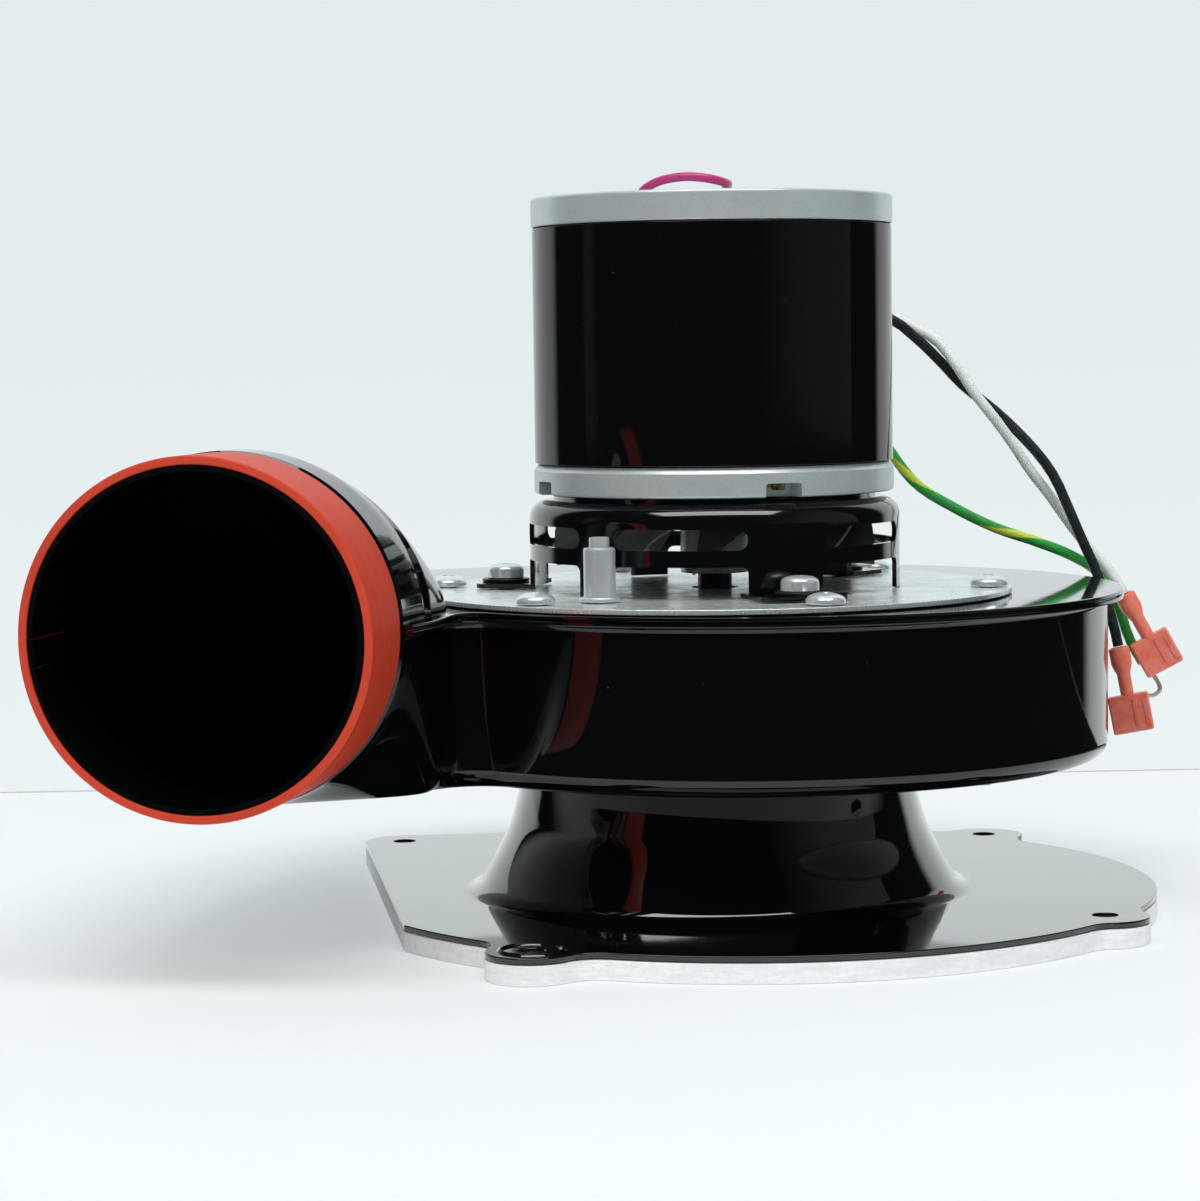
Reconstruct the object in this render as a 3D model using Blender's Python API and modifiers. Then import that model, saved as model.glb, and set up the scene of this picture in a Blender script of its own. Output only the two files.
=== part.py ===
"""Furnace draft inducer: a motor on a slotted bracket drives a wheel in a steel scroll housing.

Metres, +Z up. The motor axis is the Z axis while the pieces are built, and the underside of
the base gasket is at zero. At the end everything is moved sideways so that the middle of the
footprint of the whole object, without its free leads, stands at the origin.
"""
import math

import bmesh
import bpy
import numpy as np
from mathutils import Matrix, Vector

# Clearances and sheet
FIT_GAP = 0.0003
SHEET = 0.0010
CUT_OVERRUN = 0.0020
FUSE_DEPTH = 0.0004
WELD_DISTANCE = 0.000002
SMOOTH_ANGLE = math.radians(32.0)

# Base plate and its gasket
GASKET_THICKNESS = 0.0045
GASKET_BORE_CLEARANCE = 0.0026
BASE_SHEET = 0.0012
BASE_RADIUS = 0.0943
BASE_CENTRE_X = 0.0082
BASE_CENTRE_Y = 0.0001
EAR_RADIUS = 0.0100
EAR_FILLET = 0.0080
EAR_HOLE_RADIUS = 0.0029
FRONT_EAR_OUTSET = 0.0034
SIDE_EAR_OUTSET = -0.0039
BACK_EAR_OUTSET = 0.0032
CORNER_OUTSET = 0.0204
FRONT_EAR_BEARING = math.radians(-123.1)
SIDE_EAR_BEARING = math.radians(-35.1)
BACK_EAR_BEARING = math.radians(47.6)
CORNER_EAR_BEARING = math.radians(137.2)
LEFT_EDGE_NORMAL = math.radians(185.9)
EMBOSS_RADIUS = 0.0075
EMBOSS_WIDTH = 0.0016
EMBOSS_HEIGHT = 0.0005

# Inlet cone, drawn up from the base plate
INLET_RADIUS = 0.0400
CONE_LIP_WIDTH = 0.0058
CONE_SHOULDER_OUTSET = 0.0024
CONE_SHOULDER_DROP = 0.0114
CONE_FLARE = 0.0073
CONE_FOOT_FILLET = 0.0050
CONE_FOOT_SLOPE = math.radians(28.0)
CONE_WAIST_DROP_SHARE = 0.5
CONE_WAIST_SPREAD_SHARE = 0.43

# Scroll housing
PAN_FLOOR = 0.0353
PAN_DEPTH = 0.0383
PAN_EDGE_RADIUS = 0.0042
SCROLL_MARGIN = 0.0161
SCROLL_CENTRE_X = 0.0090
SCROLL_CENTRE_Y = 0.0160
SCROLL_TURN = math.radians(45.0)
TONGUE_RADIUS = 0.0080
RIM_WIDTH = 0.0037
RIM_END_WIDTH = 0.0020
RIM_RUN_OUT = 0.0140
RIM_FILLET = 0.0014
RIM_FILLET_SHARE = 0.6
COVER_BORE_INSET = 0.0040
COVER_CROWN_SHARE = 0.45
DRAIN_BOSS_RADIUS = 0.0040
DRAIN_BOSS_HEIGHT = 0.0012
DRAIN_BOSS_INSET = 0.0118
DRAIN_BOSS_CROWN_SHARE = 0.6
DRAIN_BOSS_BEARING = math.radians(-50.0)

# Outlet neck, its shoulder and the sleeve
OUTLET_BEARING = math.radians(13.0)
OUTLET_SIDE_OUTSET = 0.00984
OUTLET_MOUTH_OUTSET = 0.04854
NECK_INSET = 0.0024
NECK_LENGTH = 0.0230
NECK_STEP = 0.0016
SLEEVE_LENGTH = 0.0226
SLEEVE_WALL = 0.0019
DOME_STRAIGHT = 0.0100
DOME_LENGTH = 0.0760
DOME_PLATE_CLEARANCE = 0.0035

# Motor plate on the cover
PLATE_SHEET = 0.0012
PLATE_SCREW_CLEARANCE = 0.0084
PLATE_MARGIN = 0.0052
PLATE_SHAFT_CLEARANCE = 0.0016
PLATE_SCREW_BEARING = math.radians(-72.0)

# Screws
SCREW_SHANK_RADIUS = 0.0019
SCREW_HEAD_RADIUS = 0.0044
SCREW_HEAD_HEIGHT = 0.0026
SCREW_DEPTH = 0.0042
SCREW_CROWN_SHARE = 0.72
SCREW_SIDE_SHARE = 0.25
FOOT_SCREW_HEAD_RADIUS = 0.0043
FOOT_SCREW_HEAD_HEIGHT = 0.0034
WASHER_RADIUS = 0.0056
WASHER_THICKNESS = 0.0010

# Pressure tap
TAP_OUTSET = 0.0083
TAP_BEARING = math.radians(-123.5)
TAP_FLANGE_RADIUS = 0.0046
TAP_FLANGE_HEIGHT = 0.0009
TAP_BODY_RADIUS = 0.00355
TAP_BODY_HEIGHT = 0.0110
TAP_TIP_RADIUS = 0.00225
TAP_TIP_HEIGHT = 0.0023
TAP_BORE_RADIUS = 0.0012
TAP_STEM_RADIUS = 0.0024
TAP_STEM_DEPTH = 0.0040
TAP_EDGE = 0.0003

# Motor bracket
BRACKET_OUTSET = 0.0015
BRACKET_SHEET = 0.0011
BRACKET_HEIGHT = 0.0212
BRACKET_CORNER = 0.0045
BRACKET_BORE_CLEARANCE = 0.0005
SLOT_DROP = 0.0055
SLOT_HEIGHT = 0.0047
WINDOW_DROP = 0.0139
WINDOW_CORNER = 0.0016
LEG_ANGLE = math.radians(24.0)
POST_ANGLE = math.radians(13.0)
FOOT_LENGTH = 0.0123
FOOT_HALF_WIDTH = 0.0105
FOOT_CORNER = 0.0035
FOOT_CHORD_SHARES = (0.3, -0.3)
FOOT_SCREW_OUTSET = 0.0067

# Motor
MOTOR_LENGTH = 0.0684
MOTOR_SEAT_RISE = 0.0013
MOTOR_SEAT_INSET = 0.0171
SHELL_RADIUS = 0.0418
CAP_OUTSET = 0.0002
SHELL_WALL = 0.0011
TOP_CAP_HEIGHT = 0.0067
BOTTOM_CAP_HEIGHT = 0.0068
CAP_EDGE = 0.0008
CAP_WEB = 0.0035
CAP_BOSS_WALL = 0.0040
TOP_BOSS_RISE = 0.0012
RIM_SEAT = 0.0028
BOSS_DEPTH = 0.0060
BEARING_RADIUS = 0.0085
BEARING_LENGTH = 0.0110
VENT_SPAN = math.radians(29.0)
VENT_WIDTH = 0.0060
VENT_INSET = 0.0178
BOLT_RADIUS = 0.00165
BOLT_INSET = 0.0035
BOLT_END_RISE = 0.0016
BOLT_HEAD_RADIUS = 0.0029
BOLT_HEAD_HEIGHT = 0.0018
BOLT_BEARING = math.radians(-72.0)
NOTCH_WIDTH = 0.0086
NOTCH_HEIGHT = 0.0032
NOTCH_DEPTH = 0.0062

# Stator and rotor
STACK_LOW_CLEARANCE = 0.0123
STACK_HIGH_CLEARANCE = 0.0126
STACK_INSET = 0.0058
ROTOR_AIR_GAP = 0.0006
SLOT_WIDTH = 0.0052
SLOT_DEPTH = 0.0080
SLOT_LIP = 0.0018
END_TURN_HEIGHT = 0.0075
END_TURN_GAP = 0.0008
ROTOR_RADIUS = 0.0146
ROTOR_OVERHANG = 0.0030
END_RING_WIDTH = 0.0045
SHAFT_RADIUS = 0.00397
SHAFT_LOW_RISE = 0.0025
SHAFT_CHAMFER = 0.0005
SHAFT_HEADROOM = 0.0018

# Cooling fan in the bracket
FAN_CLEARANCE = 0.0058
FAN_HUB_RADIUS = 0.0080
FAN_DROP = 0.0046
FAN_HUB_LENGTH = 0.0130
FAN_DISC_RADIUS = 0.0150
FAN_BLADE_HEIGHT = 0.0105
FAN_BLADE_WIDTH = 0.0135
FAN_BLADE_TIP_WIDTH = 0.0190
FAN_SHEET = 0.0008
FAN_PITCH = math.radians(38.0)
FAN_TWIST_SHARE = 0.40
FAN_ROOT_WIDTH_SHARE = 0.45

# Wheel in the scroll
WHEEL_CLEARANCE = 0.0035
WHEEL_EYE_INSET = 0.0030
WHEEL_BLADE_INSET = 0.0040
WHEEL_FLOOR_CLEARANCE = 0.0077
WHEEL_SEAM_CLEARANCE = 0.0031
WHEEL_SHEET = 0.0009
WHEEL_EYE_LIP = 0.00225
WHEEL_HUB_RADIUS = 0.0105
WHEEL_SEAT_RADIUS = 0.0150
BLADE_SWEEP = math.radians(22.0)
BLADE_CURL_SHARE = 1.4
HUB_RISE = 0.0090
HUB_COLLAR_HEIGHT = 0.0020
SET_SCREW_RADIUS = 0.0020
SET_SCREW_SOCKET = 0.0011
SET_SCREW_RISE = 0.0170

# Leads and flag terminals
LEAD_RADIUS = 0.0013
JUMPER_RADIUS = 0.00105
STRAND_RADIUS = 0.0006
GROMMET_HEIGHT_SHARE = 0.4985
GROMMET_BEARING = math.radians(62.0)
GROMMET_RADIUS = 0.0066
GROMMET_NECK_RADIUS = 0.0050
GROMMET_PROUD = 0.0022
GROMMET_INSET = 0.0040
LEAD_SPACING = 0.0016
JUMPER_EYE_RADIUS = 0.0019
FLAG_LENGTH = 0.0095
FLAG_WIDTH = 0.0100
FLAG_THICKNESS = 0.0034
FLAG_NECK_RADIUS = 0.0017
FLAG_NECK_LENGTH = 0.0052
FLAG_BARREL_RADIUS = 0.0026
FLAG_BARREL_LENGTH = 0.0070
FLAG_MOUTH_WIDTH = 0.0064
FLAG_MOUTH_HEIGHT = 0.0010
FLAG_MOUTH_DEPTH = 0.0070
FLAG_EDGE = 0.0005
FLAG_RIM_WIDTH_SHARE = 0.85
FLAG_RIM_LENGTH_SHARE = 0.3
FLAG_CRIMP_SHARE = 0.6
FLAG_FACE_SHARES = (-0.25, -1.0, 0.0)
BLACK_FLAG_SHARES = (0.18, -0.05, -1.0)
WHITE_FLAG_SHARES = (0.55, -0.05, -1.0)

# Counts
FOOT_COUNT = 3
PLATE_SCREW_COUNT = 6
BOLT_COUNT = 4
VENT_COUNT = 4
STACK_SLOTS = 6
FAN_BLADES = 8
WHEEL_BLADES = 18
TURN_STEPS = 32
MOTOR_STEPS = 26
SMALL_STEPS = 10
BORE_STEPS = 16
PIN_STEPS = 8
PLATE_STEPS = 40
DOME_STEPS = 10
LEFT_ARC_STEPS = 12
RIGHT_ARC_STEPS = 17
TONGUE_STEPS = 4
STRAIGHT_STEPS = 3
ROUTE_POINTS = 20
JUMPER_POINTS = 16
STRAND_POINTS = 8
ROUTE_SAMPLES = 24
LEAD_BEVEL_STEPS = 2
EDGE_STEPS = 2
EAR_STEPS = 7
BASE_ARC_STEPS = 9
CORNER_ARC_STEPS = 5
LEFT_EDGE_STEPS = 3
NECK_CHANGE_STEPS = 5
DOME_FALL_STEPS = 9
VENT_OUTER_STEPS = 4
VENT_INNER_STEPS = 3
OBROUND_STEPS = 3
BLADE_STEPS = 2

# Radii that follow from the sizes above
CAP_RADIUS = SHELL_RADIUS + CAP_OUTSET
CAP_BOSS_RADIUS = BEARING_RADIUS + CAP_BOSS_WALL
MOTOR_SEAT_RADIUS = SHELL_RADIUS - MOTOR_SEAT_INSET
BOLT_CIRCLE_RADIUS = SHELL_RADIUS - BOLT_INSET
VENT_CIRCLE_RADIUS = SHELL_RADIUS - VENT_INSET
STACK_RADIUS = SHELL_RADIUS - STACK_INSET
STACK_BORE_RADIUS = ROTOR_RADIUS + ROTOR_AIR_GAP
BRACKET_RADIUS = SHELL_RADIUS + BRACKET_OUTSET
BRACKET_BORE_RADIUS = CAP_BOSS_RADIUS + BRACKET_BORE_CLEARANCE
FAN_RADIUS = BRACKET_RADIUS - FAN_CLEARANCE
TAP_CIRCLE_RADIUS = BRACKET_RADIUS + TAP_OUTSET
FOOT_RADIUS = BRACKET_RADIUS + FOOT_LENGTH
FOOT_SCREW_CIRCLE_RADIUS = BRACKET_RADIUS + FOOT_SCREW_OUTSET
PLATE_SCREW_CIRCLE_RADIUS = FOOT_RADIUS + PLATE_SCREW_CLEARANCE
PLATE_RADIUS = PLATE_SCREW_CIRCLE_RADIUS + PLATE_MARGIN
COVER_BORE_RADIUS = PLATE_SCREW_CIRCLE_RADIUS - COVER_BORE_INSET
WHEEL_RADIUS = COVER_BORE_RADIUS - WHEEL_CLEARANCE
WHEEL_EYE_RADIUS = INLET_RADIUS - WHEEL_EYE_INSET
WHEEL_BLADE_INNER_RADIUS = WHEEL_EYE_RADIUS - WHEEL_BLADE_INSET
SCROLL_RADIUS = PLATE_RADIUS + SCROLL_MARGIN
DRAIN_BOSS_CIRCLE_RADIUS = SCROLL_RADIUS - DRAIN_BOSS_INSET
CONE_TOP_RADIUS = INLET_RADIUS + CONE_LIP_WIDTH
CONE_SHOULDER_RADIUS = CONE_TOP_RADIUS + CONE_SHOULDER_OUTSET
CONE_FOOT_RADIUS = CONE_SHOULDER_RADIUS + CONE_FLARE
CONE_EDGE_RADIUS = CONE_FOOT_RADIUS + CONE_FOOT_FILLET * math.cos(CONE_FOOT_SLOPE)
GASKET_BORE_RADIUS = CONE_EDGE_RADIUS + GASKET_BORE_CLEARANCE
FRONT_EAR_RADIUS = BASE_RADIUS + FRONT_EAR_OUTSET
SIDE_EAR_RADIUS = BASE_RADIUS + SIDE_EAR_OUTSET
BACK_EAR_RADIUS = BASE_RADIUS + BACK_EAR_OUTSET
CORNER_RADIUS = BASE_RADIUS + CORNER_OUTSET

# Heights that follow from the sizes above
BASE_LOW = GASKET_THICKNESS + FIT_GAP
BASE_TOP = BASE_LOW + BASE_SHEET
CONE_TOP = PAN_FLOOR - FIT_GAP
CONE_SHOULDER_HEIGHT = CONE_TOP - CONE_SHOULDER_DROP
SEAM = PAN_FLOOR + PAN_DEPTH
WHEEL_LOW = PAN_FLOOR + WHEEL_FLOOR_CLEARANCE
WHEEL_HIGH = SEAM - WHEEL_SEAM_CLEARANCE
HUB_LOW = WHEEL_LOW + HUB_RISE
SET_SCREW_HEIGHT = WHEEL_LOW + SET_SCREW_RISE
SHAFT_LOW = WHEEL_LOW + SHAFT_LOW_RISE
COVER_LOW = SEAM + FIT_GAP
COVER_TOP = COVER_LOW + SHEET
PLATE_LOW = COVER_TOP + FIT_GAP
PLATE_TOP = PLATE_LOW + PLATE_SHEET
FOOT_LOW = PLATE_TOP + FIT_GAP
FOOT_TOP = FOOT_LOW + BRACKET_SHEET
WASHER_LOW = FOOT_TOP + FIT_GAP
WASHER_TOP = WASHER_LOW + WASHER_THICKNESS
BRACKET_TOP = PLATE_TOP + BRACKET_HEIGHT
SLOT_HIGH = BRACKET_TOP - SLOT_DROP
SLOT_LOW = SLOT_HIGH - SLOT_HEIGHT
WINDOW_HIGH = BRACKET_TOP - WINDOW_DROP
FAN_HUB_HIGH = BRACKET_TOP - FAN_DROP
FAN_HUB_LOW = FAN_HUB_HIGH - FAN_HUB_LENGTH
MOTOR_BOTTOM = BRACKET_TOP + MOTOR_SEAT_RISE
MOTOR_TOP = MOTOR_BOTTOM + MOTOR_LENGTH
BOLT_END = MOTOR_BOTTOM + BOLT_END_RISE
BOTTOM_CAP_TOP = MOTOR_BOTTOM + BOTTOM_CAP_HEIGHT
TOP_CAP_LOW = MOTOR_TOP - TOP_CAP_HEIGHT
STACK_BOTTOM = BOTTOM_CAP_TOP + STACK_LOW_CLEARANCE
STACK_TOP = TOP_CAP_LOW - STACK_HIGH_CLEARANCE
SHAFT_TOP = MOTOR_TOP + TOP_BOSS_RISE - SHAFT_HEADROOM
GROMMET_HEIGHT = MOTOR_BOTTOM + MOTOR_LENGTH * GROMMET_HEIGHT_SHARE

# Places that follow from the sizes above
INWARD = Vector((math.sin(OUTLET_BEARING), math.cos(OUTLET_BEARING)))
ACROSS = Vector((math.cos(OUTLET_BEARING), -math.sin(OUTLET_BEARING)))
DUCT_HALF = PAN_DEPTH
NECK_RADIUS = DUCT_HALF - NECK_INSET
SHOULDER = NECK_LENGTH + NECK_STEP
SCROLL_CENTRE = Vector((SCROLL_CENTRE_X, SCROLL_CENTRE_Y))
BASE_CENTRE = Vector((BASE_CENTRE_X, BASE_CENTRE_Y))
OUTLET = (SCROLL_CENTRE - ACROSS * (SCROLL_RADIUS + OUTLET_SIDE_OUTSET)
          - INWARD * (SCROLL_RADIUS + OUTLET_MOUTH_OUTSET))

# Colours and finishes
GLOSS_BLACK = ("gloss black enamel", (0.012, 0.012, 0.013), 0.0, 0.12)
FIBRE_WHITE = ("white fibre", (0.80, 0.81, 0.80), 0.0, 0.9)
SILICONE_RED = ("red silicone", (0.60, 0.075, 0.025), 0.0, 0.45)
ZINC = ("zinc plate", (0.60, 0.64, 0.65), 1.0, 0.28)
BLACK_OXIDE = ("black oxide", (0.02, 0.02, 0.022), 0.6, 0.35)
CAST_GREY = ("cast alloy", (0.33, 0.34, 0.35), 0.8, 0.42)
BRASS_TONE = ("yellow passivate", (0.55, 0.42, 0.16), 1.0, 0.35)
LAMINATION = ("lamination steel", (0.30, 0.30, 0.31), 0.9, 0.5)
COPPER = ("winding copper", (0.55, 0.22, 0.10), 0.9, 0.4)
BRONZE = ("sintered bronze", (0.42, 0.28, 0.14), 0.9, 0.5)
FAN_GREY = ("plain sheet", (0.42, 0.43, 0.43), 0.9, 0.4)
RUBBER = ("black rubber", (0.02, 0.02, 0.02), 0.0, 0.7)
LEAD_BLACK = ("black insulation", (0.015, 0.02, 0.022), 0.0, 0.4)
LEAD_WHITE = ("white insulation", (0.72, 0.76, 0.72), 0.0, 0.45)
LEAD_GREEN = ("green and yellow insulation", (0.05, 0.45, 0.08), 0.0, 0.45)
LEAD_PINK = ("magenta insulation", (0.55, 0.06, 0.22), 0.0, 0.45)
STRAND = ("tinned strand", (0.70, 0.72, 0.68), 1.0, 0.35)
NYLON_RED = ("red nylon", (0.80, 0.12, 0.08), 0.0, 0.3)

for old in list(bpy.data.objects):
    bpy.data.objects.remove(old, do_unlink=True)

SOLIDS = bpy.data.collections.new("Furnace draft inducer")
CUTTERS = bpy.data.collections.new("Cutters")
bpy.context.scene.collection.children.link(SOLIDS)
bpy.context.scene.collection.children.link(CUTTERS)


def finish_of(recipe):
    """One Principled material for one piece."""
    name, colour, metallic, roughness = recipe
    made = bpy.data.materials.new(name)
    made.use_nodes = True
    shader = made.node_tree.nodes["Principled BSDF"]
    shader.inputs["Base Color"].default_value = (*colour, 1.0)
    shader.inputs["Metallic"].default_value = metallic
    shader.inputs["Roughness"].default_value = roughness
    made.diffuse_color = (*colour, 1.0)
    return made


def polar(reach, bearing, centre=(0.0, 0.0)):
    return Vector((centre[0] + reach * math.cos(bearing), centre[1] + reach * math.sin(bearing)))


def arc(centre, radius, start, end, steps):
    """Points of an arc from bearing start to bearing end."""
    turn = (end - start) / steps
    return [polar(radius, start + turn * i, centre) for i in range(steps + 1)]


def keep(piece, name, recipe):
    """Names a finished piece, gives it its material and puts it with the solids."""
    piece.name = name
    piece.data.name = name
    piece.data.materials.clear()
    piece.data.materials.append(finish_of(recipe))
    SOLIDS.objects.link(piece)
    return piece


def smooth(piece, angle=SMOOTH_ANGLE):
    piece.data.shade_smooth()
    piece.data.set_sharp_from_angle(angle=angle)


def mesh_piece(verts, faces, edges=()):
    data = bpy.data.meshes.new("mesh")
    data.from_pydata([tuple(v) for v in verts], list(edges), list(faces))
    return bpy.data.objects.new("piece", data)


def turned(profile, steps=TURN_STEPS, closed=True):
    """A closed profile of (radius, height), down its outer side, turned about Z."""
    verts = [(r, 0.0, z) for r, z in profile]
    count = len(verts)
    edges = [(i, i + 1) for i in range(count - 1)]
    if closed:
        edges.append((count - 1, 0))
    piece = mesh_piece(verts, [], edges)
    screw = piece.modifiers.new("turn", "SCREW")
    screw.axis = "Z"
    screw.angle = math.tau
    screw.steps = steps
    screw.render_steps = steps
    screw.use_merge_vertices = True
    screw.merge_threshold = WELD_DISTANCE
    screw.use_smooth_shade = False
    return piece


def solid_of(piece, angle=SMOOTH_ANGLE):
    """The mesh that the modifiers of a piece make, as a piece of its own."""
    if not piece.users_collection:
        bpy.context.scene.collection.objects.link(piece)
    bpy.context.view_layer.update()
    graph = bpy.context.evaluated_depsgraph_get()
    data = bpy.data.meshes.new_from_object(piece.evaluated_get(graph), depsgraph=graph)
    data.transform(piece.matrix_world)
    made = bpy.data.objects.new(piece.name, data)
    bpy.data.objects.remove(piece, do_unlink=True)
    work = bmesh.new()
    work.from_mesh(data)
    bmesh.ops.remove_doubles(work, verts=work.verts, dist=WELD_DISTANCE)
    bmesh.ops.recalc_face_normals(work, faces=work.faces)
    work.to_mesh(data)
    work.free()
    smooth(made, angle)
    return made


def plate(loops, low, high):
    """Flat outlines, the first one the outer edge, filled from one height to another."""
    flat = bpy.data.curves.new("outline", "CURVE")
    flat.dimensions = "2D"
    flat.fill_mode = "BOTH"
    flat.extrude = (high - low) / 2
    for loop in loops:
        line = flat.splines.new("POLY")
        line.points.add(len(loop) - 1)
        for point, place in zip(line.points, loop):
            point.co = (place[0], place[1], 0.0, 1.0)
        line.use_cyclic_u = True
    piece = bpy.data.objects.new("outline", flat)
    piece.location = (0.0, 0.0, (high + low) / 2)
    return solid_of(piece)


def loft(rings, close_rings=True, capped=True):
    """Skins rings that have the same number of points."""
    count = len(rings[0])
    verts = [point for ring in rings for point in ring]
    faces = []
    last = count if close_rings else count - 1
    for low in range(len(rings) - 1):
        for i in range(last):
            j = (i + 1) % count
            start = low * count
            faces.append((start + i, start + j, start + count + j, start + count + i))
    if capped:
        faces.append(tuple(reversed(range(count))))
        top = (len(rings) - 1) * count
        faces.append(tuple(range(top, top + count)))
    piece = mesh_piece(verts, faces)
    work = bmesh.new()
    work.from_mesh(piece.data)
    bmesh.ops.recalc_face_normals(work, faces=work.faces)
    work.to_mesh(piece.data)
    work.free()
    return piece


def rod(radius, low, high, x=0.0, y=0.0, steps=SMALL_STEPS):
    """An upright round bar."""
    work = bmesh.new()
    bmesh.ops.create_cone(work, cap_ends=True, segments=steps, radius1=radius, radius2=radius,
                          depth=high - low, matrix=Matrix.Translation((x, y, (low + high) / 2)))
    data = bpy.data.meshes.new("rod")
    work.to_mesh(data)
    work.free()
    piece = bpy.data.objects.new("rod", data)
    return piece


def block(size, matrix):
    """A box of the given size, placed by a matrix."""
    work = bmesh.new()
    bmesh.ops.create_cube(work, size=1.0, matrix=matrix @ Matrix.Diagonal((*size, 1.0)))
    data = bpy.data.meshes.new("block")
    work.to_mesh(data)
    work.free()
    return bpy.data.objects.new("block", data)


def merged(pieces):
    """Several separate closed solids as one object, for one Boolean."""
    work = bmesh.new()
    for piece in pieces:
        data = piece.data
        data.transform(piece.matrix_world)
        work.from_mesh(data)
        bpy.data.objects.remove(piece, do_unlink=True)
    data = bpy.data.meshes.new("group")
    work.to_mesh(data)
    work.free()
    return bpy.data.objects.new("group", data)


def placed(piece, matrix):
    piece.data.transform(matrix)
    return piece


def stitched(piece, other):
    """Joins two solids that share a wall face for face, and takes that wall out."""
    whole = merged([piece, other])
    work = bmesh.new()
    work.from_mesh(whole.data)
    bmesh.ops.remove_doubles(work, verts=work.verts, dist=WELD_DISTANCE)
    crowded = {edge for edge in work.edges if len(edge.link_faces) > 2}
    shared = [face for face in work.faces if sum(edge in crowded for edge in face.edges) > 1]
    bmesh.ops.delete(work, geom=shared, context="FACES")
    bmesh.ops.recalc_face_normals(work, faces=work.faces)
    work.to_mesh(whole.data)
    work.free()
    smooth(whole)
    return whole


def combine(piece, other, operation):
    """Adds an exact Boolean whose second solid is kept with the cutters."""
    other.name = piece.name + " " + operation.lower()
    CUTTERS.objects.link(other)
    other.hide_render = True
    other.display_type = "WIRE"
    step = piece.modifiers.new(operation.lower(), "BOOLEAN")
    step.operation = operation
    step.solver = "EXACT"
    step.object = other
    return piece


def ring_profile(inner, outer, low, high, edge=0.0):
    """Section of a plain ring, with its outer edges eased where an edge size is given."""
    if edge <= 0.0:
        return [(outer, high), (outer, low), (inner, low), (inner, high)]
    return [(outer - edge, high), (outer, high - edge), (outer, low + edge),
            (outer - edge, low), (inner, low), (inner, high)]


def obround(half_width, low, high, steps=OBROUND_STEPS):
    """Upright outline with round ends, in the plane of (across, height)."""
    radius = (high - low) / 2
    middle = (high + low) / 2
    right = arc((half_width - radius, middle), radius, -math.pi / 2, math.pi / 2, steps)
    left = arc((radius - half_width, middle), radius, math.pi / 2, 3 * math.pi / 2, steps)
    return right + left


def round_rectangle(half_width, low, high, corner, steps=1):
    """Upright outline with round corners, in the plane of (across, height)."""
    points = []
    for quarter, (x, z) in enumerate(((half_width - corner, high - corner),
                                      (corner - half_width, high - corner),
                                      (corner - half_width, low + corner),
                                      (half_width - corner, low + corner))):
        start = quarter * math.pi / 2
        points += arc((x, z), corner, start, start + math.pi / 2, steps)
    return points


def radial_cutter(outline, inner, outer, bearing):
    """An upright outline pushed outward along a bearing, from one reach to another."""
    out = Vector((math.cos(bearing), math.sin(bearing), 0.0))
    side = Vector((-math.sin(bearing), math.cos(bearing), 0.0))
    rings = []
    for reach in (inner, outer):
        rings.append([out * reach + side * p[0] + Vector((0.0, 0.0, p[1])) for p in outline])
    return loft(rings)


# Base plate with its drawn inlet cone, and the gasket


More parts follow.
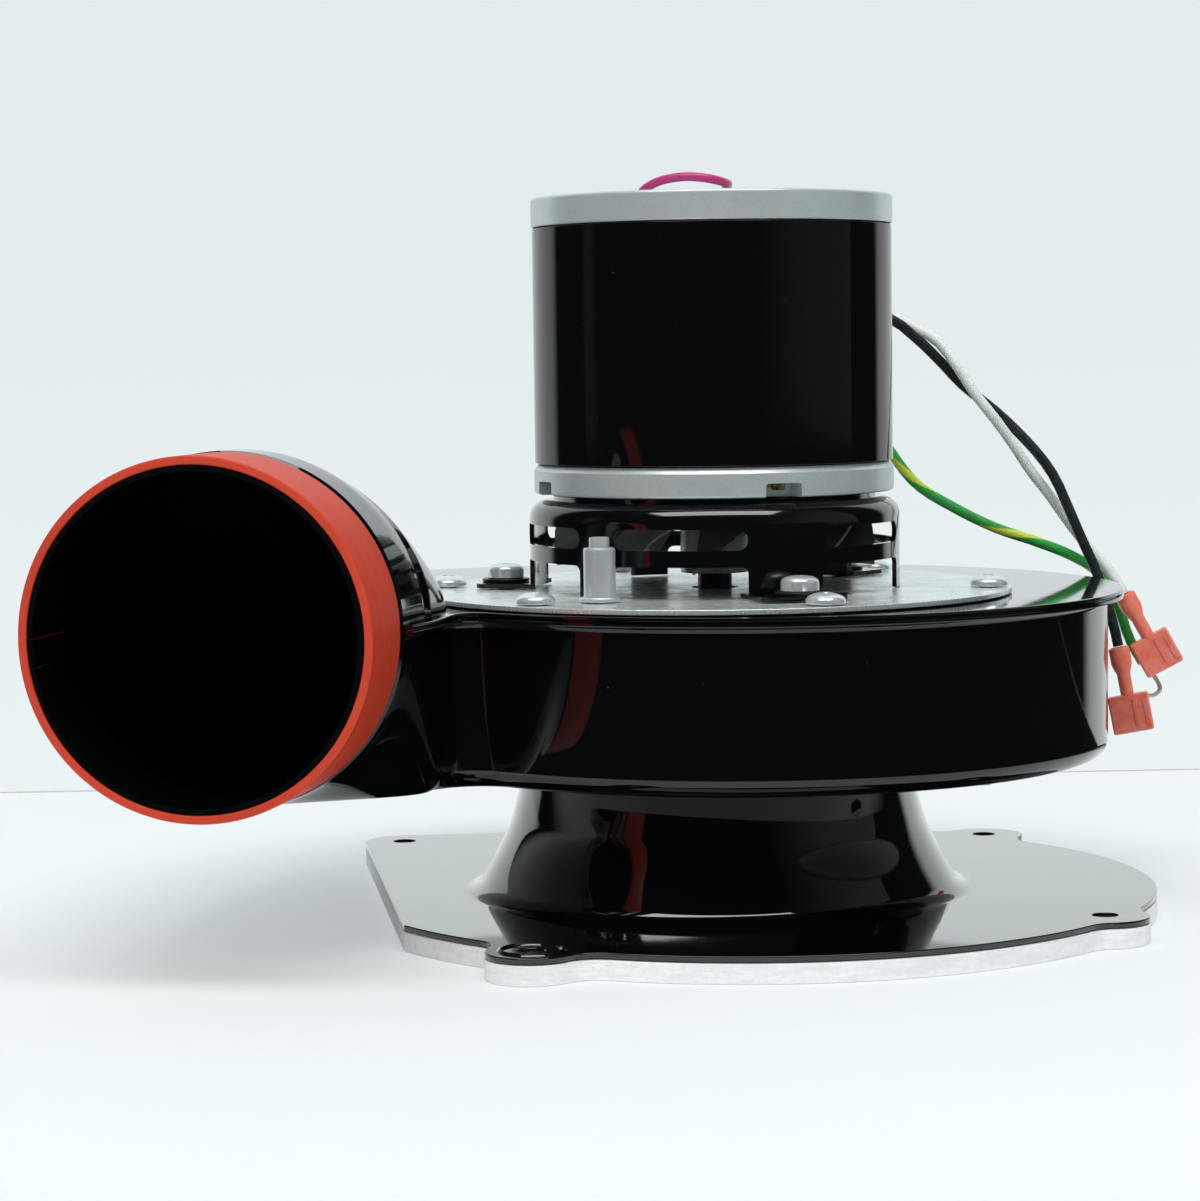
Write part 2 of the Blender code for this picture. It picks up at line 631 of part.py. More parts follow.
def base_outline():
    """Round plate with three round ears, one long corner and a straight left edge."""
    def ear(reach, bearing):
        centre = polar(reach, bearing, BASE_CENTRE)
        near = BASE_RADIUS + EAR_FILLET
        far = EAR_RADIUS + EAR_FILLET
        along = (near ** 2 - far ** 2 + reach ** 2) / (2 * reach)
        turn = math.acos(along / near)
        points = []
        before = polar(near, bearing - turn, BASE_CENTRE)
        after = polar(near, bearing + turn, BASE_CENTRE)
        facing = math.atan2(centre.y - before.y, centre.x - before.x)
        start = bearing - turn + math.pi
        points += arc(before, EAR_FILLET, start, start + angle_to(start, facing),
                      EDGE_STEPS)
        start = facing - math.pi
        leaving = math.atan2(after.y - centre.y, after.x - centre.x)
        points += arc(centre, EAR_RADIUS, start, start + (leaving - start) % math.tau,
                      EAR_STEPS)
        start = leaving + math.pi
        finish = bearing + turn + math.pi
        points += arc(after, EAR_FILLET, start, start + angle_to(start, finish),
                      EDGE_STEPS)
        return points, bearing - turn, bearing + turn

    def angle_to(start, end):
        return (end - start + math.pi) % math.tau - math.pi

    front, front_start, front_end = ear(FRONT_EAR_RADIUS, FRONT_EAR_BEARING)
    side, side_start, side_end = ear(SIDE_EAR_RADIUS, SIDE_EAR_BEARING)
    back, back_start, back_end = ear(BACK_EAR_RADIUS, BACK_EAR_BEARING)
    corner = polar(CORNER_RADIUS, CORNER_EAR_BEARING, BASE_CENTRE)
    lean = math.acos((BASE_RADIUS - EAR_RADIUS) / CORNER_RADIUS)
    back_normal = CORNER_EAR_BEARING - lean
    edge_point = polar(EAR_RADIUS, LEFT_EDGE_NORMAL, corner)
    edge_run = Vector((-math.sin(LEFT_EDGE_NORMAL), math.cos(LEFT_EDGE_NORMAL)))
    offset = edge_point - BASE_CENTRE
    dot = offset.dot(edge_run)
    reach = -dot + math.sqrt(dot ** 2 - offset.length_squared + BASE_RADIUS ** 2)
    meeting = edge_point + edge_run * reach
    left_start = math.atan2(meeting.y - BASE_CENTRE.y, meeting.x - BASE_CENTRE.x)
    points = arc(BASE_CENTRE, BASE_RADIUS, left_start, front_start, LEFT_EDGE_STEPS)[:-1]
    points += front[:-1]
    points += arc(BASE_CENTRE, BASE_RADIUS, front_end, side_start, BASE_ARC_STEPS)[:-1]
    points += side[:-1]
    points += arc(BASE_CENTRE, BASE_RADIUS, side_end, back_start, BASE_ARC_STEPS)[:-1]
    points += back[:-1]
    points += arc(BASE_CENTRE, BASE_RADIUS, back_end, back_normal, CORNER_ARC_STEPS)
    points += arc(corner, EAR_RADIUS, back_normal, LEFT_EDGE_NORMAL, CORNER_ARC_STEPS)
    return points


def ear_centres():
    return [polar(reach, bearing, BASE_CENTRE) for reach, bearing in (
        (FRONT_EAR_RADIUS, FRONT_EAR_BEARING), (SIDE_EAR_RADIUS, SIDE_EAR_BEARING),
        (BACK_EAR_RADIUS, BACK_EAR_BEARING), (CORNER_RADIUS, CORNER_EAR_BEARING))]


def cone_profile():
    """Wall of the drawn cone, from the inward lip at its top to the flat of the plate."""
    lip = BASE_SHEET * 2
    outer = [Vector((INLET_RADIUS, CONE_TOP))]
    outer += arc((CONE_TOP_RADIUS - lip, CONE_TOP - lip), lip, math.pi / 2, 0.0, EDGE_STEPS)
    outer.append(Vector((CONE_SHOULDER_RADIUS, CONE_SHOULDER_HEIGHT)))
    centre = Vector((CONE_EDGE_RADIUS, BASE_TOP + CONE_FOOT_FILLET))
    foot = arc(centre, CONE_FOOT_FILLET, CONE_FOOT_SLOPE - math.pi, -math.pi / 2, EDGE_STEPS)
    fall = foot[0] - outer[-1]
    outer.append(Vector((CONE_SHOULDER_RADIUS + fall.x * CONE_WAIST_SPREAD_SHARE,
                         CONE_SHOULDER_HEIGHT + fall.y * CONE_WAIST_DROP_SHARE)))
    outer += foot
    inner = []
    for i in range(2, len(outer) - 1):
        run = (outer[i + 1] - outer[i - 1]).normalized()
        inner.append(outer[i] + Vector((run.y, -run.x)) * BASE_SHEET)
    inner = [Vector((INLET_RADIUS, CONE_TOP - BASE_SHEET))] + inner
    inner.append(Vector((CONE_EDGE_RADIUS, BASE_LOW)))
    return [tuple(p) for p in outer + list(reversed(inner))]


def make_base():
    outline = base_outline()
    holes = [arc(c, EAR_HOLE_RADIUS, 0.0, math.tau, SMALL_STEPS)[:-1] for c in ear_centres()]
    bore = arc((0.0, 0.0), CONE_EDGE_RADIUS, 0.0, math.tau, TURN_STEPS)[:-1]
    sheet = plate([outline, bore] + holes, BASE_LOW, BASE_TOP)
    sheet = stitched(sheet, solid_of(turned(cone_profile())))
    sheet.name = "base sheet"
    rims = []
    for centre in ear_centres()[:1]:
        rim = turned(ring_profile(EMBOSS_RADIUS - EMBOSS_WIDTH, EMBOSS_RADIUS,
                                  BASE_TOP - FUSE_DEPTH, BASE_TOP + EMBOSS_HEIGHT,
                                  EMBOSS_HEIGHT / 2), SMALL_STEPS)
        rims.append(placed(solid_of(rim), Matrix.Translation((*centre, 0.0))))
    combine(sheet, merged(rims), "UNION")
    keep(sheet, "base_plate", GLOSS_BLACK)
    gasket_holes = [arc(c, EAR_HOLE_RADIUS + FIT_GAP, 0.0, math.tau, SMALL_STEPS)[:-1]
                    for c in ear_centres()]
    gasket_bore = arc((0.0, 0.0), GASKET_BORE_RADIUS, 0.0, math.tau, TURN_STEPS)[:-1]
    gasket = plate([outline, gasket_bore] + gasket_holes, 0.0, GASKET_THICKNESS)
    keep(gasket, "base_gasket", FIBRE_WHITE)


# Scroll housing: the path of its wall, the pan, the cover and the outlet


def across_point(depth, across):
    """A point of the outlet duct: depth in from the mouth, across to the right of its axis."""
    return OUTLET + INWARD * depth + ACROSS * across


def scroll_geometry():
    """Centre and radius of the second arc, centre of the tongue, and where they meet."""
    turn = Vector((math.cos(SCROLL_TURN), math.sin(SCROLL_TURN)))
    left = -ACROSS
    wall = left.dot(OUTLET) + DUCT_HALF
    grow = (wall - left.dot(SCROLL_CENTRE) - SCROLL_RADIUS) / (1.0 - left.dot(turn))
    centre = SCROLL_CENTRE - turn * grow
    radius = SCROLL_RADIUS + grow
    right_wall = ACROSS.dot(OUTLET) + DUCT_HALF
    gap = ACROSS.dot(SCROLL_CENTRE) - right_wall - TONGUE_RADIUS
    reach = SCROLL_RADIUS + TONGUE_RADIUS
    back = math.sqrt(reach ** 2 - gap ** 2)
    along = INWARD.dot(SCROLL_CENTRE) - back
    tongue = ACROSS * (right_wall + TONGUE_RADIUS) + INWARD * along
    left_depth = INWARD.dot(centre - OUTLET)
    right_depth = INWARD.dot(tongue - OUTLET)
    return centre, radius, tongue, left_depth, right_depth


ARC_CENTRE, ARC_RADIUS, TONGUE_CENTRE, LEFT_DEPTH, RIGHT_DEPTH = scroll_geometry()


def wall_path(offset, start_depth):
    """The scroll wall moved outward by an offset, from the outlet's left side to its right."""
    left_bearing = math.atan2(-ACROSS.y, -ACROSS.x) % math.tau
    tongue_bearing = math.atan2(TONGUE_CENTRE.y - SCROLL_CENTRE.y,
                                TONGUE_CENTRE.x - SCROLL_CENTRE.x)
    path = []
    for i in range(STRAIGHT_STEPS):
        depth = start_depth + (LEFT_DEPTH - start_depth) * i / STRAIGHT_STEPS
        path.append((across_point(depth, -DUCT_HALF - offset), -ACROSS))
    for i in range(LEFT_ARC_STEPS):
        bearing = left_bearing + (SCROLL_TURN - left_bearing) * i / LEFT_ARC_STEPS
        normal = Vector((math.cos(bearing), math.sin(bearing)))
        path.append((ARC_CENTRE + normal * (ARC_RADIUS + offset), normal))
    for i in range(RIGHT_ARC_STEPS + 1):
        bearing = SCROLL_TURN + (tongue_bearing - SCROLL_TURN) * i / RIGHT_ARC_STEPS
        normal = Vector((math.cos(bearing), math.sin(bearing)))
        path.append((SCROLL_CENTRE + normal * (SCROLL_RADIUS + offset), normal))
    start = tongue_bearing + math.pi
    end = math.atan2(-ACROSS.y, -ACROSS.x)
    sweep = (end - start) % math.tau
    for i in range(1, TONGUE_STEPS + 1):
        bearing = start + sweep * i / TONGUE_STEPS
        facing = Vector((math.cos(bearing), math.sin(bearing)))
        path.append((TONGUE_CENTRE + facing * (TONGUE_RADIUS - offset), -facing))
    if start_depth < RIGHT_DEPTH:
        for i in range(1, STRAIGHT_STEPS + 1):
            depth = RIGHT_DEPTH + (start_depth - RIGHT_DEPTH) * i / STRAIGHT_STEPS
            path.append((across_point(depth, DUCT_HALF + offset), ACROSS))
    return path


def rim_share(point):
    """How much of the rim's width stands at a point: it narrows towards the sleeve."""
    depth = INWARD.dot(point - OUTLET)
    beside = ACROSS.dot(point - OUTLET)
    if depth > SHOULDER + RIM_RUN_OUT or beside > DUCT_HALF + TONGUE_RADIUS:
        return 1.0
    share = max(0.0, (depth - SHOULDER) / RIM_RUN_OUT)
    ease = share * share * (3 - 2 * share)
    narrow = RIM_END_WIDTH / RIM_WIDTH
    return narrow + (1.0 - narrow) * ease


def rim_sweep(section, start_depth):
    """Carries a section of (outward, height), with outward growing with the rim, round the wall.

    Each point of the section is (fixed part, part that follows the rim width, height)."""
    path = wall_path(0.0, start_depth)
    rings = []
    for place, normal in path:
        share = rim_share(place)
        ring = []
        for fixed, moving, height in section:
            out = fixed + moving * share
            ring.append((place.x + normal.x * out, place.y + normal.y * out, height))
        rings.append(ring)
    return loft(rings)


def duct_section(half, corner, floor, steps):
    """Half of a duct section, from its top edge down and in to its middle."""
    points = [(half, SEAM), (half, floor + corner)]
    for i in range(1, steps + 1):
        bearing = math.pi / 2 * i / steps
        points.append((half - corner + corner * math.cos(bearing),
                       floor + corner - corner * math.sin(bearing)))
    return points


def bridge(near, far):
    """Triangles between two rows of points that need not have the same number of points."""
    def shares(row):
        run = [0.0]
        for a, b in zip(row, row[1:]):
            run.append(run[-1] + (Vector(b) - Vector(a)).length)
        return [r / run[-1] for r in run]

    near_share = shares(near)
    far_share = shares(far)
    triangles = []
    i = 0
    j = 0
    while i < len(near) - 1 or j < len(far) - 1:
        step_near = i < len(near) - 1
        if step_near and j < len(far) - 1:
            step_near = near_share[i + 1] <= far_share[j + 1]
        if step_near:
            triangles.append((near[i], near[i + 1], far[j]))
            i += 1
        else:
            triangles.append((near[i], far[j + 1], far[j]))
            j += 1
    return triangles


def pan_surface():
    """Outer face of the pan: half-round neck, its change to a flat floor, and the scroll."""
    thin = FIT_GAP / 3
    round_corner = NECK_RADIUS - thin
    neck_floor = SEAM - NECK_RADIUS
    stations = [(0.0, NECK_RADIUS, round_corner, neck_floor),
                (NECK_LENGTH, NECK_RADIUS, round_corner, neck_floor),
                (SHOULDER, DUCT_HALF, DUCT_HALF - thin, PAN_FLOOR)]
    for i in range(1, NECK_CHANGE_STEPS):
        share = i / NECK_CHANGE_STEPS
        ease = share * share * (3 - 2 * share)
        depth = SHOULDER + (RIGHT_DEPTH - SHOULDER) * share
        corner = (DUCT_HALF - thin) * (1 - ease) + PAN_EDGE_RADIUS * ease
        stations.append((depth, DUCT_HALF, corner, PAN_FLOOR))
    rows = []
    for depth, half, corner, floor in stations:
        side = duct_section(half, corner, floor, DOME_STEPS // 2)
        row = [(*across_point(depth, -out), z) for out, z in side]
        row += [(*across_point(depth, out), z) for out, z in reversed(side)]
        rows.append(row)
    columns = []
    for place, normal in wall_path(0.0, RIGHT_DEPTH):
        side = duct_section(0.0, PAN_EDGE_RADIUS, PAN_FLOOR, EDGE_STEPS)
        columns.append([(*(place + normal * out), z) for out, z in side])
    polygons = []
    for near, far in zip(rows, rows[1:]):
        for i in range(len(near) - 1):
            polygons.append((near[i], near[i + 1], far[i + 1], far[i]))
    polygons += bridge(rows[-1], columns[0] + list(reversed(columns[-1])))
    for near, far in zip(columns, columns[1:]):
        for i in range(len(near) - 1):
            polygons.append((near[i], far[i], far[i + 1], near[i + 1]))
    polygons.append(tuple(column[-1] for column in columns))
    verts = []
    faces = []
    for polygon in polygons:
        faces.append(tuple(range(len(verts), len(verts) + len(polygon))))
        verts += polygon
    pan = mesh_piece(verts, faces)
    work = bmesh.new()
    work.from_mesh(pan.data)
    bmesh.ops.remove_doubles(work, verts=work.verts, dist=WELD_DISTANCE)
    bmesh.ops.recalc_face_normals(work, faces=work.faces)
    floor_face = max(work.faces, key=lambda face: len(face.verts))
    if floor_face.normal.z > 0:
        bmesh.ops.reverse_faces(work, faces=work.faces)
    work.to_mesh(pan.data)
    work.free()
    return pan


def make_pan():
    pan = pan_surface()
    shell = pan.modifiers.new("sheet", "SOLIDIFY")
    shell.thickness = SHEET
    shell.offset = -1.0
    shell.use_even_offset = True
    pan = solid_of(pan)
    top = SEAM - FIT_GAP / 3
    low = SEAM - SHEET
    inset = -SHEET / 2
    section = [(inset, 0.0, top), (0.0, RIM_WIDTH, top), (0.0, RIM_WIDTH, low),
               (RIM_FILLET * RIM_FILLET_SHARE, 0.0, low), (-FIT_GAP / 3, 0.0, low - RIM_FILLET),
               (inset, 0.0, low - RIM_FILLET)]
    combine(pan, rim_sweep(section, SHOULDER + FIT_GAP), "UNION")
    boss_place = polar(DRAIN_BOSS_CIRCLE_RADIUS, DRAIN_BOSS_BEARING, SCROLL_CENTRE)
    boss = turned([(0.0, PAN_FLOOR + FUSE_DEPTH), (DRAIN_BOSS_RADIUS, PAN_FLOOR + FUSE_DEPTH),
                   (DRAIN_BOSS_RADIUS * DRAIN_BOSS_CROWN_SHARE, PAN_FLOOR - DRAIN_BOSS_HEIGHT),
                   (0.0, PAN_FLOOR - DRAIN_BOSS_HEIGHT)], SMALL_STEPS, closed=False)
    combine(pan, placed(solid_of(boss), Matrix.Translation((*boss_place, 0.0))), "UNION")
    combine(pan, rod(INLET_RADIUS, PAN_FLOOR - CUT_OVERRUN, PAN_FLOOR + SHEET + CUT_OVERRUN,
                     steps=TURN_STEPS), "DIFFERENCE")
    keep(pan, "scroll_pan", GLOSS_BLACK)


def dome_stations(wall):
    """Stations of the raised half of the outlet: (depth, left, right, rise), less a wall."""
    found = []
    for depth in (-CUT_OVERRUN if wall else 0.0, NECK_LENGTH):
        found.append((depth, NECK_RADIUS - wall, NECK_RADIUS - wall, NECK_RADIUS - wall))
    full = DUCT_HALF - wall
    found.append((SHOULDER, full, full, full))
    end = SHOULDER + DOME_LENGTH
    clear = PLATE_RADIUS + DOME_PLATE_CLEARANCE
    for i in range(1, DOME_FALL_STEPS + 1):
        depth = SHOULDER + (DOME_LENGTH - FUSE_DEPTH) * i / DOME_FALL_STEPS
        centre = OUTLET + INWARD * depth
        right = DUCT_HALF
        beside = centre.dot(ACROSS)
        free = clear ** 2 - centre.length_squared + beside ** 2
        if free > 0.0:
            limit = -beside - math.sqrt(free)
            softness = DOME_PLATE_CLEARANCE
            spread = math.sqrt((DUCT_HALF - limit) ** 2 + softness ** 2)
            right = (DUCT_HALF + limit - spread) / 2 + softness / 4
        fall = max(0.0, (depth - SHOULDER - DOME_STRAIGHT) / (end - SHOULDER - DOME_STRAIGHT))
        rise = DUCT_HALF * (1.0 + math.cos(math.pi * min(fall, 1.0))) / 2
        found.append((depth, DUCT_HALF - wall, right - wall, rise - wall))
    return found


def dome_solid(wall, base):
    """The raised half of the outlet as a solid, standing on a given height."""
    rings = []
    for depth, left, right, rise in dome_stations(wall):
        if rise < base - SEAM + FIT_GAP:
            rise = base - SEAM + FIT_GAP
        middle = (right - left) / 2
        half = (right + left) / 2
        ring = []
        floor_share = max(0.0, min(1.0, (base - SEAM) / rise))
        first = math.asin(floor_share) if base > SEAM else 0.0
        for i in range(DOME_STEPS + 1):
            bearing = first + (math.pi - 2 * first) * i / DOME_STEPS
            p = across_point(depth, middle + half * math.cos(bearing))
            ring.append((p.x, p.y, SEAM + rise * math.sin(bearing)))
        if base < SEAM:
            for out in (-half, half):
                p = across_point(depth, middle + out)
                ring.append((p.x, p.y, base))
        rings.append(ring)
    return loft(rings)


def make_cover():
    crown = SHEET * COVER_CROWN_SHARE
    path = wall_path(0.0, SHOULDER + FIT_GAP)
    rings = []
    for inset, height in ((crown, COVER_TOP), (0.0, COVER_TOP - crown), (0.0, COVER_LOW)):
        edge = [p + normal * (RIM_WIDTH * rim_share(p) - inset) for p, normal in path]
        rings.append([(p.x, p.y, height) for p in edge])
    cover = loft(rings)
    cover.name = "cover sheet"
    combine(cover, dome_solid(0.0, COVER_LOW - FIT_GAP / 3), "UNION")
    cuts = [dome_solid(SHEET, COVER_LOW - CUT_OVERRUN)]
    span = (COVER_LOW - CUT_OVERRUN, COVER_TOP + CUT_OVERRUN)
    cuts.append(rod(COVER_BORE_RADIUS, *span, steps=TURN_STEPS))
    cuts += [rod(SCREW_SHANK_RADIUS + FIT_GAP, *span, p.x, p.y, PIN_STEPS)
             for p in screw_places()]
    combine(cover, merged(cuts), "DIFFERENCE")
    keep(cover, "scroll_cover", GLOSS_BLACK)


def outlet_matrix(depth):
    """Turns a piece made about Z, with its top towards the mouth, on to the outlet axis."""
    centre = OUTLET + INWARD * depth
    place = Matrix.Translation((centre.x, centre.y, SEAM))
    return place @ Matrix.Rotation(-OUTLET_BEARING, 4, "Z") @ Matrix.Rotation(math.pi / 2, 4, "X")


def make_sleeve():
    inner = NECK_RADIUS + FIT_GAP
    outer = inner + SLEEVE_WALL
    profile = ring_profile(inner, outer, -SLEEVE_LENGTH, 0.0)
    sleeve = placed(solid_of(turned(profile, TURN_STEPS)), outlet_matrix(0.0))
    keep(sleeve, "outlet_sleeve", SILICONE_RED)


# Motor plate, its screws and the pressure tap


def screw_places():
    turn = math.tau / PLATE_SCREW_COUNT
    return [polar(PLATE_SCREW_CIRCLE_RADIUS, PLATE_SCREW_BEARING + turn * i)
            for i in range(PLATE_SCREW_COUNT)]


def foot_bearings():
    return [PLATE_SCREW_BEARING + math.tau / FOOT_COUNT * i for i in range(FOOT_COUNT)]


def foot_places():
    return [polar(FOOT_SCREW_CIRCLE_RADIUS, bearing) for bearing in foot_bearings()]


def make_motor_plate():
    edge = arc((0.0, 0.0), PLATE_RADIUS, 0.0, math.tau, PLATE_STEPS)[:-1]
    holes = [arc(p, SCREW_SHANK_RADIUS + FIT_GAP, 0.0, math.tau, PIN_STEPS)[:-1]
             for p in screw_places() + foot_places()]
    shaft_hole = arc((0.0, 0.0), SHAFT_RADIUS + PLATE_SHAFT_CLEARANCE, 0.0, math.tau, BORE_STEPS)[:-1]
    tap_place = polar(TAP_CIRCLE_RADIUS, TAP_BEARING)
    tap_hole = arc(tap_place, TAP_STEM_RADIUS + FIT_GAP, 0.0, math.tau, SMALL_STEPS)[:-1]
    disc = plate([edge, shaft_hole, tap_hole] + holes, PLATE_LOW, PLATE_TOP)
    keep(disc, "motor_plate", ZINC)


def dome_head(seat, radius, height, shank, depth):
    """Profile of a screw with a low round head, from its crown down to its end."""
    return [(0.0, seat + height),
            (radius * SCREW_CROWN_SHARE, seat + height * SCREW_CROWN_SHARE),
            (radius, seat + height * SCREW_SIDE_SHARE), (radius, seat), (shank, seat),
            (shank, seat - depth), (0.0, seat - depth)]


def pan_head(seat, radius, height, shank, depth):
    """Profile of a screw with a straight-sided head, from its crown down to its end."""
    shoulder = height / 3
    return [(0.0, seat + height), (radius - shoulder * 2, seat + height),
            (radius - shoulder / 2, seat + height - shoulder / 2),
            (radius, seat + height - shoulder * 2), (radius - shoulder / 3, seat),
            (shank, seat), (shank, seat - depth), (0.0, seat - depth)]


def make_plate_screws():
    for i, place in enumerate(screw_places()):
        profile = dome_head(PLATE_TOP + FIT_GAP, SCREW_HEAD_RADIUS, SCREW_HEAD_HEIGHT,
                            SCREW_SHANK_RADIUS, SCREW_DEPTH)
        screw = solid_of(turned(profile, SMALL_STEPS, closed=False))
        placed(screw, Matrix.Translation((*place, 0.0)))
        keep(screw, "plate_screw_%d" % (i + 1), ZINC)


def make_tap():
    seat = PLATE_TOP + FIT_GAP
    body_low = seat + TAP_FLANGE_HEIGHT
    body_top = body_low + TAP_BODY_HEIGHT
    tip_top = body_top + TAP_TIP_HEIGHT
    profile = [(TAP_TIP_RADIUS - TAP_EDGE, tip_top), (TAP_TIP_RADIUS, tip_top - TAP_EDGE),
               (TAP_TIP_RADIUS, body_top), (TAP_BODY_RADIUS - TAP_EDGE, body_top),
               (TAP_BODY_RADIUS, body_top - TAP_EDGE), (TAP_BODY_RADIUS, body_low),
               (TAP_FLANGE_RADIUS, body_low), (TAP_FLANGE_RADIUS, seat),
               (TAP_STEM_RADIUS, seat), (TAP_STEM_RADIUS, seat - TAP_STEM_DEPTH),
               (TAP_BORE_RADIUS, seat - TAP_STEM_DEPTH), (TAP_BORE_RADIUS, tip_top)]
    tap = solid_of(turned(profile, SMALL_STEPS))
    placed(tap, Matrix.Translation((*polar(TAP_CIRCLE_RADIUS, TAP_BEARING), 0.0)))
    keep(tap, "pressure_tap", ZINC)


# Motor bracket with its feet, washers and screws


def make_bracket():
    inner = BRACKET_RADIUS - BRACKET_SHEET
    crown = BRACKET_CORNER - BRACKET_SHEET
    outer_arc = arc((BRACKET_RADIUS - BRACKET_CORNER, BRACKET_TOP - BRACKET_CORNER),
                    BRACKET_CORNER, math.pi / 2, 0.0, EDGE_STEPS)
    inner_arc = arc((inner - crown, BRACKET_TOP - BRACKET_SHEET - crown), crown,
                    0.0, math.pi / 2, EDGE_STEPS)
    profile = [(BRACKET_BORE_RADIUS, BRACKET_TOP)] + [tuple(p) for p in outer_arc]
    profile += [(BRACKET_RADIUS, FOOT_LOW), (inner, FOOT_LOW)] + [tuple(p) for p in inner_arc]
    profile.append((BRACKET_BORE_RADIUS, BRACKET_TOP - BRACKET_SHEET))
    cup = solid_of(turned(profile, MOTOR_STEPS))
    cup.name = "bracket cup"
    opening = (math.tau / FOOT_COUNT - LEG_ANGLE - POST_ANGLE) / 2
    half = BRACKET_RADIUS * math.sin(opening / 2)
    aside = (LEG_ANGLE + opening) / 2
    cutters = []
    for bearing in foot_bearings():
        for side in (-1, 1):
            middle = bearing + side * aside
            far = BRACKET_RADIUS + CUT_OVERRUN
            near = BRACKET_RADIUS * math.cos(opening / 2) - BRACKET_SHEET - CUT_OVERRUN
            cutters.append(radial_cutter(obround(half, SLOT_LOW, SLOT_HIGH), near, far, middle))
            window = round_rectangle(half, FOOT_LOW - CUT_OVERRUN, WINDOW_HIGH, WINDOW_CORNER)
            cutters.append(radial_cutter(window, near, far, middle))
    combine(cup, merged(cutters), "DIFFERENCE")
    feet = []
    for bearing, place in zip(foot_bearings(), foot_places()):
        near = inner + FUSE_DEPTH
        out = Vector((math.cos(bearing), math.sin(bearing)))
        side = Vector((-math.sin(bearing), math.cos(bearing)))
        corners = ((FOOT_RADIUS - FOOT_CORNER, FOOT_HALF_WIDTH - FOOT_CORNER, 0.0),
                   (FOOT_RADIUS - FOOT_CORNER, FOOT_CORNER - FOOT_HALF_WIDTH, -math.pi / 2))
        near_half = math.sqrt(max(0.0, near ** 2 - FOOT_HALF_WIDTH ** 2))
        loop = [out * near_half + side * FOOT_HALF_WIDTH]
        loop += [out * near * math.cos(t) + side * near * math.sin(t)
                 for t in (math.asin(FOOT_HALF_WIDTH / near) * share
                           for share in FOOT_CHORD_SHARES)]
        loop.append(out * near_half - side * FOOT_HALF_WIDTH)
        for x, y, start in reversed(corners):
            centre = out * x + side * y
            turn = [start + math.pi / 2 * i / EDGE_STEPS for i in range(EDGE_STEPS + 1)]
            loop += [centre + (out * math.cos(t) + side * math.sin(t)) * FOOT_CORNER
                     for t in turn]
        hole = arc(place, SCREW_SHANK_RADIUS + FIT_GAP, 0.0, math.tau, PIN_STEPS)[:-1]
        feet.append(plate([loop, hole], FOOT_LOW + FIT_GAP / 3, FOOT_TOP))
    combine(cup, merged(feet), "UNION")
    keep(cup, "motor_bracket", GLOSS_BLACK)


def make_foot_fasteners():
    for i, place in enumerate(foot_places()):
        washer = turned(ring_profile(SCREW_SHANK_RADIUS + FIT_GAP, WASHER_RADIUS, WASHER_LOW,
                                     WASHER_TOP), SMALL_STEPS)
        washer = placed(solid_of(washer), Matrix.Translation((*place, 0.0)))
        keep(washer, "foot_washer_%d" % (i + 1), BLACK_OXIDE)
        seat = WASHER_TOP + FIT_GAP
        depth = seat - PLATE_LOW + SCREW_DEPTH / 2
        profile = pan_head(seat, FOOT_SCREW_HEAD_RADIUS, FOOT_SCREW_HEAD_HEIGHT,
                           SCREW_SHANK_RADIUS, depth)
        screw = solid_of(turned(profile, SMALL_STEPS, closed=False))
        placed(screw, Matrix.Translation((*place, 0.0)))
        keep(screw, "foot_screw_%d" % (i + 1), ZINC)


# Motor body


def bolt_places():
    return [polar(BOLT_CIRCLE_RADIUS, BOLT_BEARING + math.tau / BOLT_COUNT * i)
            for i in range(BOLT_COUNT)]


def vent_cutters(low, high):
    """Curved vents round the bearing boss."""
    cutters = []
    for i in range(VENT_COUNT):
        middle = BOLT_BEARING + math.tau / VENT_COUNT * (2 * i + 1) / 2
        start = middle - VENT_SPAN
        end = middle + VENT_SPAN
        loop = arc((0.0, 0.0), VENT_CIRCLE_RADIUS + VENT_WIDTH / 2, start, end, VENT_OUTER_STEPS)
        loop += arc((0.0, 0.0), VENT_CIRCLE_RADIUS - VENT_WIDTH / 2, end, start, VENT_INNER_STEPS)
        cutters.append(plate([loop], low, high))
    return cutters


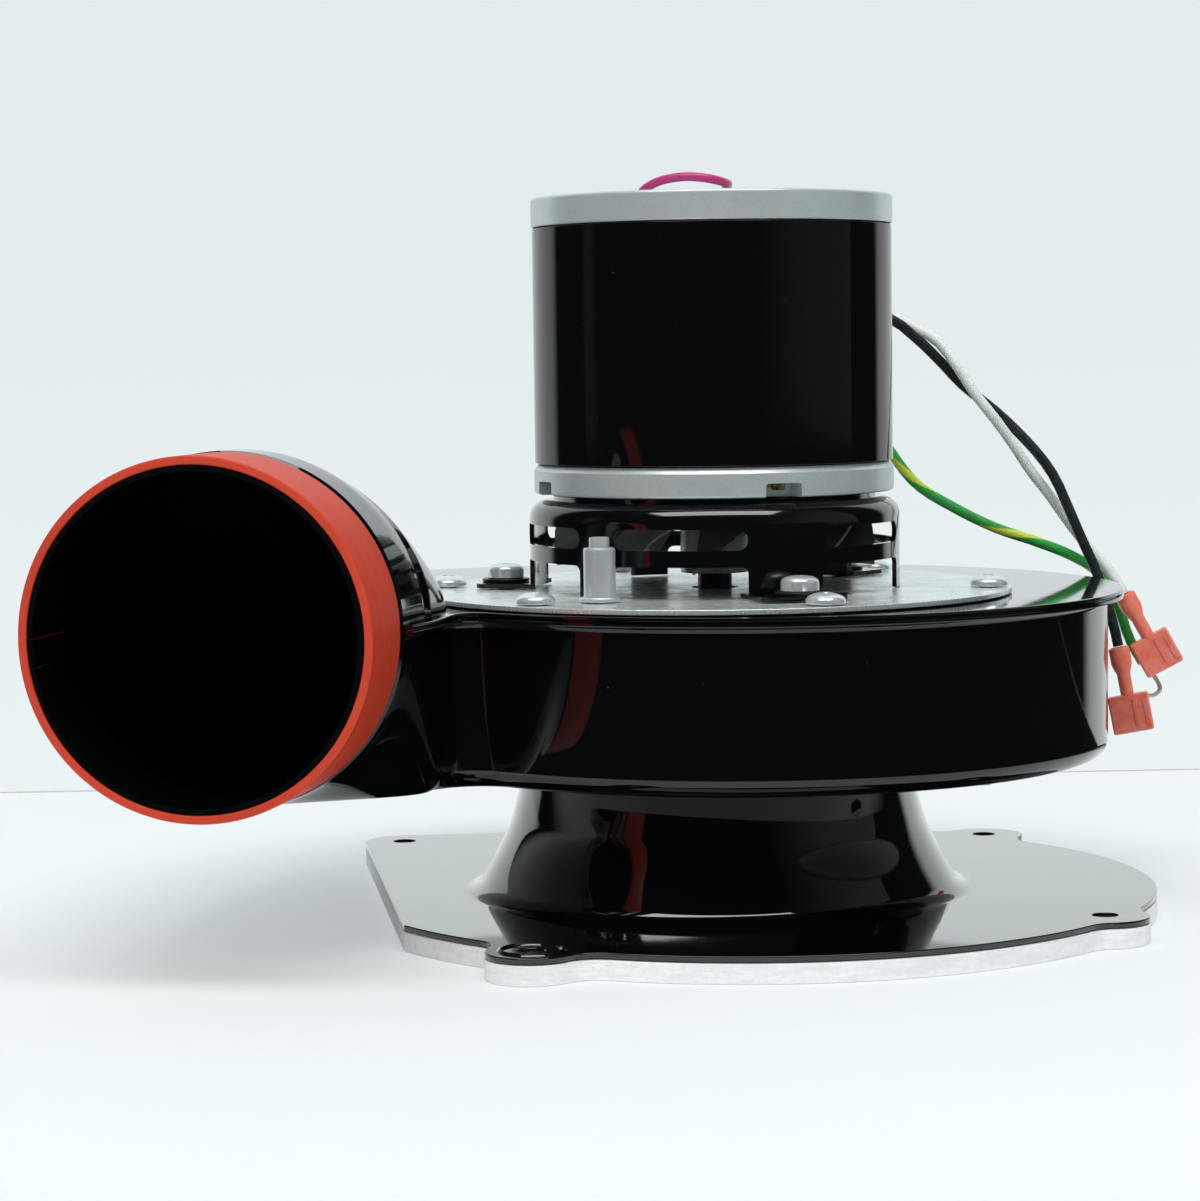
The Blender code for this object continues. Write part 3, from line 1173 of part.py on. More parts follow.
def make_caps():
    hollow = SHELL_RADIUS - RIM_SEAT
    bore = BEARING_RADIUS + FIT_GAP
    boss_low = TOP_CAP_LOW - BOSS_DEPTH
    top = MOTOR_TOP
    web_low = top - CAP_WEB
    stop = top + TOP_BOSS_RISE - SHAFT_HEADROOM / 3
    profile = [(0.0, top + TOP_BOSS_RISE), (CAP_BOSS_RADIUS, top + TOP_BOSS_RISE),
               (CAP_BOSS_RADIUS, top),
               (CAP_RADIUS - CAP_EDGE, top), (CAP_RADIUS, top - CAP_EDGE), (CAP_RADIUS, TOP_CAP_LOW),
               (hollow, TOP_CAP_LOW), (hollow, web_low),
               (CAP_BOSS_RADIUS, web_low), (CAP_BOSS_RADIUS, boss_low), (bore, boss_low),
               (bore, stop), (0.0, stop)]
    cap = solid_of(turned(profile, MOTOR_STEPS, closed=False))
    cap.name = "top cap body"
    cutters = vent_cutters(web_low - CUT_OVERRUN, top + CUT_OVERRUN)
    for place in bolt_places():
        cutters.append(rod(BOLT_RADIUS + FIT_GAP, TOP_CAP_LOW - CUT_OVERRUN,
                           top - BOLT_HEAD_HEIGHT / 2, place.x, place.y, PIN_STEPS))
    combine(cap, merged(cutters), "DIFFERENCE")
    pockets = [rod(BOLT_HEAD_RADIUS + FIT_GAP, top - BOLT_HEAD_HEIGHT - FIT_GAP,
                   top + CUT_OVERRUN, p.x, p.y, PIN_STEPS) for p in bolt_places()]
    eyes = [rod(JUMPER_EYE_RADIUS, web_low - CUT_OVERRUN, top + CUT_OVERRUN, x, y, PIN_STEPS)
            for x, y, z in (JUMPER_ROUTE[0], JUMPER_ROUTE[-1])]
    combine(cap, merged(pockets + eyes), "DIFFERENCE")
    keep(cap, "motor_top_cap", CAST_GREY)

    low = MOTOR_BOTTOM
    high = BOTTOM_CAP_TOP
    boss_low = BRACKET_TOP + FIT_GAP
    boss_high = high + BOSS_DEPTH
    foot = MOTOR_SEAT_RADIUS
    shaft_bore = SHAFT_RADIUS + FIT_GAP * 2
    lip = boss_low + SHEET
    profile = [(CAP_RADIUS - CAP_EDGE, high), (CAP_RADIUS, high - CAP_EDGE),
               (CAP_RADIUS, low + CAP_EDGE), (CAP_RADIUS - CAP_EDGE, low), (foot, low),
               (foot, boss_low), (shaft_bore, boss_low), (shaft_bore, lip), (bore, lip),
               (bore, boss_high), (CAP_BOSS_RADIUS, boss_high), (CAP_BOSS_RADIUS, low + CAP_WEB),
               (hollow, low + CAP_WEB), (hollow, high)]
    cap = solid_of(turned(profile, MOTOR_STEPS))
    cap.name = "bottom cap body"
    cutters = vent_cutters(boss_low - CUT_OVERRUN, low + CAP_WEB + CUT_OVERRUN)
    for place in bolt_places():
        cutters.append(rod(BOLT_RADIUS + FIT_GAP, low + NOTCH_HEIGHT / 2,
                           high + CUT_OVERRUN, place.x, place.y, PIN_STEPS))
    combine(cap, merged(cutters), "DIFFERENCE")
    notches = []
    for i in range(BOLT_COUNT):
        bearing = BOLT_BEARING + math.tau / BOLT_COUNT * i
        outline = round_rectangle(NOTCH_WIDTH / 2, low - CUT_OVERRUN, low + NOTCH_HEIGHT,
                                  CAP_EDGE)
        notches.append(radial_cutter(outline, CAP_RADIUS - NOTCH_DEPTH,
                                     CAP_RADIUS + CUT_OVERRUN, bearing))
    combine(cap, merged(notches), "DIFFERENCE")
    keep(cap, "motor_bottom_cap", CAST_GREY)


def make_shell():
    low = BOTTOM_CAP_TOP + FIT_GAP
    high = TOP_CAP_LOW - FIT_GAP
    shell = solid_of(turned(ring_profile(SHELL_RADIUS - SHELL_WALL, SHELL_RADIUS, low, high),
                            MOTOR_STEPS))
    shell.name = "shell tube"
    hole = rod(GROMMET_NECK_RADIUS + FIT_GAP, 0.0, CUT_OVERRUN * 4, steps=SMALL_STEPS)
    reach = SHELL_RADIUS - CUT_OVERRUN * 2
    combine(shell, placed(hole, grommet_matrix(reach)), "DIFFERENCE")
    keep(shell, "motor_shell", GLOSS_BLACK)


def make_bolts():
    for i, place in enumerate(bolt_places()):
        seat = MOTOR_TOP - BOLT_HEAD_HEIGHT
        profile = [(0.0, MOTOR_TOP), (BOLT_HEAD_RADIUS, MOTOR_TOP),
                   (BOLT_HEAD_RADIUS, seat), (BOLT_RADIUS, seat),
                   (BOLT_RADIUS, BOLT_END), (0.0, BOLT_END)]
        bolt = solid_of(turned(profile, PIN_STEPS, closed=False))
        placed(bolt, Matrix.Translation((*place, 0.0)))
        keep(bolt, "through_bolt_%d" % (i + 1), BRASS_TONE)


def make_stator():
    pole = STACK_BORE_RADIUS + SLOT_LIP
    core = turned(ring_profile(STACK_BORE_RADIUS, STACK_RADIUS, STACK_BOTTOM, STACK_TOP),
                  MOTOR_STEPS)
    core = solid_of(core)
    core.name = "stack ring"
    cutters = []
    bars = []
    for i in range(STACK_SLOTS):
        bearing = math.tau / STACK_SLOTS * i
        place = Matrix.Rotation(bearing, 4, "Z")
        middle = pole + SLOT_DEPTH / 2
        height = STACK_TOP - STACK_BOTTOM
        level = (STACK_TOP + STACK_BOTTOM) / 2
        cutters.append(block((SLOT_DEPTH, SLOT_WIDTH, height + CUT_OVERRUN * 2),
                             place @ Matrix.Translation((middle, 0.0, level))))
        bars.append(block((SLOT_DEPTH - FIT_GAP * 2, SLOT_WIDTH - FIT_GAP * 2,
                           height + END_TURN_GAP * 2 + FUSE_DEPTH * 2),
                          place @ Matrix.Translation((middle, 0.0, level))))
    combine(core, merged(cutters), "DIFFERENCE")
    keep(core, "stator_core", LAMINATION)
    inner = pole
    outer = pole + SLOT_DEPTH + SLOT_LIP
    coil = solid_of(turned(ring_profile(inner, outer, STACK_TOP + END_TURN_GAP,
                                        STACK_TOP + END_TURN_GAP + END_TURN_HEIGHT),
                           BORE_STEPS))
    coil.name = "upper turns"
    lower = solid_of(turned(ring_profile(inner, outer,
                                         STACK_BOTTOM - END_TURN_GAP - END_TURN_HEIGHT,
                                         STACK_BOTTOM - END_TURN_GAP), BORE_STEPS))
    combine(coil, merged(bars), "UNION")
    combine(coil, lower, "UNION")
    keep(coil, "stator_winding", COPPER)


def make_bearings():
    inner = SHAFT_RADIUS + FIT_GAP
    top_low = TOP_CAP_LOW - BOSS_DEPTH
    lip = BRACKET_TOP + FIT_GAP + SHEET
    for name, low in (("upper_bearing", top_low), ("lower_bearing", lip + FIT_GAP)):
        ring = turned(ring_profile(inner, BEARING_RADIUS, low, low + BEARING_LENGTH),
                      BORE_STEPS)
        keep(solid_of(ring), name, BRONZE)


# Everything that turns with the shaft


def make_rotor():
    end = SHAFT_CHAMFER
    profile = [(0.0, SHAFT_TOP), (SHAFT_RADIUS - end, SHAFT_TOP), (SHAFT_RADIUS, SHAFT_TOP - end),
               (SHAFT_RADIUS, SHAFT_LOW + end), (SHAFT_RADIUS - end, SHAFT_LOW), (0.0, SHAFT_LOW)]
    keep(solid_of(turned(profile, BORE_STEPS, closed=False)), "rotor_shaft", BLACK_OXIDE)
    bore = SHAFT_RADIUS + FIT_GAP
    low = STACK_BOTTOM
    high = STACK_TOP
    step = ROTOR_RADIUS - END_RING_WIDTH
    profile = [(step, high + ROTOR_OVERHANG), (ROTOR_RADIUS, high + ROTOR_OVERHANG),
               (ROTOR_RADIUS, low - ROTOR_OVERHANG), (step, low - ROTOR_OVERHANG), (step, low),
               (bore, low), (bore, high), (step, high)]
    keep(solid_of(turned(profile, BORE_STEPS)), "rotor_core", LAMINATION)


def make_fan():
    bore = SHAFT_RADIUS + FIT_GAP
    top = FAN_HUB_HIGH
    disc_low = top - FAN_SHEET
    hub = turned([(FAN_DISC_RADIUS, top), (FAN_DISC_RADIUS, disc_low), (FAN_HUB_RADIUS, disc_low),
                  (FAN_HUB_RADIUS, FAN_HUB_LOW), (bore, FAN_HUB_LOW), (bore, top)],
                 BORE_STEPS)
    hub = solid_of(hub)
    hub.name = "fan hub"
    blades = []
    root = FAN_DISC_RADIUS - CUT_OVERRUN
    for i in range(FAN_BLADES):
        rings = []
        for share in (0.0, FAN_TWIST_SHARE, 1.0):
            reach = root + (FAN_RADIUS - root) * share
            twist = min(1.0, share / FAN_TWIST_SHARE)
            pitch = FAN_PITCH * twist
            width = FAN_BLADE_WIDTH / 2 * min(1.0, FAN_ROOT_WIDTH_SHARE + share)
            width += (FAN_BLADE_TIP_WIDTH - FAN_BLADE_WIDTH) / 2 * share
            drop = (FAN_BLADE_HEIGHT - FAN_SHEET) / 2 * twist
            ring = []
            for across, thick in ((-1, -1), (1, -1), (1, 1), (-1, 1)):
                side = across * width
                height = thick * FAN_SHEET / 2
                y = side * math.cos(pitch) - height * math.sin(pitch)
                z = side * math.sin(pitch) + height * math.cos(pitch)
                ring.append((reach, y, disc_low + FAN_SHEET / 2 - drop + z))
            rings.append(ring)
        blade = loft(rings)
        blades.append(placed(blade, Matrix.Rotation(math.tau / FAN_BLADES * i, 4, "Z")))
    combine(hub, merged(blades), "UNION")
    trim = [block((FAN_RADIUS * 3, FAN_RADIUS * 3, FAN_RADIUS),
                  Matrix.Translation((0.0, 0.0, top + FAN_RADIUS / 2)))]
    combine(hub, merged(trim), "DIFFERENCE")
    keep(hub, "cooling_fan", FAN_GREY)


def make_wheel():
    back_low = WHEEL_HIGH - WHEEL_SHEET
    seat = WHEEL_HUB_RADIUS + FIT_GAP
    back = turned([(WHEEL_RADIUS, WHEEL_HIGH), (WHEEL_RADIUS, back_low), (seat, back_low),
                   (seat, WHEEL_HIGH)], TURN_STEPS)
    back = solid_of(back)
    back.name = "wheel back"
    front = turned([(WHEEL_RADIUS, WHEEL_LOW + WHEEL_SHEET), (WHEEL_RADIUS, WHEEL_LOW),
                    (WHEEL_EYE_RADIUS + WHEEL_SHEET, WHEEL_LOW),
                    (WHEEL_EYE_RADIUS + WHEEL_SHEET, WHEEL_LOW - WHEEL_EYE_LIP),
                    (WHEEL_EYE_RADIUS, WHEEL_LOW - WHEEL_EYE_LIP),
                    (WHEEL_EYE_RADIUS, WHEEL_LOW + WHEEL_SHEET)], TURN_STEPS)
    blades = []
    low = WHEEL_LOW + WHEEL_SHEET / 2
    high = back_low + WHEEL_SHEET / 2
    length = WHEEL_RADIUS - SHEET - WHEEL_BLADE_INNER_RADIUS
    for i in range(WHEEL_BLADES):
        start = math.tau / WHEEL_BLADES * i
        left = []
        right = []
        for k in range(BLADE_STEPS + 1):
            share = k / BLADE_STEPS
            reach = WHEEL_BLADE_INNER_RADIUS + length * share
            bearing = start - BLADE_SWEEP * share ** BLADE_CURL_SHARE
            half = WHEEL_SHEET / 2 / reach
            left.append(polar(reach, bearing + half))
            right.append(polar(reach, bearing - half))
        loop = left + list(reversed(right))
        rings = [[(p.x, p.y, z) for p in loop] for z in (low, high)]
        blades.append(loft(rings))
    combine(back, merged(blades), "UNION")
    combine(back, solid_of(front), "UNION")
    keep(back, "impeller", ZINC)
    bore = SHAFT_RADIUS + FIT_GAP
    collar = WHEEL_HIGH + FIT_GAP
    under = back_low - FIT_GAP
    profile = [(WHEEL_SEAT_RADIUS, under), (WHEEL_SEAT_RADIUS, under - HUB_COLLAR_HEIGHT),
               (WHEEL_HUB_RADIUS, under - HUB_COLLAR_HEIGHT), (WHEEL_HUB_RADIUS, HUB_LOW),
               (bore, HUB_LOW), (bore, collar), (WHEEL_HUB_RADIUS, collar),
               (WHEEL_HUB_RADIUS, under)]
    hub = solid_of(turned(profile, BORE_STEPS))
    hub.name = "hub body"
    tunnel = rod(SET_SCREW_RADIUS + FIT_GAP, SHAFT_RADIUS, WHEEL_HUB_RADIUS + CUT_OVERRUN,
                 steps=PIN_STEPS)
    across = Matrix.Translation((0.0, 0.0, SET_SCREW_HEIGHT)) @ Matrix.Rotation(math.pi / 2, 4, "Y")
    combine(hub, placed(tunnel, across), "DIFFERENCE")
    keep(hub, "impeller_hub", ZINC)
    screw = rod(SET_SCREW_RADIUS, SHAFT_RADIUS + FIT_GAP, WHEEL_HUB_RADIUS + SHEET / 2,
                steps=PIN_STEPS)
    screw.name = "grub body"
    socket = rod(SET_SCREW_SOCKET, WHEEL_HUB_RADIUS - SHEET, WHEEL_HUB_RADIUS + CUT_OVERRUN,
                 steps=6)
    combine(placed(screw, across), placed(socket, across), "DIFFERENCE")
    keep(screw, "hub_set_screw", BLACK_OXIDE)


# Grommet, leads and flag terminals


def grommet_matrix(reach):
    """Puts a piece made up Z on the back of the shell, pointing outward."""
    turn = Matrix.Rotation(GROMMET_BEARING, 4, "Z") @ Matrix.Rotation(math.pi / 2, 4, "Y")
    place = polar(reach, GROMMET_BEARING)
    return Matrix.Translation((place.x, place.y, GROMMET_HEIGHT)) @ turn


def make_grommet():
    flange = SHELL_RADIUS + FIT_GAP
    neck_low = SHELL_RADIUS - GROMMET_INSET
    edge = GROMMET_PROUD / 4
    profile = [(0.0, flange + GROMMET_PROUD), (GROMMET_RADIUS - edge, flange + GROMMET_PROUD),
               (GROMMET_RADIUS, flange + GROMMET_PROUD - edge), (GROMMET_RADIUS, flange),
               (GROMMET_NECK_RADIUS, flange), (GROMMET_NECK_RADIUS, neck_low), (0.0, neck_low)]
    grommet = solid_of(turned(profile, BORE_STEPS, closed=False))
    keep(placed(grommet, grommet_matrix(0.0)), "lead_grommet", RUBBER)


LEAD_FACE = SHELL_RADIUS + FIT_GAP + GROMMET_PROUD + FIT_GAP


def lead_start(sideways, lift):
    """Where a lead leaves the grommet, and a second point straight out of it."""
    out = Vector((math.cos(GROMMET_BEARING), math.sin(GROMMET_BEARING), 0.0))
    side = Vector((math.sin(GROMMET_BEARING), -math.cos(GROMMET_BEARING), 0.0))
    start = out * LEAD_FACE + side * sideways + Vector((0.0, 0.0, GROMMET_HEIGHT + lift))
    return [tuple(start), tuple(start + out * GROMMET_INSET)]


def hung(points):
    """Points of a lead, given by their height above or below the grommet."""
    return [(x, y, GROMMET_HEIGHT + rise) for x, y, rise in points]


BLACK_ROUTE = lead_start(LEAD_SPACING, LEAD_SPACING) + hung([
    (0.0340, 0.0540, 0.0080), (0.0480, 0.0540, 0.0062), (0.0545, 0.0540, 0.0014),
    (0.0608, 0.0540, -0.0047), (0.0663, 0.0540, -0.0106), (0.0757, 0.0538, -0.0183),
    (0.0844, 0.0510, -0.0276), (0.0885, 0.0490, -0.0337), (0.0916, 0.0470, -0.0412),
    (0.0947, 0.0452, -0.0491), (0.0980, 0.0435, -0.0571), (0.1006, 0.0412, -0.0661),
    (0.1019, 0.0398, -0.0713), (0.1027, 0.0390, -0.0757)])
WHITE_ROUTE = lead_start(-LEAD_SPACING, LEAD_SPACING) + hung([
    (0.0330, 0.0590, 0.0080), (0.0470, 0.0585, 0.0085), (0.0550, 0.0565, 0.0048),
    (0.0604, 0.0538, 0.0000), (0.0650, 0.0508, -0.0066), (0.0690, 0.0490, -0.0132),
    (0.0737, 0.0488, -0.0192), (0.0784, 0.0497, -0.0256), (0.0829, 0.0512, -0.0322),
    (0.0878, 0.0522, -0.0384), (0.0920, 0.0522, -0.0444), (0.0957, 0.0508, -0.0496),
    (0.0993, 0.0489, -0.0538), (0.1028, 0.0473, -0.0584), (0.1056, 0.0468, -0.0632)])
GROUND_ROUTE = lead_start(0.0, -LEAD_SPACING) + hung([
    (0.0340, 0.0520, -0.0100), (0.0450, 0.0520, -0.0230), (0.0540, 0.0510, -0.0350),
    (0.0640, 0.0500, -0.0415), (0.0740, 0.0495, -0.0465), (0.0840, 0.0490, -0.0500),
    (0.0930, 0.0495, -0.0537), (0.1000, 0.0515, -0.0582), (0.1050, 0.0525, -0.0660),
    (0.1080, 0.0520, -0.0750), (0.1110, 0.0500, -0.0810)])
STRAND_ROUTE = hung([
    (0.1113, 0.0499, -0.0815), (0.1140, 0.0490, -0.0848), (0.1150, 0.0482, -0.0875),
    (0.1135, 0.0478, -0.0890), (0.1105, 0.0478, -0.0890)])
JUMPER_ROUTE = [(x, y, MOTOR_TOP + rise) for x, y, rise in (
    (-0.0160, 0.0040, -0.0028), (-0.0160, 0.0040, 0.0012), (-0.0131, 0.0022, 0.0034),
    (-0.0095, 0.0004, 0.0044), (-0.0049, -0.0012, 0.0047), (0.0002, -0.0008, 0.0041),
    (0.0036, 0.0030, 0.0034), (0.0046, 0.0085, 0.0031), (0.0042, 0.0150, 0.0013),
    (0.0042, 0.0152, -0.0028))]


def smooth_route(points, count):
    """Even points along a smooth curve through the route's own points."""
    nodes = np.array(points, dtype=float)
    spans = np.linalg.norm(np.diff(nodes, axis=0), axis=1)
    knots = np.concatenate([[0.0], np.cumsum(np.sqrt(spans))])
    slopes = np.gradient(nodes, knots, axis=0)
    dense = []
    for i in range(len(nodes) - 1):
        width = knots[i + 1] - knots[i]
        for share in np.linspace(0.0, 1.0, ROUTE_SAMPLES, endpoint=False):
            a = 2 * share ** 3 - 3 * share ** 2 + 1
            b = share ** 3 - 2 * share ** 2 + share
            c = 3 * share ** 2 - 2 * share ** 3
            d = share ** 3 - share ** 2
            dense.append(a * nodes[i] + b * width * slopes[i]
                         + c * nodes[i + 1] + d * width * slopes[i + 1])
    dense.append(nodes[-1])
    dense = np.array(dense)
    run = np.concatenate([[0.0], np.cumsum(np.linalg.norm(np.diff(dense, axis=0), axis=1))])
    even = np.linspace(0.0, run[-1], count)
    return np.stack([np.interp(even, run, dense[:, k]) for k in range(3)], axis=1)


def make_lead(name, route, radius, recipe, count):
    line = bpy.data.curves.new(name, "CURVE")
    line.dimensions = "3D"
    line.bevel_depth = radius
    line.bevel_resolution = LEAD_BEVEL_STEPS
    line.use_fill_caps = True
    spline = line.splines.new("POLY")
    points = smooth_route(route, count)
    spline.points.add(len(points) - 1)
    for point, place in zip(spline.points, points):
        point.co = (*place, 1.0)
    piece = bpy.data.objects.new(name, line)
    weld = piece.modifiers.new("caps", "WELD")
    weld.merge_threshold = WELD_DISTANCE
    keep(piece, name, recipe)


def make_flag(name, tip, direction, face, recipe):
    """A flag terminal: barrel round the lead, neck, and the flat housing set square to it."""
    down = Vector(direction).normalized()
    flat = Vector(face)
    flat = (flat - down * flat.dot(down)).normalized()
    side = down.cross(flat)
    frame = Matrix((side, flat, -down)).transposed().to_4x4()
    place = Matrix.Translation(Vector(tip)) @ frame
    barrel = FLAG_BARREL_RADIUS
    profile = [(0.0, -FIT_GAP), (barrel * FLAG_RIM_WIDTH_SHARE, -FIT_GAP),
               (barrel, -barrel * FLAG_RIM_LENGTH_SHARE),
               (barrel, -FLAG_BARREL_LENGTH * FLAG_CRIMP_SHARE),
               (FLAG_NECK_RADIUS, -FLAG_BARREL_LENGTH),
               (FLAG_NECK_RADIUS, -FLAG_BARREL_LENGTH - FLAG_NECK_LENGTH - FUSE_DEPTH),
               (0.0, -FLAG_BARREL_LENGTH - FLAG_NECK_LENGTH - FUSE_DEPTH)]
    stem = solid_of(turned(profile, SMALL_STEPS, closed=False))
    stem.name = "flag stem"
    top = -FLAG_BARREL_LENGTH - FLAG_NECK_LENGTH
    body = block((FLAG_WIDTH, FLAG_THICKNESS, FLAG_LENGTH),
                 Matrix.Translation((0.0, 0.0, top - FLAG_LENGTH / 2)))
    bevel = body.modifiers.new("eased", "BEVEL")
    bevel.width = FLAG_EDGE
    bevel.segments = 1
    combine(stem, solid_of(body), "UNION")
    mouth = block((FLAG_MOUTH_DEPTH * 2, FLAG_MOUTH_HEIGHT, FLAG_MOUTH_WIDTH),
                  Matrix.Translation((FLAG_WIDTH / 2, 0.0, top - FLAG_LENGTH / 2)))
    combine(stem, mouth, "DIFFERENCE")
    placed(stem, place)
    for step in stem.modifiers:
        placed(step.object, place)
    keep(stem, name, recipe)


def make_leads():
    make_lead("jumper_lead", JUMPER_ROUTE, JUMPER_RADIUS, LEAD_PINK, JUMPER_POINTS)
    make_lead("black_lead", BLACK_ROUTE, LEAD_RADIUS, LEAD_BLACK, ROUTE_POINTS)
    make_lead("white_lead", WHITE_ROUTE, LEAD_RADIUS, LEAD_WHITE, ROUTE_POINTS)
    make_lead("ground_lead", GROUND_ROUTE, LEAD_RADIUS, LEAD_GREEN, ROUTE_POINTS)
    make_lead("ground_strand", STRAND_ROUTE, STRAND_RADIUS, STRAND, STRAND_POINTS)
    make_flag("black_flag", BLACK_ROUTE[-1], BLACK_FLAG_SHARES, FLAG_FACE_SHARES, NYLON_RED)
    make_flag("white_flag", WHITE_ROUTE[-1], WHITE_FLAG_SHARES, FLAG_FACE_SHARES, NYLON_RED)


def centre_footprint():
    """Moves everything so that the middle of the fixed pieces' footprint is at the origin."""
    bpy.context.view_layer.update()
    graph = bpy.context.evaluated_depsgraph_get()
    free = ("black_lead", "white_lead", "ground_lead", "ground_strand", "black_flag", "white_flag")
    places = []
    for piece in SOLIDS.objects:
        if piece.name not in free:
            shown = piece.evaluated_get(graph).to_mesh()
            places += [piece.matrix_world @ vertex.co for vertex in shown.vertices]
    reach = np.array([tuple(place) for place in places])
    middle = (reach.min(axis=0) + reach.max(axis=0)) / 2
    for piece in list(SOLIDS.objects) + list(CUTTERS.objects):
        piece.location.x -= float(middle[0])
        piece.location.y -= float(middle[1])


make_base()
make_pan()
make_cover()
make_sleeve()
make_motor_plate()
make_plate_screws()
make_tap()
make_bracket()
make_foot_fasteners()
make_shell()
make_caps()
make_bolts()
make_stator()
make_bearings()
make_grommet()
make_rotor()
make_fan()
make_wheel()
make_leads()
centre_footprint()
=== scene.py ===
"""Furnace draft inducer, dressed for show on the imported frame. Metres, +Z up.

Every piece is made about the motor axis and then moved sideways to where the frame has it.
"""
import math

import bmesh
import bpy
import numpy as np
from mathutils import Matrix, Vector


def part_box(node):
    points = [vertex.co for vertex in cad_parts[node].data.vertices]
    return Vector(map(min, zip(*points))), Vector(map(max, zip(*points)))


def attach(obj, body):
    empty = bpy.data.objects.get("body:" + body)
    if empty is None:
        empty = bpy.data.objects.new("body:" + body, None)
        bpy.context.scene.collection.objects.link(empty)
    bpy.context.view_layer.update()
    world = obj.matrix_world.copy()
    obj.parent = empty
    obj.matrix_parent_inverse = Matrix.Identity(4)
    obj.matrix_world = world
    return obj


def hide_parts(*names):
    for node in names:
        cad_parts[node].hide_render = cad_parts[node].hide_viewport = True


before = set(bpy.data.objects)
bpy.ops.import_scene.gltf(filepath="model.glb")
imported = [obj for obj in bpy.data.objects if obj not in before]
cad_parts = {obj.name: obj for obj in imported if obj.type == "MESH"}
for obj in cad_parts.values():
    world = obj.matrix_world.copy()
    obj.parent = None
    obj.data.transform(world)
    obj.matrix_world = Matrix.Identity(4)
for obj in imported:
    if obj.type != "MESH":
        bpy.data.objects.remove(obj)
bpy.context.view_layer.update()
SHAFT_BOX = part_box("rotor_shaft")
MOTOR_AXIS = (Vector(SHAFT_BOX[0]) + Vector(SHAFT_BOX[1])) / 2
MOTOR_AXIS.z = 0.0

# The camera stands three quarters of a metre in front of the motor, a little to its left and
# just above the scroll, and looks slightly down. A long lens keeps the uprights parallel.
CAMERA_PLACE = Vector((-0.052451, -0.765350, 0.131445)) + MOTOR_AXIS
CAMERA_YAW = 0.0332
CAMERA_PITCH = 0.0754
CAMERA_ROLL = -0.0132
FOCAL_LENGTH = 98.26
ahead = Vector((math.sin(CAMERA_YAW) * math.cos(CAMERA_PITCH),
                math.cos(CAMERA_YAW) * math.cos(CAMERA_PITCH), -math.sin(CAMERA_PITCH)))
level_right = Vector((math.cos(CAMERA_YAW), -math.sin(CAMERA_YAW), 0.0))
level_up = level_right.cross(ahead)
right = level_right * math.cos(CAMERA_ROLL) + level_up * math.sin(CAMERA_ROLL)
up = level_up * math.cos(CAMERA_ROLL) - level_right * math.sin(CAMERA_ROLL)
lens = bpy.data.cameras.new("Camera")
lens.sensor_width = 36.0
lens.sensor_fit = "HORIZONTAL"
lens.lens = FOCAL_LENGTH
lens.clip_start = 0.02
lens.clip_end = 50.0
camera = bpy.data.objects.new("Camera", lens)
bpy.context.scene.collection.objects.link(camera)
camera_turn = Matrix((right, up, -ahead)).transposed().to_4x4()
camera.matrix_world = Matrix.Translation(CAMERA_PLACE) @ camera_turn
bpy.context.scene.camera = camera
bpy.context.scene.view_settings.view_transform = "Standard"


# The object stands on a pale board in front of a pale wall. The room behind the camera is dark
# where gloss black mirrors it, and soft light from all round and above falls on the object.
FLOOR_COLOUR = (0.90, 0.925, 0.93)
FLOOR_SHOWN = (0.830, 0.893, 0.910)
FLOOR_SHARE = 0.5
FLOOR_LIT = (0.21, 0.31)
WALL_COLOUR = (0.78, 0.84, 0.85)
WALL_SHOWN = ((0.825, 0.900, 0.905), (0.770, 0.836, 0.852))
WALL_LIT = (0.42, 0.52)
WALL_PLACE = Vector((0.0, 0.2355, 0.0)) + MOTOR_AXIS
WALL_TURN = 0.0155
WALL_HEIGHT = 3.0
STAGE_REACH = 4.0
SHOWN_RISE = 0.16
UNLIT_MIRROR = (0.010, 0.011, 0.012)
EDGE_COLOUR = (0.66, 0.62, 0.54)
EDGE_HEIGHT = 0.0004
LAMP_PLACE = Vector((0.0, -0.43, 1.15))
LAMP_AIM = Vector((0.0, 0.0, 0.08))
LAMP_SIZE = (1.15, 0.50)
LAMP_POWER = 10.0
ROOM_FILL = (0.94, 0.985, 1.0)
ROOM_SEEN = (0.80, 0.87, 0.88)
ROOM_DARK = (0.006, 0.007, 0.0075)
ROOM_RIGHT = (0.13, 0.145, 0.15)
ROOM_STRIP = (0.11, 0.115, 0.10)
ROOM_BACK = (0.70, 0.76, 0.77)


def new_material(name, colour, metallic=0.0, roughness=0.5):
    """A material with its plain values on the shader itself."""
    made = bpy.data.materials.new(name)
    made.use_nodes = True
    shader = made.node_tree.nodes["Principled BSDF"]
    shader.inputs["Base Color"].default_value = (*colour, 1.0)
    shader.inputs["Metallic"].default_value = metallic
    shader.inputs["Roughness"].default_value = roughness
    return made, made.node_tree, shader


def add(tree, kind, settings=None, **values):
    """A node with its settings, and its inputs given by name, _ for a space."""
    node = tree.nodes.new(kind)
    for key, value in (settings or {}).items():
        setattr(node, key, value)
    for key, value in values.items():
        node.inputs[key.replace("_", " ")].default_value = value
    return node


def feed(tree, socket, value):
    """Puts a value on a socket: another socket, a colour or a plain number."""
    if isinstance(value, tuple):
        socket.default_value = (*value, 1.0)
    elif isinstance(value, (int, float)):
        socket.default_value = value
    else:
        tree.links.new(value, socket)


def joined(tree, kind, settings, inputs, values):
    """A node whose inputs, by name or number, take the values in turn."""
    node = add(tree, kind, settings)
    for key, value in zip(inputs, values):
        feed(tree, node.inputs[key], value)
    return node.outputs


def pattern(tree, kind, spot, settings=None, **values):
    """A texture or other node that reads a place."""
    node = add(tree, kind, settings, **values)
    tree.links.new(spot, node.inputs["Vector"])
    return node.outputs


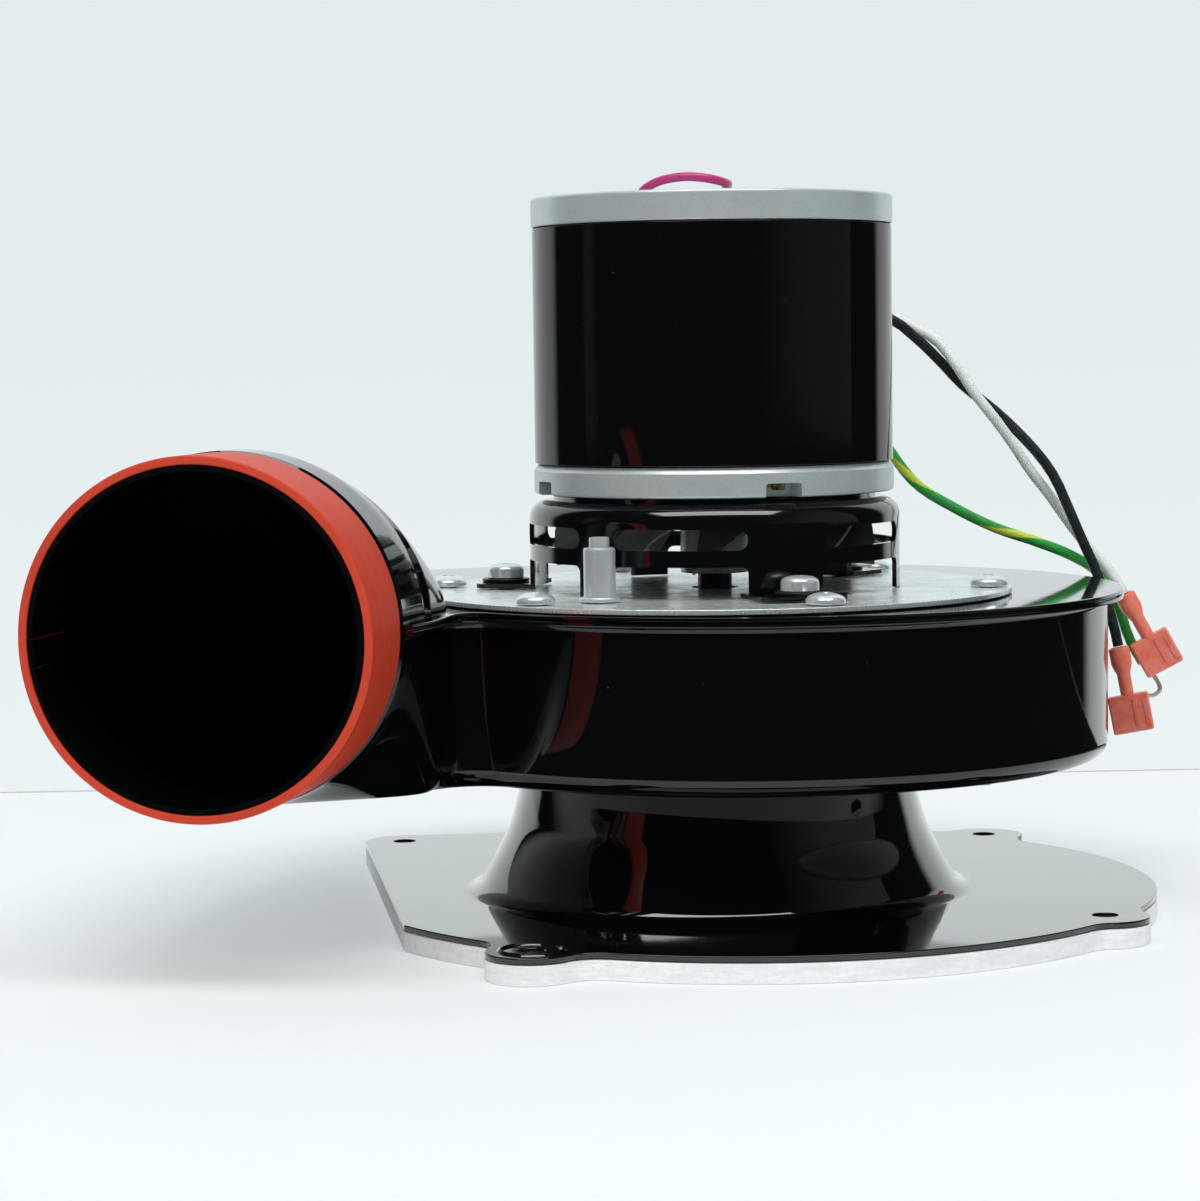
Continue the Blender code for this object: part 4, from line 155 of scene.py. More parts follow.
def number(tree, operation, first, second=0.0):
    """A sum on one or two values, each a socket or a plain number."""
    return joined(tree, "ShaderNodeMath", {"operation": operation}, (0, 1),
                  (first, second))["Value"]


def spread(tree, value, low, high, out_low=0.0, out_high=1.0):
    """Stretches a value from one span on to another, with soft ends."""
    return joined(tree, "ShaderNodeMapRange", {"interpolation_type": "SMOOTHSTEP"},
                  ("Value", "From Min", "From Max", "To Min", "To Max"),
                  (value, low, high, out_low, out_high))["Result"]


def blend_colours(tree, share, first, second):
    return joined(tree, "ShaderNodeMix", {"data_type": "RGBA"},
                  ("Factor", "A", "B"), (share, first, second))["Result"]


def blend_shaders(tree, share, first, second):
    return joined(tree, "ShaderNodeMixShader", None, (0, 1, 2), (share, first, second))["Shader"]


def emission(tree, colour):
    return joined(tree, "ShaderNodeEmission", None, ("Color", "Strength"),
                  (colour, 1.0))["Emission"]


def stage_sheet(name, corners, colour, patch, shown=None, share=1.0, lit=None):
    """A wide flat sheet that is seen and lit from its front only.

    Shown gives two colours, low and high, that sight and mirrors see in it by a share. Lit is
    how far from the motor axis mirrors see it fully lit, and from where they see it dark."""
    data = bpy.data.meshes.new(name)
    data.from_pydata([tuple(c) for c in corners], [], [(0, 1, 2, 3)])
    sheet = bpy.data.objects.new(name, data)
    bpy.context.scene.collection.objects.link(sheet)
    made, tree, shader = new_material(name, colour, 0.0, 0.8)
    shader.inputs["Specular IOR Level"].default_value = 0.2
    place = add(tree, "ShaderNodeTexCoord").outputs["Object"]
    noise = pattern(tree, "ShaderNodeTexNoise", place, Scale=patch, Detail=3.0)["Fac"]
    feed(tree, shader.inputs["Base Color"],
         blend_colours(tree, noise, tuple(c * 0.985 for c in colour),
                       tuple(min(1.0, c * 1.012) for c in colour)))
    front = shader.outputs["BSDF"]
    if shown:
        split = pattern(tree, "ShaderNodeSeparateXYZ", place)
        rise = spread(tree, split["Z"], 0.0, SHOWN_RISE)
        glow = emission(tree, blend_colours(tree, rise, *shown))
        ray = add(tree, "ShaderNodeLightPath").outputs
        seen_so = number(tree, "MAXIMUM", ray["Is Camera Ray"], ray["Is Glossy Ray"])
        seen_so = number(tree, "MAXIMUM", seen_so, ray["Is Transmission Ray"])
        front = blend_shaders(tree, number(tree, "MULTIPLY", seen_so, share), front, glow)
        squares = []
        for axis, middle in (("X", MOTOR_AXIS.x), ("Y", MOTOR_AXIS.y)):
            aside = number(tree, "SUBTRACT", split[axis], middle)
            squares.append(number(tree, "MULTIPLY", aside, aside))
        reach = number(tree, "SQRT", number(tree, "ADD", *squares))
        away = number(tree, "MULTIPLY", spread(tree, reach, *lit), ray["Is Glossy Ray"])
        front = blend_shaders(tree, away, front, emission(tree, UNLIT_MIRROR))
    clear = add(tree, "ShaderNodeBsdfTransparent").outputs["BSDF"]
    back = add(tree, "ShaderNodeNewGeometry").outputs["Backfacing"]
    feed(tree, tree.nodes["Material Output"].inputs["Surface"],
         blend_shaders(tree, back, front, clear))
    data.materials.append(made)


def wall_corners(foot, height):
    """Corners of an upright sheet that runs along the wall."""
    run = Vector((math.cos(WALL_TURN), math.sin(WALL_TURN), 0.0)) * STAGE_REACH
    rise = Vector((0.0, 0.0, height))
    return [foot - run, foot + run, foot + run + rise, foot - run + rise]


floor_corners = [(STAGE_REACH * x, STAGE_REACH * y, 0.0) for x,
                 y in ((-1, -1), (1, -1), (1, 1), (-1, 1))]
stage_sheet("floor", floor_corners, FLOOR_COLOUR, 6.0, (FLOOR_SHOWN, FLOOR_SHOWN), FLOOR_SHARE,
            FLOOR_LIT)
stage_sheet("wall", wall_corners(WALL_PLACE, WALL_HEIGHT), WALL_COLOUR, 3.0, WALL_SHOWN, 1.0,
            WALL_LIT)
edge_foot = WALL_PLACE - Vector((0.0, EDGE_HEIGHT, 0.0))
stage_sheet("board edge", wall_corners(edge_foot, EDGE_HEIGHT), EDGE_COLOUR, 30.0)

lamp_data = bpy.data.lights.new("overhead softbox", "AREA")
lamp_data.shape = "RECTANGLE"
lamp_data.size, lamp_data.size_y = LAMP_SIZE
lamp_data.energy = LAMP_POWER
lamp = bpy.data.objects.new("overhead softbox", lamp_data)
bpy.context.scene.collection.objects.link(lamp)
lamp_turn = (LAMP_PLACE - LAMP_AIM).to_track_quat("Z", "Y").to_matrix().to_4x4()
lamp.matrix_world = Matrix.Translation(LAMP_PLACE) @ lamp_turn

world = bpy.data.worlds.new("room")
world.use_nodes = True
bpy.context.scene.world = world
room = world.node_tree
room.nodes.clear()
way = pattern(room, "ShaderNodeSeparateXYZ", add(room, "ShaderNodeTexCoord").outputs["Generated"])


def room_share(axis, low, high, out_low=0.0, out_high=1.0):
    """A value that runs softly from one way to another across the room."""
    return spread(room, way[axis], low, high, out_low, out_high)


def room_light(colour, strength=1.0):
    return joined(room, "ShaderNodeBackground", None, ("Color", "Strength"),
                  (colour, strength))["Background"]


fill = number(room, "ADD", room_share("Y", -1.0, 0.3, 0.30, 0.0),
              room_share("Z", 0.0, 1.0, 0.54, 0.34))
fill = number(room, "MULTIPLY", room_share("X", -0.2, 1.0, 1.0, 0.55), fill)
strip = number(room, "MULTIPLY", room_share("X", -0.80, -0.97), room_share("Y", 0.16, 0.02))
strip = number(room, "MULTIPLY", strip, room_share("Y", -0.18, -0.04))
mirrored = blend_colours(room, room_share("X", 0.35, 0.95), ROOM_DARK, ROOM_RIGHT)
mirrored = blend_colours(room, strip, mirrored, ROOM_STRIP)
mirrored = blend_colours(room, room_share("Y", 0.10, 0.55), mirrored, ROOM_BACK)
path = add(room, "ShaderNodeLightPath").outputs
lit_room = blend_shaders(room, path["Is Glossy Ray"], room_light(ROOM_FILL, fill),
                         room_light(mirrored))
lit_room = blend_shaders(room, path["Is Camera Ray"], lit_room, room_light(ROOM_SEEN))
feed(room, add(room, "ShaderNodeOutputWorld").inputs["Surface"], lit_room)


# Base plate: 1.2 mm steel, drawn up into the inlet cone, with three ears, one long corner and a
# straight left edge, holes for screws and a raised ring round the front one. Gloss enamelled.
FIT_GAP = 0.0003
SHEET = 0.0010
GASKET_THICKNESS = 0.0045
GASKET_BORE_RADIUS = 0.0625
BASE_SHEET = 0.0012
BASE_RADIUS = 0.0943
BASE_CENTRE = Vector((0.0082, 0.0001))
EAR_RADIUS = 0.0100
EAR_FILLET = 0.0080
EAR_HOLE_RADIUS = 0.0029
EARS = ((0.0977, math.radians(-123.1)), (0.0904, math.radians(-35.1)), (0.0975, math.radians(47.6)))
CORNER = (0.1147, math.radians(137.2))
LEFT_EDGE_NORMAL = math.radians(185.9)
EMBOSS_RADIUS = 0.0075
EMBOSS_WIDTH = 0.0016
EMBOSS_HEIGHT = 0.0005
CONE_TOP_RADIUS = 0.0458
CONE_SHOULDER_RADIUS = 0.0482
CONE_SHOULDER_HEIGHT = 0.0236
CONE_FOOT_RADIUS = 0.0555
CONE_FOOT_FILLET = 0.0050
INLET_RADIUS = 0.0400
PAN_FLOOR = 0.0353
BASE_LOW = GASKET_THICKNESS + FIT_GAP
BASE_TOP = BASE_LOW + BASE_SHEET
CONE_TOP = PAN_FLOOR - FIT_GAP
CONE_REACH = CONE_FOOT_RADIUS + CONE_FOOT_FILLET * math.cos(math.radians(28.0))


def polar(radius, bearing, centre=(0.0, 0.0)):
    return Vector((centre[0] + radius * math.cos(bearing), centre[1] + radius * math.sin(bearing)))


def arc(centre, radius, start, end, steps):
    """Points of an arc from bearing start to bearing end."""
    turn = (end - start) / steps
    return [polar(radius, start + turn * i, centre) for i in range(steps + 1)]


def round_loop(centre, radius, steps):
    """A closed outline of a circle."""
    return arc(centre, radius, 0.0, math.tau, steps)[:-1]


def loose_mesh(verts, faces):
    data = bpy.data.meshes.new("work")
    data.from_pydata([tuple(v) for v in verts], [], faces)
    return bpy.data.objects.new("work", data)


def mended(piece, weld=0.000002):
    """Closes doubled corners and turns every face outwards."""
    work = bmesh.new()
    work.from_mesh(piece.data)
    bmesh.ops.remove_doubles(work, verts=work.verts, dist=weld)
    bmesh.ops.recalc_face_normals(work, faces=work.faces)
    work.to_mesh(piece.data)
    work.free()
    return piece


def plain_mesh(piece):
    """What the piece's modifiers make, as a plain mesh with its place in it."""
    if not piece.users_collection:
        bpy.context.scene.collection.objects.link(piece)
    bpy.context.view_layer.update()
    graph = bpy.context.evaluated_depsgraph_get()
    data = bpy.data.meshes.new_from_object(piece.evaluated_get(graph), depsgraph=graph)
    data.transform(piece.matrix_world)
    bpy.data.objects.remove(piece, do_unlink=True)
    return bpy.data.objects.new("work", data)


def turned(profile, steps=128, closed=True):
    """A section of (radius, height) turned about the motor axis."""
    verts = []
    rows = []
    for radius, height in profile:
        if radius < 1e-7:
            rows.append([len(verts)] * steps)
            verts.append((0.0, 0.0, height))
            continue
        rows.append(list(range(len(verts), len(verts) + steps)))
        verts += [(*polar(radius, math.tau * i / steps), height) for i in range(steps)]
    faces = []
    pairs = list(zip(rows, rows[1:])) + ([(rows[-1], rows[0])] if closed else [])
    for high, low in pairs:
        for i in range(steps):
            j = (i + 1) % steps
            corners = [high[i], low[i], low[j], high[j]]
            face = [c for k, c in enumerate(corners) if c not in corners[:k]]
            if len(face) > 2:
                faces.append(face)
    return mended(loose_mesh(verts, faces))


def flat_sheet(loops, low, high, ease=0.0):
    """Flat outlines, the first one the outer edge, filled between two heights, edges eased."""
    flat = bpy.data.curves.new("outline", "CURVE")
    flat.dimensions = "2D"
    flat.fill_mode = "BOTH"
    flat.extrude = (high - low) / 2 - ease
    flat.bevel_depth = ease
    flat.bevel_resolution = 2
    flat.offset = -ease
    for loop in loops:
        line = flat.splines.new("POLY")
        line.points.add(len(loop) - 1)
        for point, spot in zip(line.points, loop):
            point.co = (spot[0], spot[1], 0.0, 1.0)
        line.use_cyclic_u = True
    piece = bpy.data.objects.new("outline", flat)
    piece.location = (0.0, 0.0, (high + low) / 2)
    return mended(plain_mesh(piece))


def lofted(rings, capped=True):
    """Skins closed rings that have the same number of points."""
    count = len(rings[0])
    faces = []
    for level in range(len(rings) - 1):
        for i in range(count):
            j = (i + 1) % count
            start = level * count
            faces.append((start + i, start + j, start + count + j, start + count + i))
    if capped:
        top = (len(rings) - 1) * count
        faces.append(tuple(reversed(range(count))))
        faces.append(tuple(range(top, top + count)))
    return mended(loose_mesh([p for ring in rings for p in ring], faces))


def moved(piece, matrix):
    piece.data.transform(matrix)
    return piece


def shifted(piece, x, y, z=0.0):
    return moved(piece, Matrix.Translation((x, y, z)))


def upright(radius, low, high, spot=(0.0, 0.0), steps=32):
    """An upright round bar."""
    bar = turned([(0.0, high), (radius, high), (radius, low), (0.0, low)], steps, closed=False)
    return shifted(bar, *spot)


def together(pieces):
    """Several meshes as one, each still closed by itself."""
    work = bmesh.new()
    for piece in pieces:
        work.from_mesh(piece.data)
        bpy.data.objects.remove(piece, do_unlink=True)
    data = bpy.data.meshes.new("work")
    work.to_mesh(data)
    work.free()
    return bpy.data.objects.new("work", data)


def cut(piece, tool, operation="DIFFERENCE"):
    """An exact Boolean, applied at once."""
    bpy.context.scene.collection.objects.link(piece)
    bpy.context.scene.collection.objects.link(tool)
    step = piece.modifiers.new("cut", "BOOLEAN")
    step.operation = operation
    step.solver = "EXACT"
    step.object = tool
    made = plain_mesh(piece)
    bpy.data.objects.remove(tool, do_unlink=True)
    return made


def eased(piece, width, angle=35.0, segments=2):
    """Rounds the edges that are sharper than an angle in degrees."""
    step = piece.modifiers.new("eased", "BEVEL")
    step.width = width
    step.segments = segments
    step.limit_method = "ANGLE"
    step.angle_limit = math.radians(angle)
    step.harden_normals = False
    step.use_clamp_overlap = True
    return plain_mesh(piece)


def finished(piece, name, made, body, *nodes, sharp=38.0):
    """Names a piece, gives it its finish and its place, and hides the frame's parts it stands for."""
    piece.name = name
    piece.data.name = name
    piece.data.transform(Matrix.Translation(MOTOR_AXIS))
    piece.data.materials.clear()
    piece.data.materials.append(made)
    piece.data.shade_smooth()
    piece.data.set_sharp_from_angle(angle=math.radians(sharp))
    if not piece.users_collection:
        bpy.context.scene.collection.objects.link(piece)
    step = piece.modifiers.new("even shading", "WEIGHTED_NORMAL")
    step.keep_sharp = True
    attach(piece, body)
    if nodes:
        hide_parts(*nodes)
    return piece



def dent(tree, shader, height, strength, distance):
    """Adds a small relief to the shader, on top of what is there already."""
    node = add(tree, "ShaderNodeBump", Strength=strength, Distance=distance)
    tree.links.new(height, node.inputs["Height"])
    if shader.inputs["Normal"].is_linked:
        tree.links.new(shader.inputs["Normal"].links[0].from_socket, node.inputs["Normal"])
    tree.links.new(node.outputs["Normal"], shader.inputs["Normal"])


def place_on(tree, shift=(0.0, 0.0, 0.0), turn=(0.0, 0.0, 0.0), stretch=(1.0, 1.0, 1.0)):
    """The piece's own place, moved, turned and stretched for a pattern."""
    spot = add(tree, "ShaderNodeTexCoord").outputs["Object"]
    return pattern(tree, "ShaderNodeMapping", spot, Location=shift, Rotation=turn,
                   Scale=stretch)["Vector"]


def noise_on(tree, spot, scale, detail, **values):
    return pattern(tree, "ShaderNodeTexNoise", spot, Scale=scale, Detail=detail, **values)["Fac"]


def specks(tree, spot, scale, size, share):
    """Small round specks on a share of the cells of a pattern."""
    cells = pattern(tree, "ShaderNodeTexVoronoi", spot, Scale=scale)
    split = joined(tree, "ShaderNodeSeparateColor", None, ("Color",), (cells["Color"],))
    dot = spread(tree, cells["Distance"], size * 1.3, size * 0.6)
    chosen = spread(tree, split["Red"], 1.0 - share, 1.0 - share + 0.02)
    return number(tree, "MULTIPLY", dot, chosen)


def grained(name, tones, metallic, roughness, kind="ShaderNodeTexNoise", settings=None, rough=None,
            relief=None, soft=True, **values):
    """A finish whose colour, and gloss and relief where given, follow one fine pattern."""
    middle = tuple((a + b) / 2 for a, b in zip(*tones))
    made, tree, shader = new_material(name, middle, metallic, roughness)
    cloud = pattern(tree, kind, place_on(tree), settings, **values)["Fac"]
    if relief:
        dent(tree, shader, cloud, *relief)
    if rough:
        feed(tree, shader.inputs["Roughness"], spread(tree, cloud, 0.3, 0.7, *rough))
    share = spread(tree, cloud, 0.3, 0.7) if soft else cloud
    feed(tree, shader.inputs["Base Color"], blend_colours(tree, share, *tones))
    return made


ENAMEL = (0.0024, 0.0028, 0.0030)
DUST = (0.075, 0.08, 0.078)


def gloss_enamel(name, roughness, dust, peel, coat=0.0):
    """Gloss black enamel on steel: slight orange peel, settled dust and a few fine scratches."""
    made, tree, shader = new_material(name, ENAMEL, 0.0, roughness)
    shader.inputs["Specular IOR Level"].default_value = 0.38
    shader.inputs["Coat Weight"].default_value = coat
    shader.inputs["Coat Roughness"].default_value = roughness
    spot = place_on(tree)
    dent(tree, shader, noise_on(tree, spot, 210.0, 1.5), peel, 0.0008)
    dots = specks(tree, spot, 300.0, 0.050, dust)
    streak_spot = place_on(tree, turn=(0.4, 0.7, 0.3), stretch=(1500.0, 90.0, 260.0))
    hair = spread(tree, noise_on(tree, streak_spot, 1.0, 2.0), 0.760, 0.785)
    film = spread(tree, noise_on(tree, spot, 28.0, 4.0), 0.35, 0.8, roughness, roughness * 1.9)
    marks = number(tree, "MAXIMUM", dots, number(tree, "MULTIPLY", hair, 0.25))
    rough = number(tree, "ADD", film, number(tree, "MULTIPLY", marks, 0.4))
    feed(tree, shader.inputs["Roughness"], rough)
    feed(tree, shader.inputs["Base Color"], blend_colours(tree, marks, ENAMEL, DUST))
    return made


def base_outline():
    """Round plate with three round ears, one long corner and a straight left edge."""
    def nearest(start, end):
        return (end - start + math.pi) % math.tau - math.pi

    def ear(reach, bearing):
        centre = polar(reach, bearing, BASE_CENTRE)
        near = BASE_RADIUS + EAR_FILLET
        far = EAR_RADIUS + EAR_FILLET
        turn = math.acos((near ** 2 - far ** 2 + reach ** 2) / (2 * reach) / near)
        before = polar(near, bearing - turn, BASE_CENTRE)
        after = polar(near, bearing + turn, BASE_CENTRE)
        facing = math.atan2(centre.y - before.y, centre.x - before.x)
        start = bearing - turn + math.pi
        points = arc(before, EAR_FILLET, start, start + nearest(start, facing), 10)
        start = facing - math.pi
        leaving = math.atan2(after.y - centre.y, after.x - centre.x)
        points += arc(centre, EAR_RADIUS, start, start + (leaving - start) % math.tau, 32)[1:]
        start = leaving + math.pi
        points += arc(after, EAR_FILLET, start,
                      start + nearest(start, bearing + turn + math.pi), 10)[1:]
        return points, bearing - turn, bearing + turn

    ears = [ear(*where) for where in EARS]
    corner = polar(*CORNER, BASE_CENTRE)
    back_normal = CORNER[1] - math.acos((BASE_RADIUS - EAR_RADIUS) / CORNER[0])
    edge_point = polar(EAR_RADIUS, LEFT_EDGE_NORMAL, corner)
    edge_run = Vector((-math.sin(LEFT_EDGE_NORMAL), math.cos(LEFT_EDGE_NORMAL)))
    offset = edge_point - BASE_CENTRE
    dot = offset.dot(edge_run)
    meeting = edge_point + edge_run * (math.sqrt(dot ** 2 - offset.length_squared
                                                 + BASE_RADIUS ** 2) - dot)
    start = math.atan2(meeting.y - BASE_CENTRE.y, meeting.x - BASE_CENTRE.x)
    points = []
    for side, ear_start, ear_end in ears:
        points += arc(BASE_CENTRE, BASE_RADIUS, start, ear_start, 44)[:-1] + side[:-1]
        start = ear_end
    points += arc(BASE_CENTRE, BASE_RADIUS, start, back_normal, 24)
    points += arc(corner, EAR_RADIUS, back_normal, LEFT_EDGE_NORMAL, 22)
    return points


def cone_profile():
    """Wall of the drawn cone, from the inward lip at its top to the flat of the plate."""
    lip = BASE_SHEET * 2
    outer = [Vector((INLET_RADIUS, CONE_TOP))]
    outer += arc((CONE_TOP_RADIUS - lip, CONE_TOP - lip), lip, math.pi / 2, 0.0, 8)
    outer.append(Vector((CONE_SHOULDER_RADIUS, CONE_SHOULDER_HEIGHT)))
    foot = arc((CONE_REACH, BASE_TOP + CONE_FOOT_FILLET), CONE_FOOT_FILLET,
               math.radians(-152.0), math.radians(-90.0), 12)
    fall = foot[0] - outer[-1]
    top_run = (outer[-1] - outer[-2]).normalized() * fall.length * 0.3
    low_run = Vector((math.cos(math.radians(-62.0)),
                      math.sin(math.radians(-62.0)))) * fall.length * 0.3
    first = outer[-1]
    for i in range(1, 12):
        share = i / 12
        outer.append((1 - share) ** 3 * first + 3 * (1 - share) ** 2 * share * (first + top_run)
                     + 3 * (1 - share) * share ** 2 * (foot[0] - low_run) + share ** 3 * foot[0])
    outer += foot
    outer[-1].y += 0.00001
    outer.append(Vector((CONE_REACH + 0.0030, BASE_TOP - 0.00001)))
    inner = []
    for i in range(9, len(outer) - 1):
        run = (outer[i + 1] - outer[i - 1]).normalized()
        inner.append(outer[i] + Vector((run.y, -run.x)) * BASE_SHEET)
    inner = [Vector((INLET_RADIUS, CONE_TOP - BASE_SHEET))] + inner
    inner.append(Vector((CONE_REACH + 0.0030, BASE_LOW + 0.00001)))
    return [tuple(p) for p in outer + list(reversed(inner))]


outline = base_outline()
ear_centres = [polar(*where, BASE_CENTRE) for where in EARS + (CORNER,)]
ear_holes = [round_loop(c, EAR_HOLE_RADIUS, 32) for c in ear_centres]
bore = round_loop((0.0, 0.0), CONE_REACH - 0.0006, 192)
base = [flat_sheet([outline, bore] + ear_holes, BASE_LOW, BASE_TOP, 0.00025),
        turned(cone_profile(), 192)]
ring = [(EMBOSS_RADIUS - EMBOSS_WIDTH * share,
         BASE_TOP - 0.0001 + (EMBOSS_HEIGHT + 0.0001) * math.sin(math.pi * share))
        for share in np.linspace(0.0, 1.0, 9)]
base.append(shifted(turned(ring + [(EMBOSS_RADIUS - EMBOSS_WIDTH / 2, BASE_TOP - 0.0003)], 48),
                    *ear_centres[0]))
enamel_base = gloss_enamel("base enamel", 0.045, 0.14, 0.012, 1.0)
finished(together(base), "base_sheet", enamel_base, "housing", "base_plate")


# Base gasket: thick soft white fibre, die-cut to the plate's outline, glued under it. Its cut
# edge is slightly fuzzy and uneven.
felt, tree, shader = new_material("white fibre felt", (0.86, 0.87, 0.86), 0.0, 0.95)
shader.inputs["Specular IOR Level"].default_value = 0.15
shader.inputs["Sheen Weight"].default_value = 0.15
tuft = noise_on(tree, place_on(tree), 700.0, 6.0, Roughness=0.7)
layer = noise_on(tree, place_on(tree, stretch=(120.0, 120.0, 900.0)), 1.0, 3.0)
fuzz = number(tree, "ADD", tuft, layer)
dent(tree, shader, fuzz, 0.5, 0.0004)
feed(tree, shader.inputs["Base Color"],
     blend_colours(tree, spread(tree, fuzz, 0.75, 1.25), (0.84, 0.86, 0.86), (0.95, 0.96, 0.96)))
gasket_holes = [round_loop(c, EAR_HOLE_RADIUS + FIT_GAP, 32) for c in ear_centres]
gasket_bore = round_loop((0.0, 0.0), GASKET_BORE_RADIUS, 128)
gasket = flat_sheet([outline, gasket_bore] + gasket_holes, 0.0, GASKET_THICKNESS, 0.0004)
finished(gasket, "fibre_gasket", felt, "housing", "base_gasket")


# Scroll pan: 1 mm steel drawn into the scroll's lower half, with a rolled lip to close against
# the cover, a half-round outlet neck and a drain boss under it. Gloss enamelled.
PAN_DEPTH = 0.0383
PAN_EDGE_RADIUS = 0.0042
SCROLL_RADIUS = 0.0853
SCROLL_CENTRE = Vector((0.0090, 0.0160))
SCROLL_TURN = math.radians(45.0)
TONGUE_RADIUS = 0.0080
RIM_WIDTH = 0.0037
RIM_END_WIDTH = 0.0020
RIM_RUN_OUT = 0.0140
RIM_FILLET = 0.0014
OUTLET = Vector((-0.1138, -0.0930))
OUTLET_BEARING = math.radians(13.0)
NECK_RADIUS = 0.0359
NECK_LENGTH = 0.0230
NECK_STEP = 0.0016
SEAM = PAN_FLOOR + PAN_DEPTH
DUCT_HALF = PAN_DEPTH
SHOULDER = NECK_LENGTH + NECK_STEP
INWARD = Vector((math.sin(OUTLET_BEARING), math.cos(OUTLET_BEARING)))
ACROSS = Vector((math.cos(OUTLET_BEARING), -math.sin(OUTLET_BEARING)))
ARC_STEPS = 96
STRAIGHT_STEPS = 24
DUCT_STEPS = 24


def across_point(depth, across):
    """A point of the outlet duct: depth in from the mouth, across to the right of its axis."""
    return OUTLET + INWARD * depth + ACROSS * across


turn_way = Vector((math.cos(SCROLL_TURN), math.sin(SCROLL_TURN)))
left_wall = -ACROSS.dot(OUTLET) + DUCT_HALF
growth = (left_wall + ACROSS.dot(SCROLL_CENTRE) - SCROLL_RADIUS) / (1.0 + ACROSS.dot(turn_way))
ARC_CENTRE = SCROLL_CENTRE - turn_way * growth
ARC_RADIUS = SCROLL_RADIUS + growth
right_wall = ACROSS.dot(OUTLET) + DUCT_HALF
tongue_gap = ACROSS.dot(SCROLL_CENTRE) - right_wall - TONGUE_RADIUS
tongue_back = math.sqrt((SCROLL_RADIUS + TONGUE_RADIUS) ** 2 - tongue_gap ** 2)
TONGUE_CENTRE = (ACROSS * (right_wall + TONGUE_RADIUS)
                 + INWARD * (INWARD.dot(SCROLL_CENTRE) - tongue_back))
LEFT_DEPTH = INWARD.dot(ARC_CENTRE - OUTLET)
RIGHT_DEPTH = INWARD.dot(TONGUE_CENTRE - OUTLET)


def wall_path(start_depth):
    """The scroll wall and its outward way, from the outlet's left side round to its right."""
    left_bearing = math.atan2(-ACROSS.y, -ACROSS.x) % math.tau
    tongue_bearing = math.atan2(TONGUE_CENTRE.y - SCROLL_CENTRE.y,
                                TONGUE_CENTRE.x - SCROLL_CENTRE.x)
    route = []
    for i in range(STRAIGHT_STEPS):
        depth = start_depth + (LEFT_DEPTH - start_depth) * i / STRAIGHT_STEPS
        route.append((across_point(depth, -DUCT_HALF), -ACROSS))
    for i in range(ARC_STEPS):
        bearing = left_bearing + (SCROLL_TURN - left_bearing) * i / ARC_STEPS
        normal = Vector((math.cos(bearing), math.sin(bearing)))
        route.append((ARC_CENTRE + normal * ARC_RADIUS, normal))
    for i in range(ARC_STEPS + 1):
        bearing = SCROLL_TURN + (tongue_bearing - SCROLL_TURN) * i / ARC_STEPS
        normal = Vector((math.cos(bearing), math.sin(bearing)))
        route.append((SCROLL_CENTRE + normal * SCROLL_RADIUS, normal))
    start = tongue_bearing + math.pi
    sweep = (math.atan2(-ACROSS.y, -ACROSS.x) - start) % math.tau
    for i in range(1, 17):
        facing = polar(1.0, start + sweep * i / 16)
        route.append((TONGUE_CENTRE + facing * TONGUE_RADIUS, -facing))
    if start_depth < RIGHT_DEPTH:
        for i in range(1, STRAIGHT_STEPS + 1):
            depth = RIGHT_DEPTH + (start_depth - RIGHT_DEPTH) * i / STRAIGHT_STEPS
            route.append((across_point(depth, DUCT_HALF), ACROSS))
    return route


def rim_share(point):
    """How much of the rim's width stands at a point: it narrows towards the sleeve."""
    depth = INWARD.dot(point - OUTLET)
    beside = ACROSS.dot(point - OUTLET)
    if depth > SHOULDER + RIM_RUN_OUT or beside > DUCT_HALF + TONGUE_RADIUS:
        return 1.0
    share = max(0.0, (depth - SHOULDER) / RIM_RUN_OUT)
    narrow = RIM_END_WIDTH / RIM_WIDTH
    return narrow + (1.0 - narrow) * share * share * (3 - 2 * share)


def rim_sweep(section, start_depth):
    """Carries a section of (fixed part, part that follows the rim, height) round the wall."""
    rings = []
    for spot, normal in wall_path(start_depth):
        share = rim_share(spot)
        rings.append([(*(spot + normal * (fixed + moving * share)), height)
                      for fixed, moving, height in section])
    return lofted(rings)


def duct_section(half, corner, floor):
    """Half of a duct section, from its top edge down and in to its middle."""
    points = [(half, SEAM)]
    points += [(half, SEAM + (floor + corner - SEAM) * i / 4) for i in range(1, 5)]
    for i in range(1, DUCT_STEPS + 1):
        bearing = math.pi / 2 * i / DUCT_STEPS
        points.append((half - corner + corner * math.cos(bearing),
                       floor + corner - corner * math.sin(bearing)))
    return points


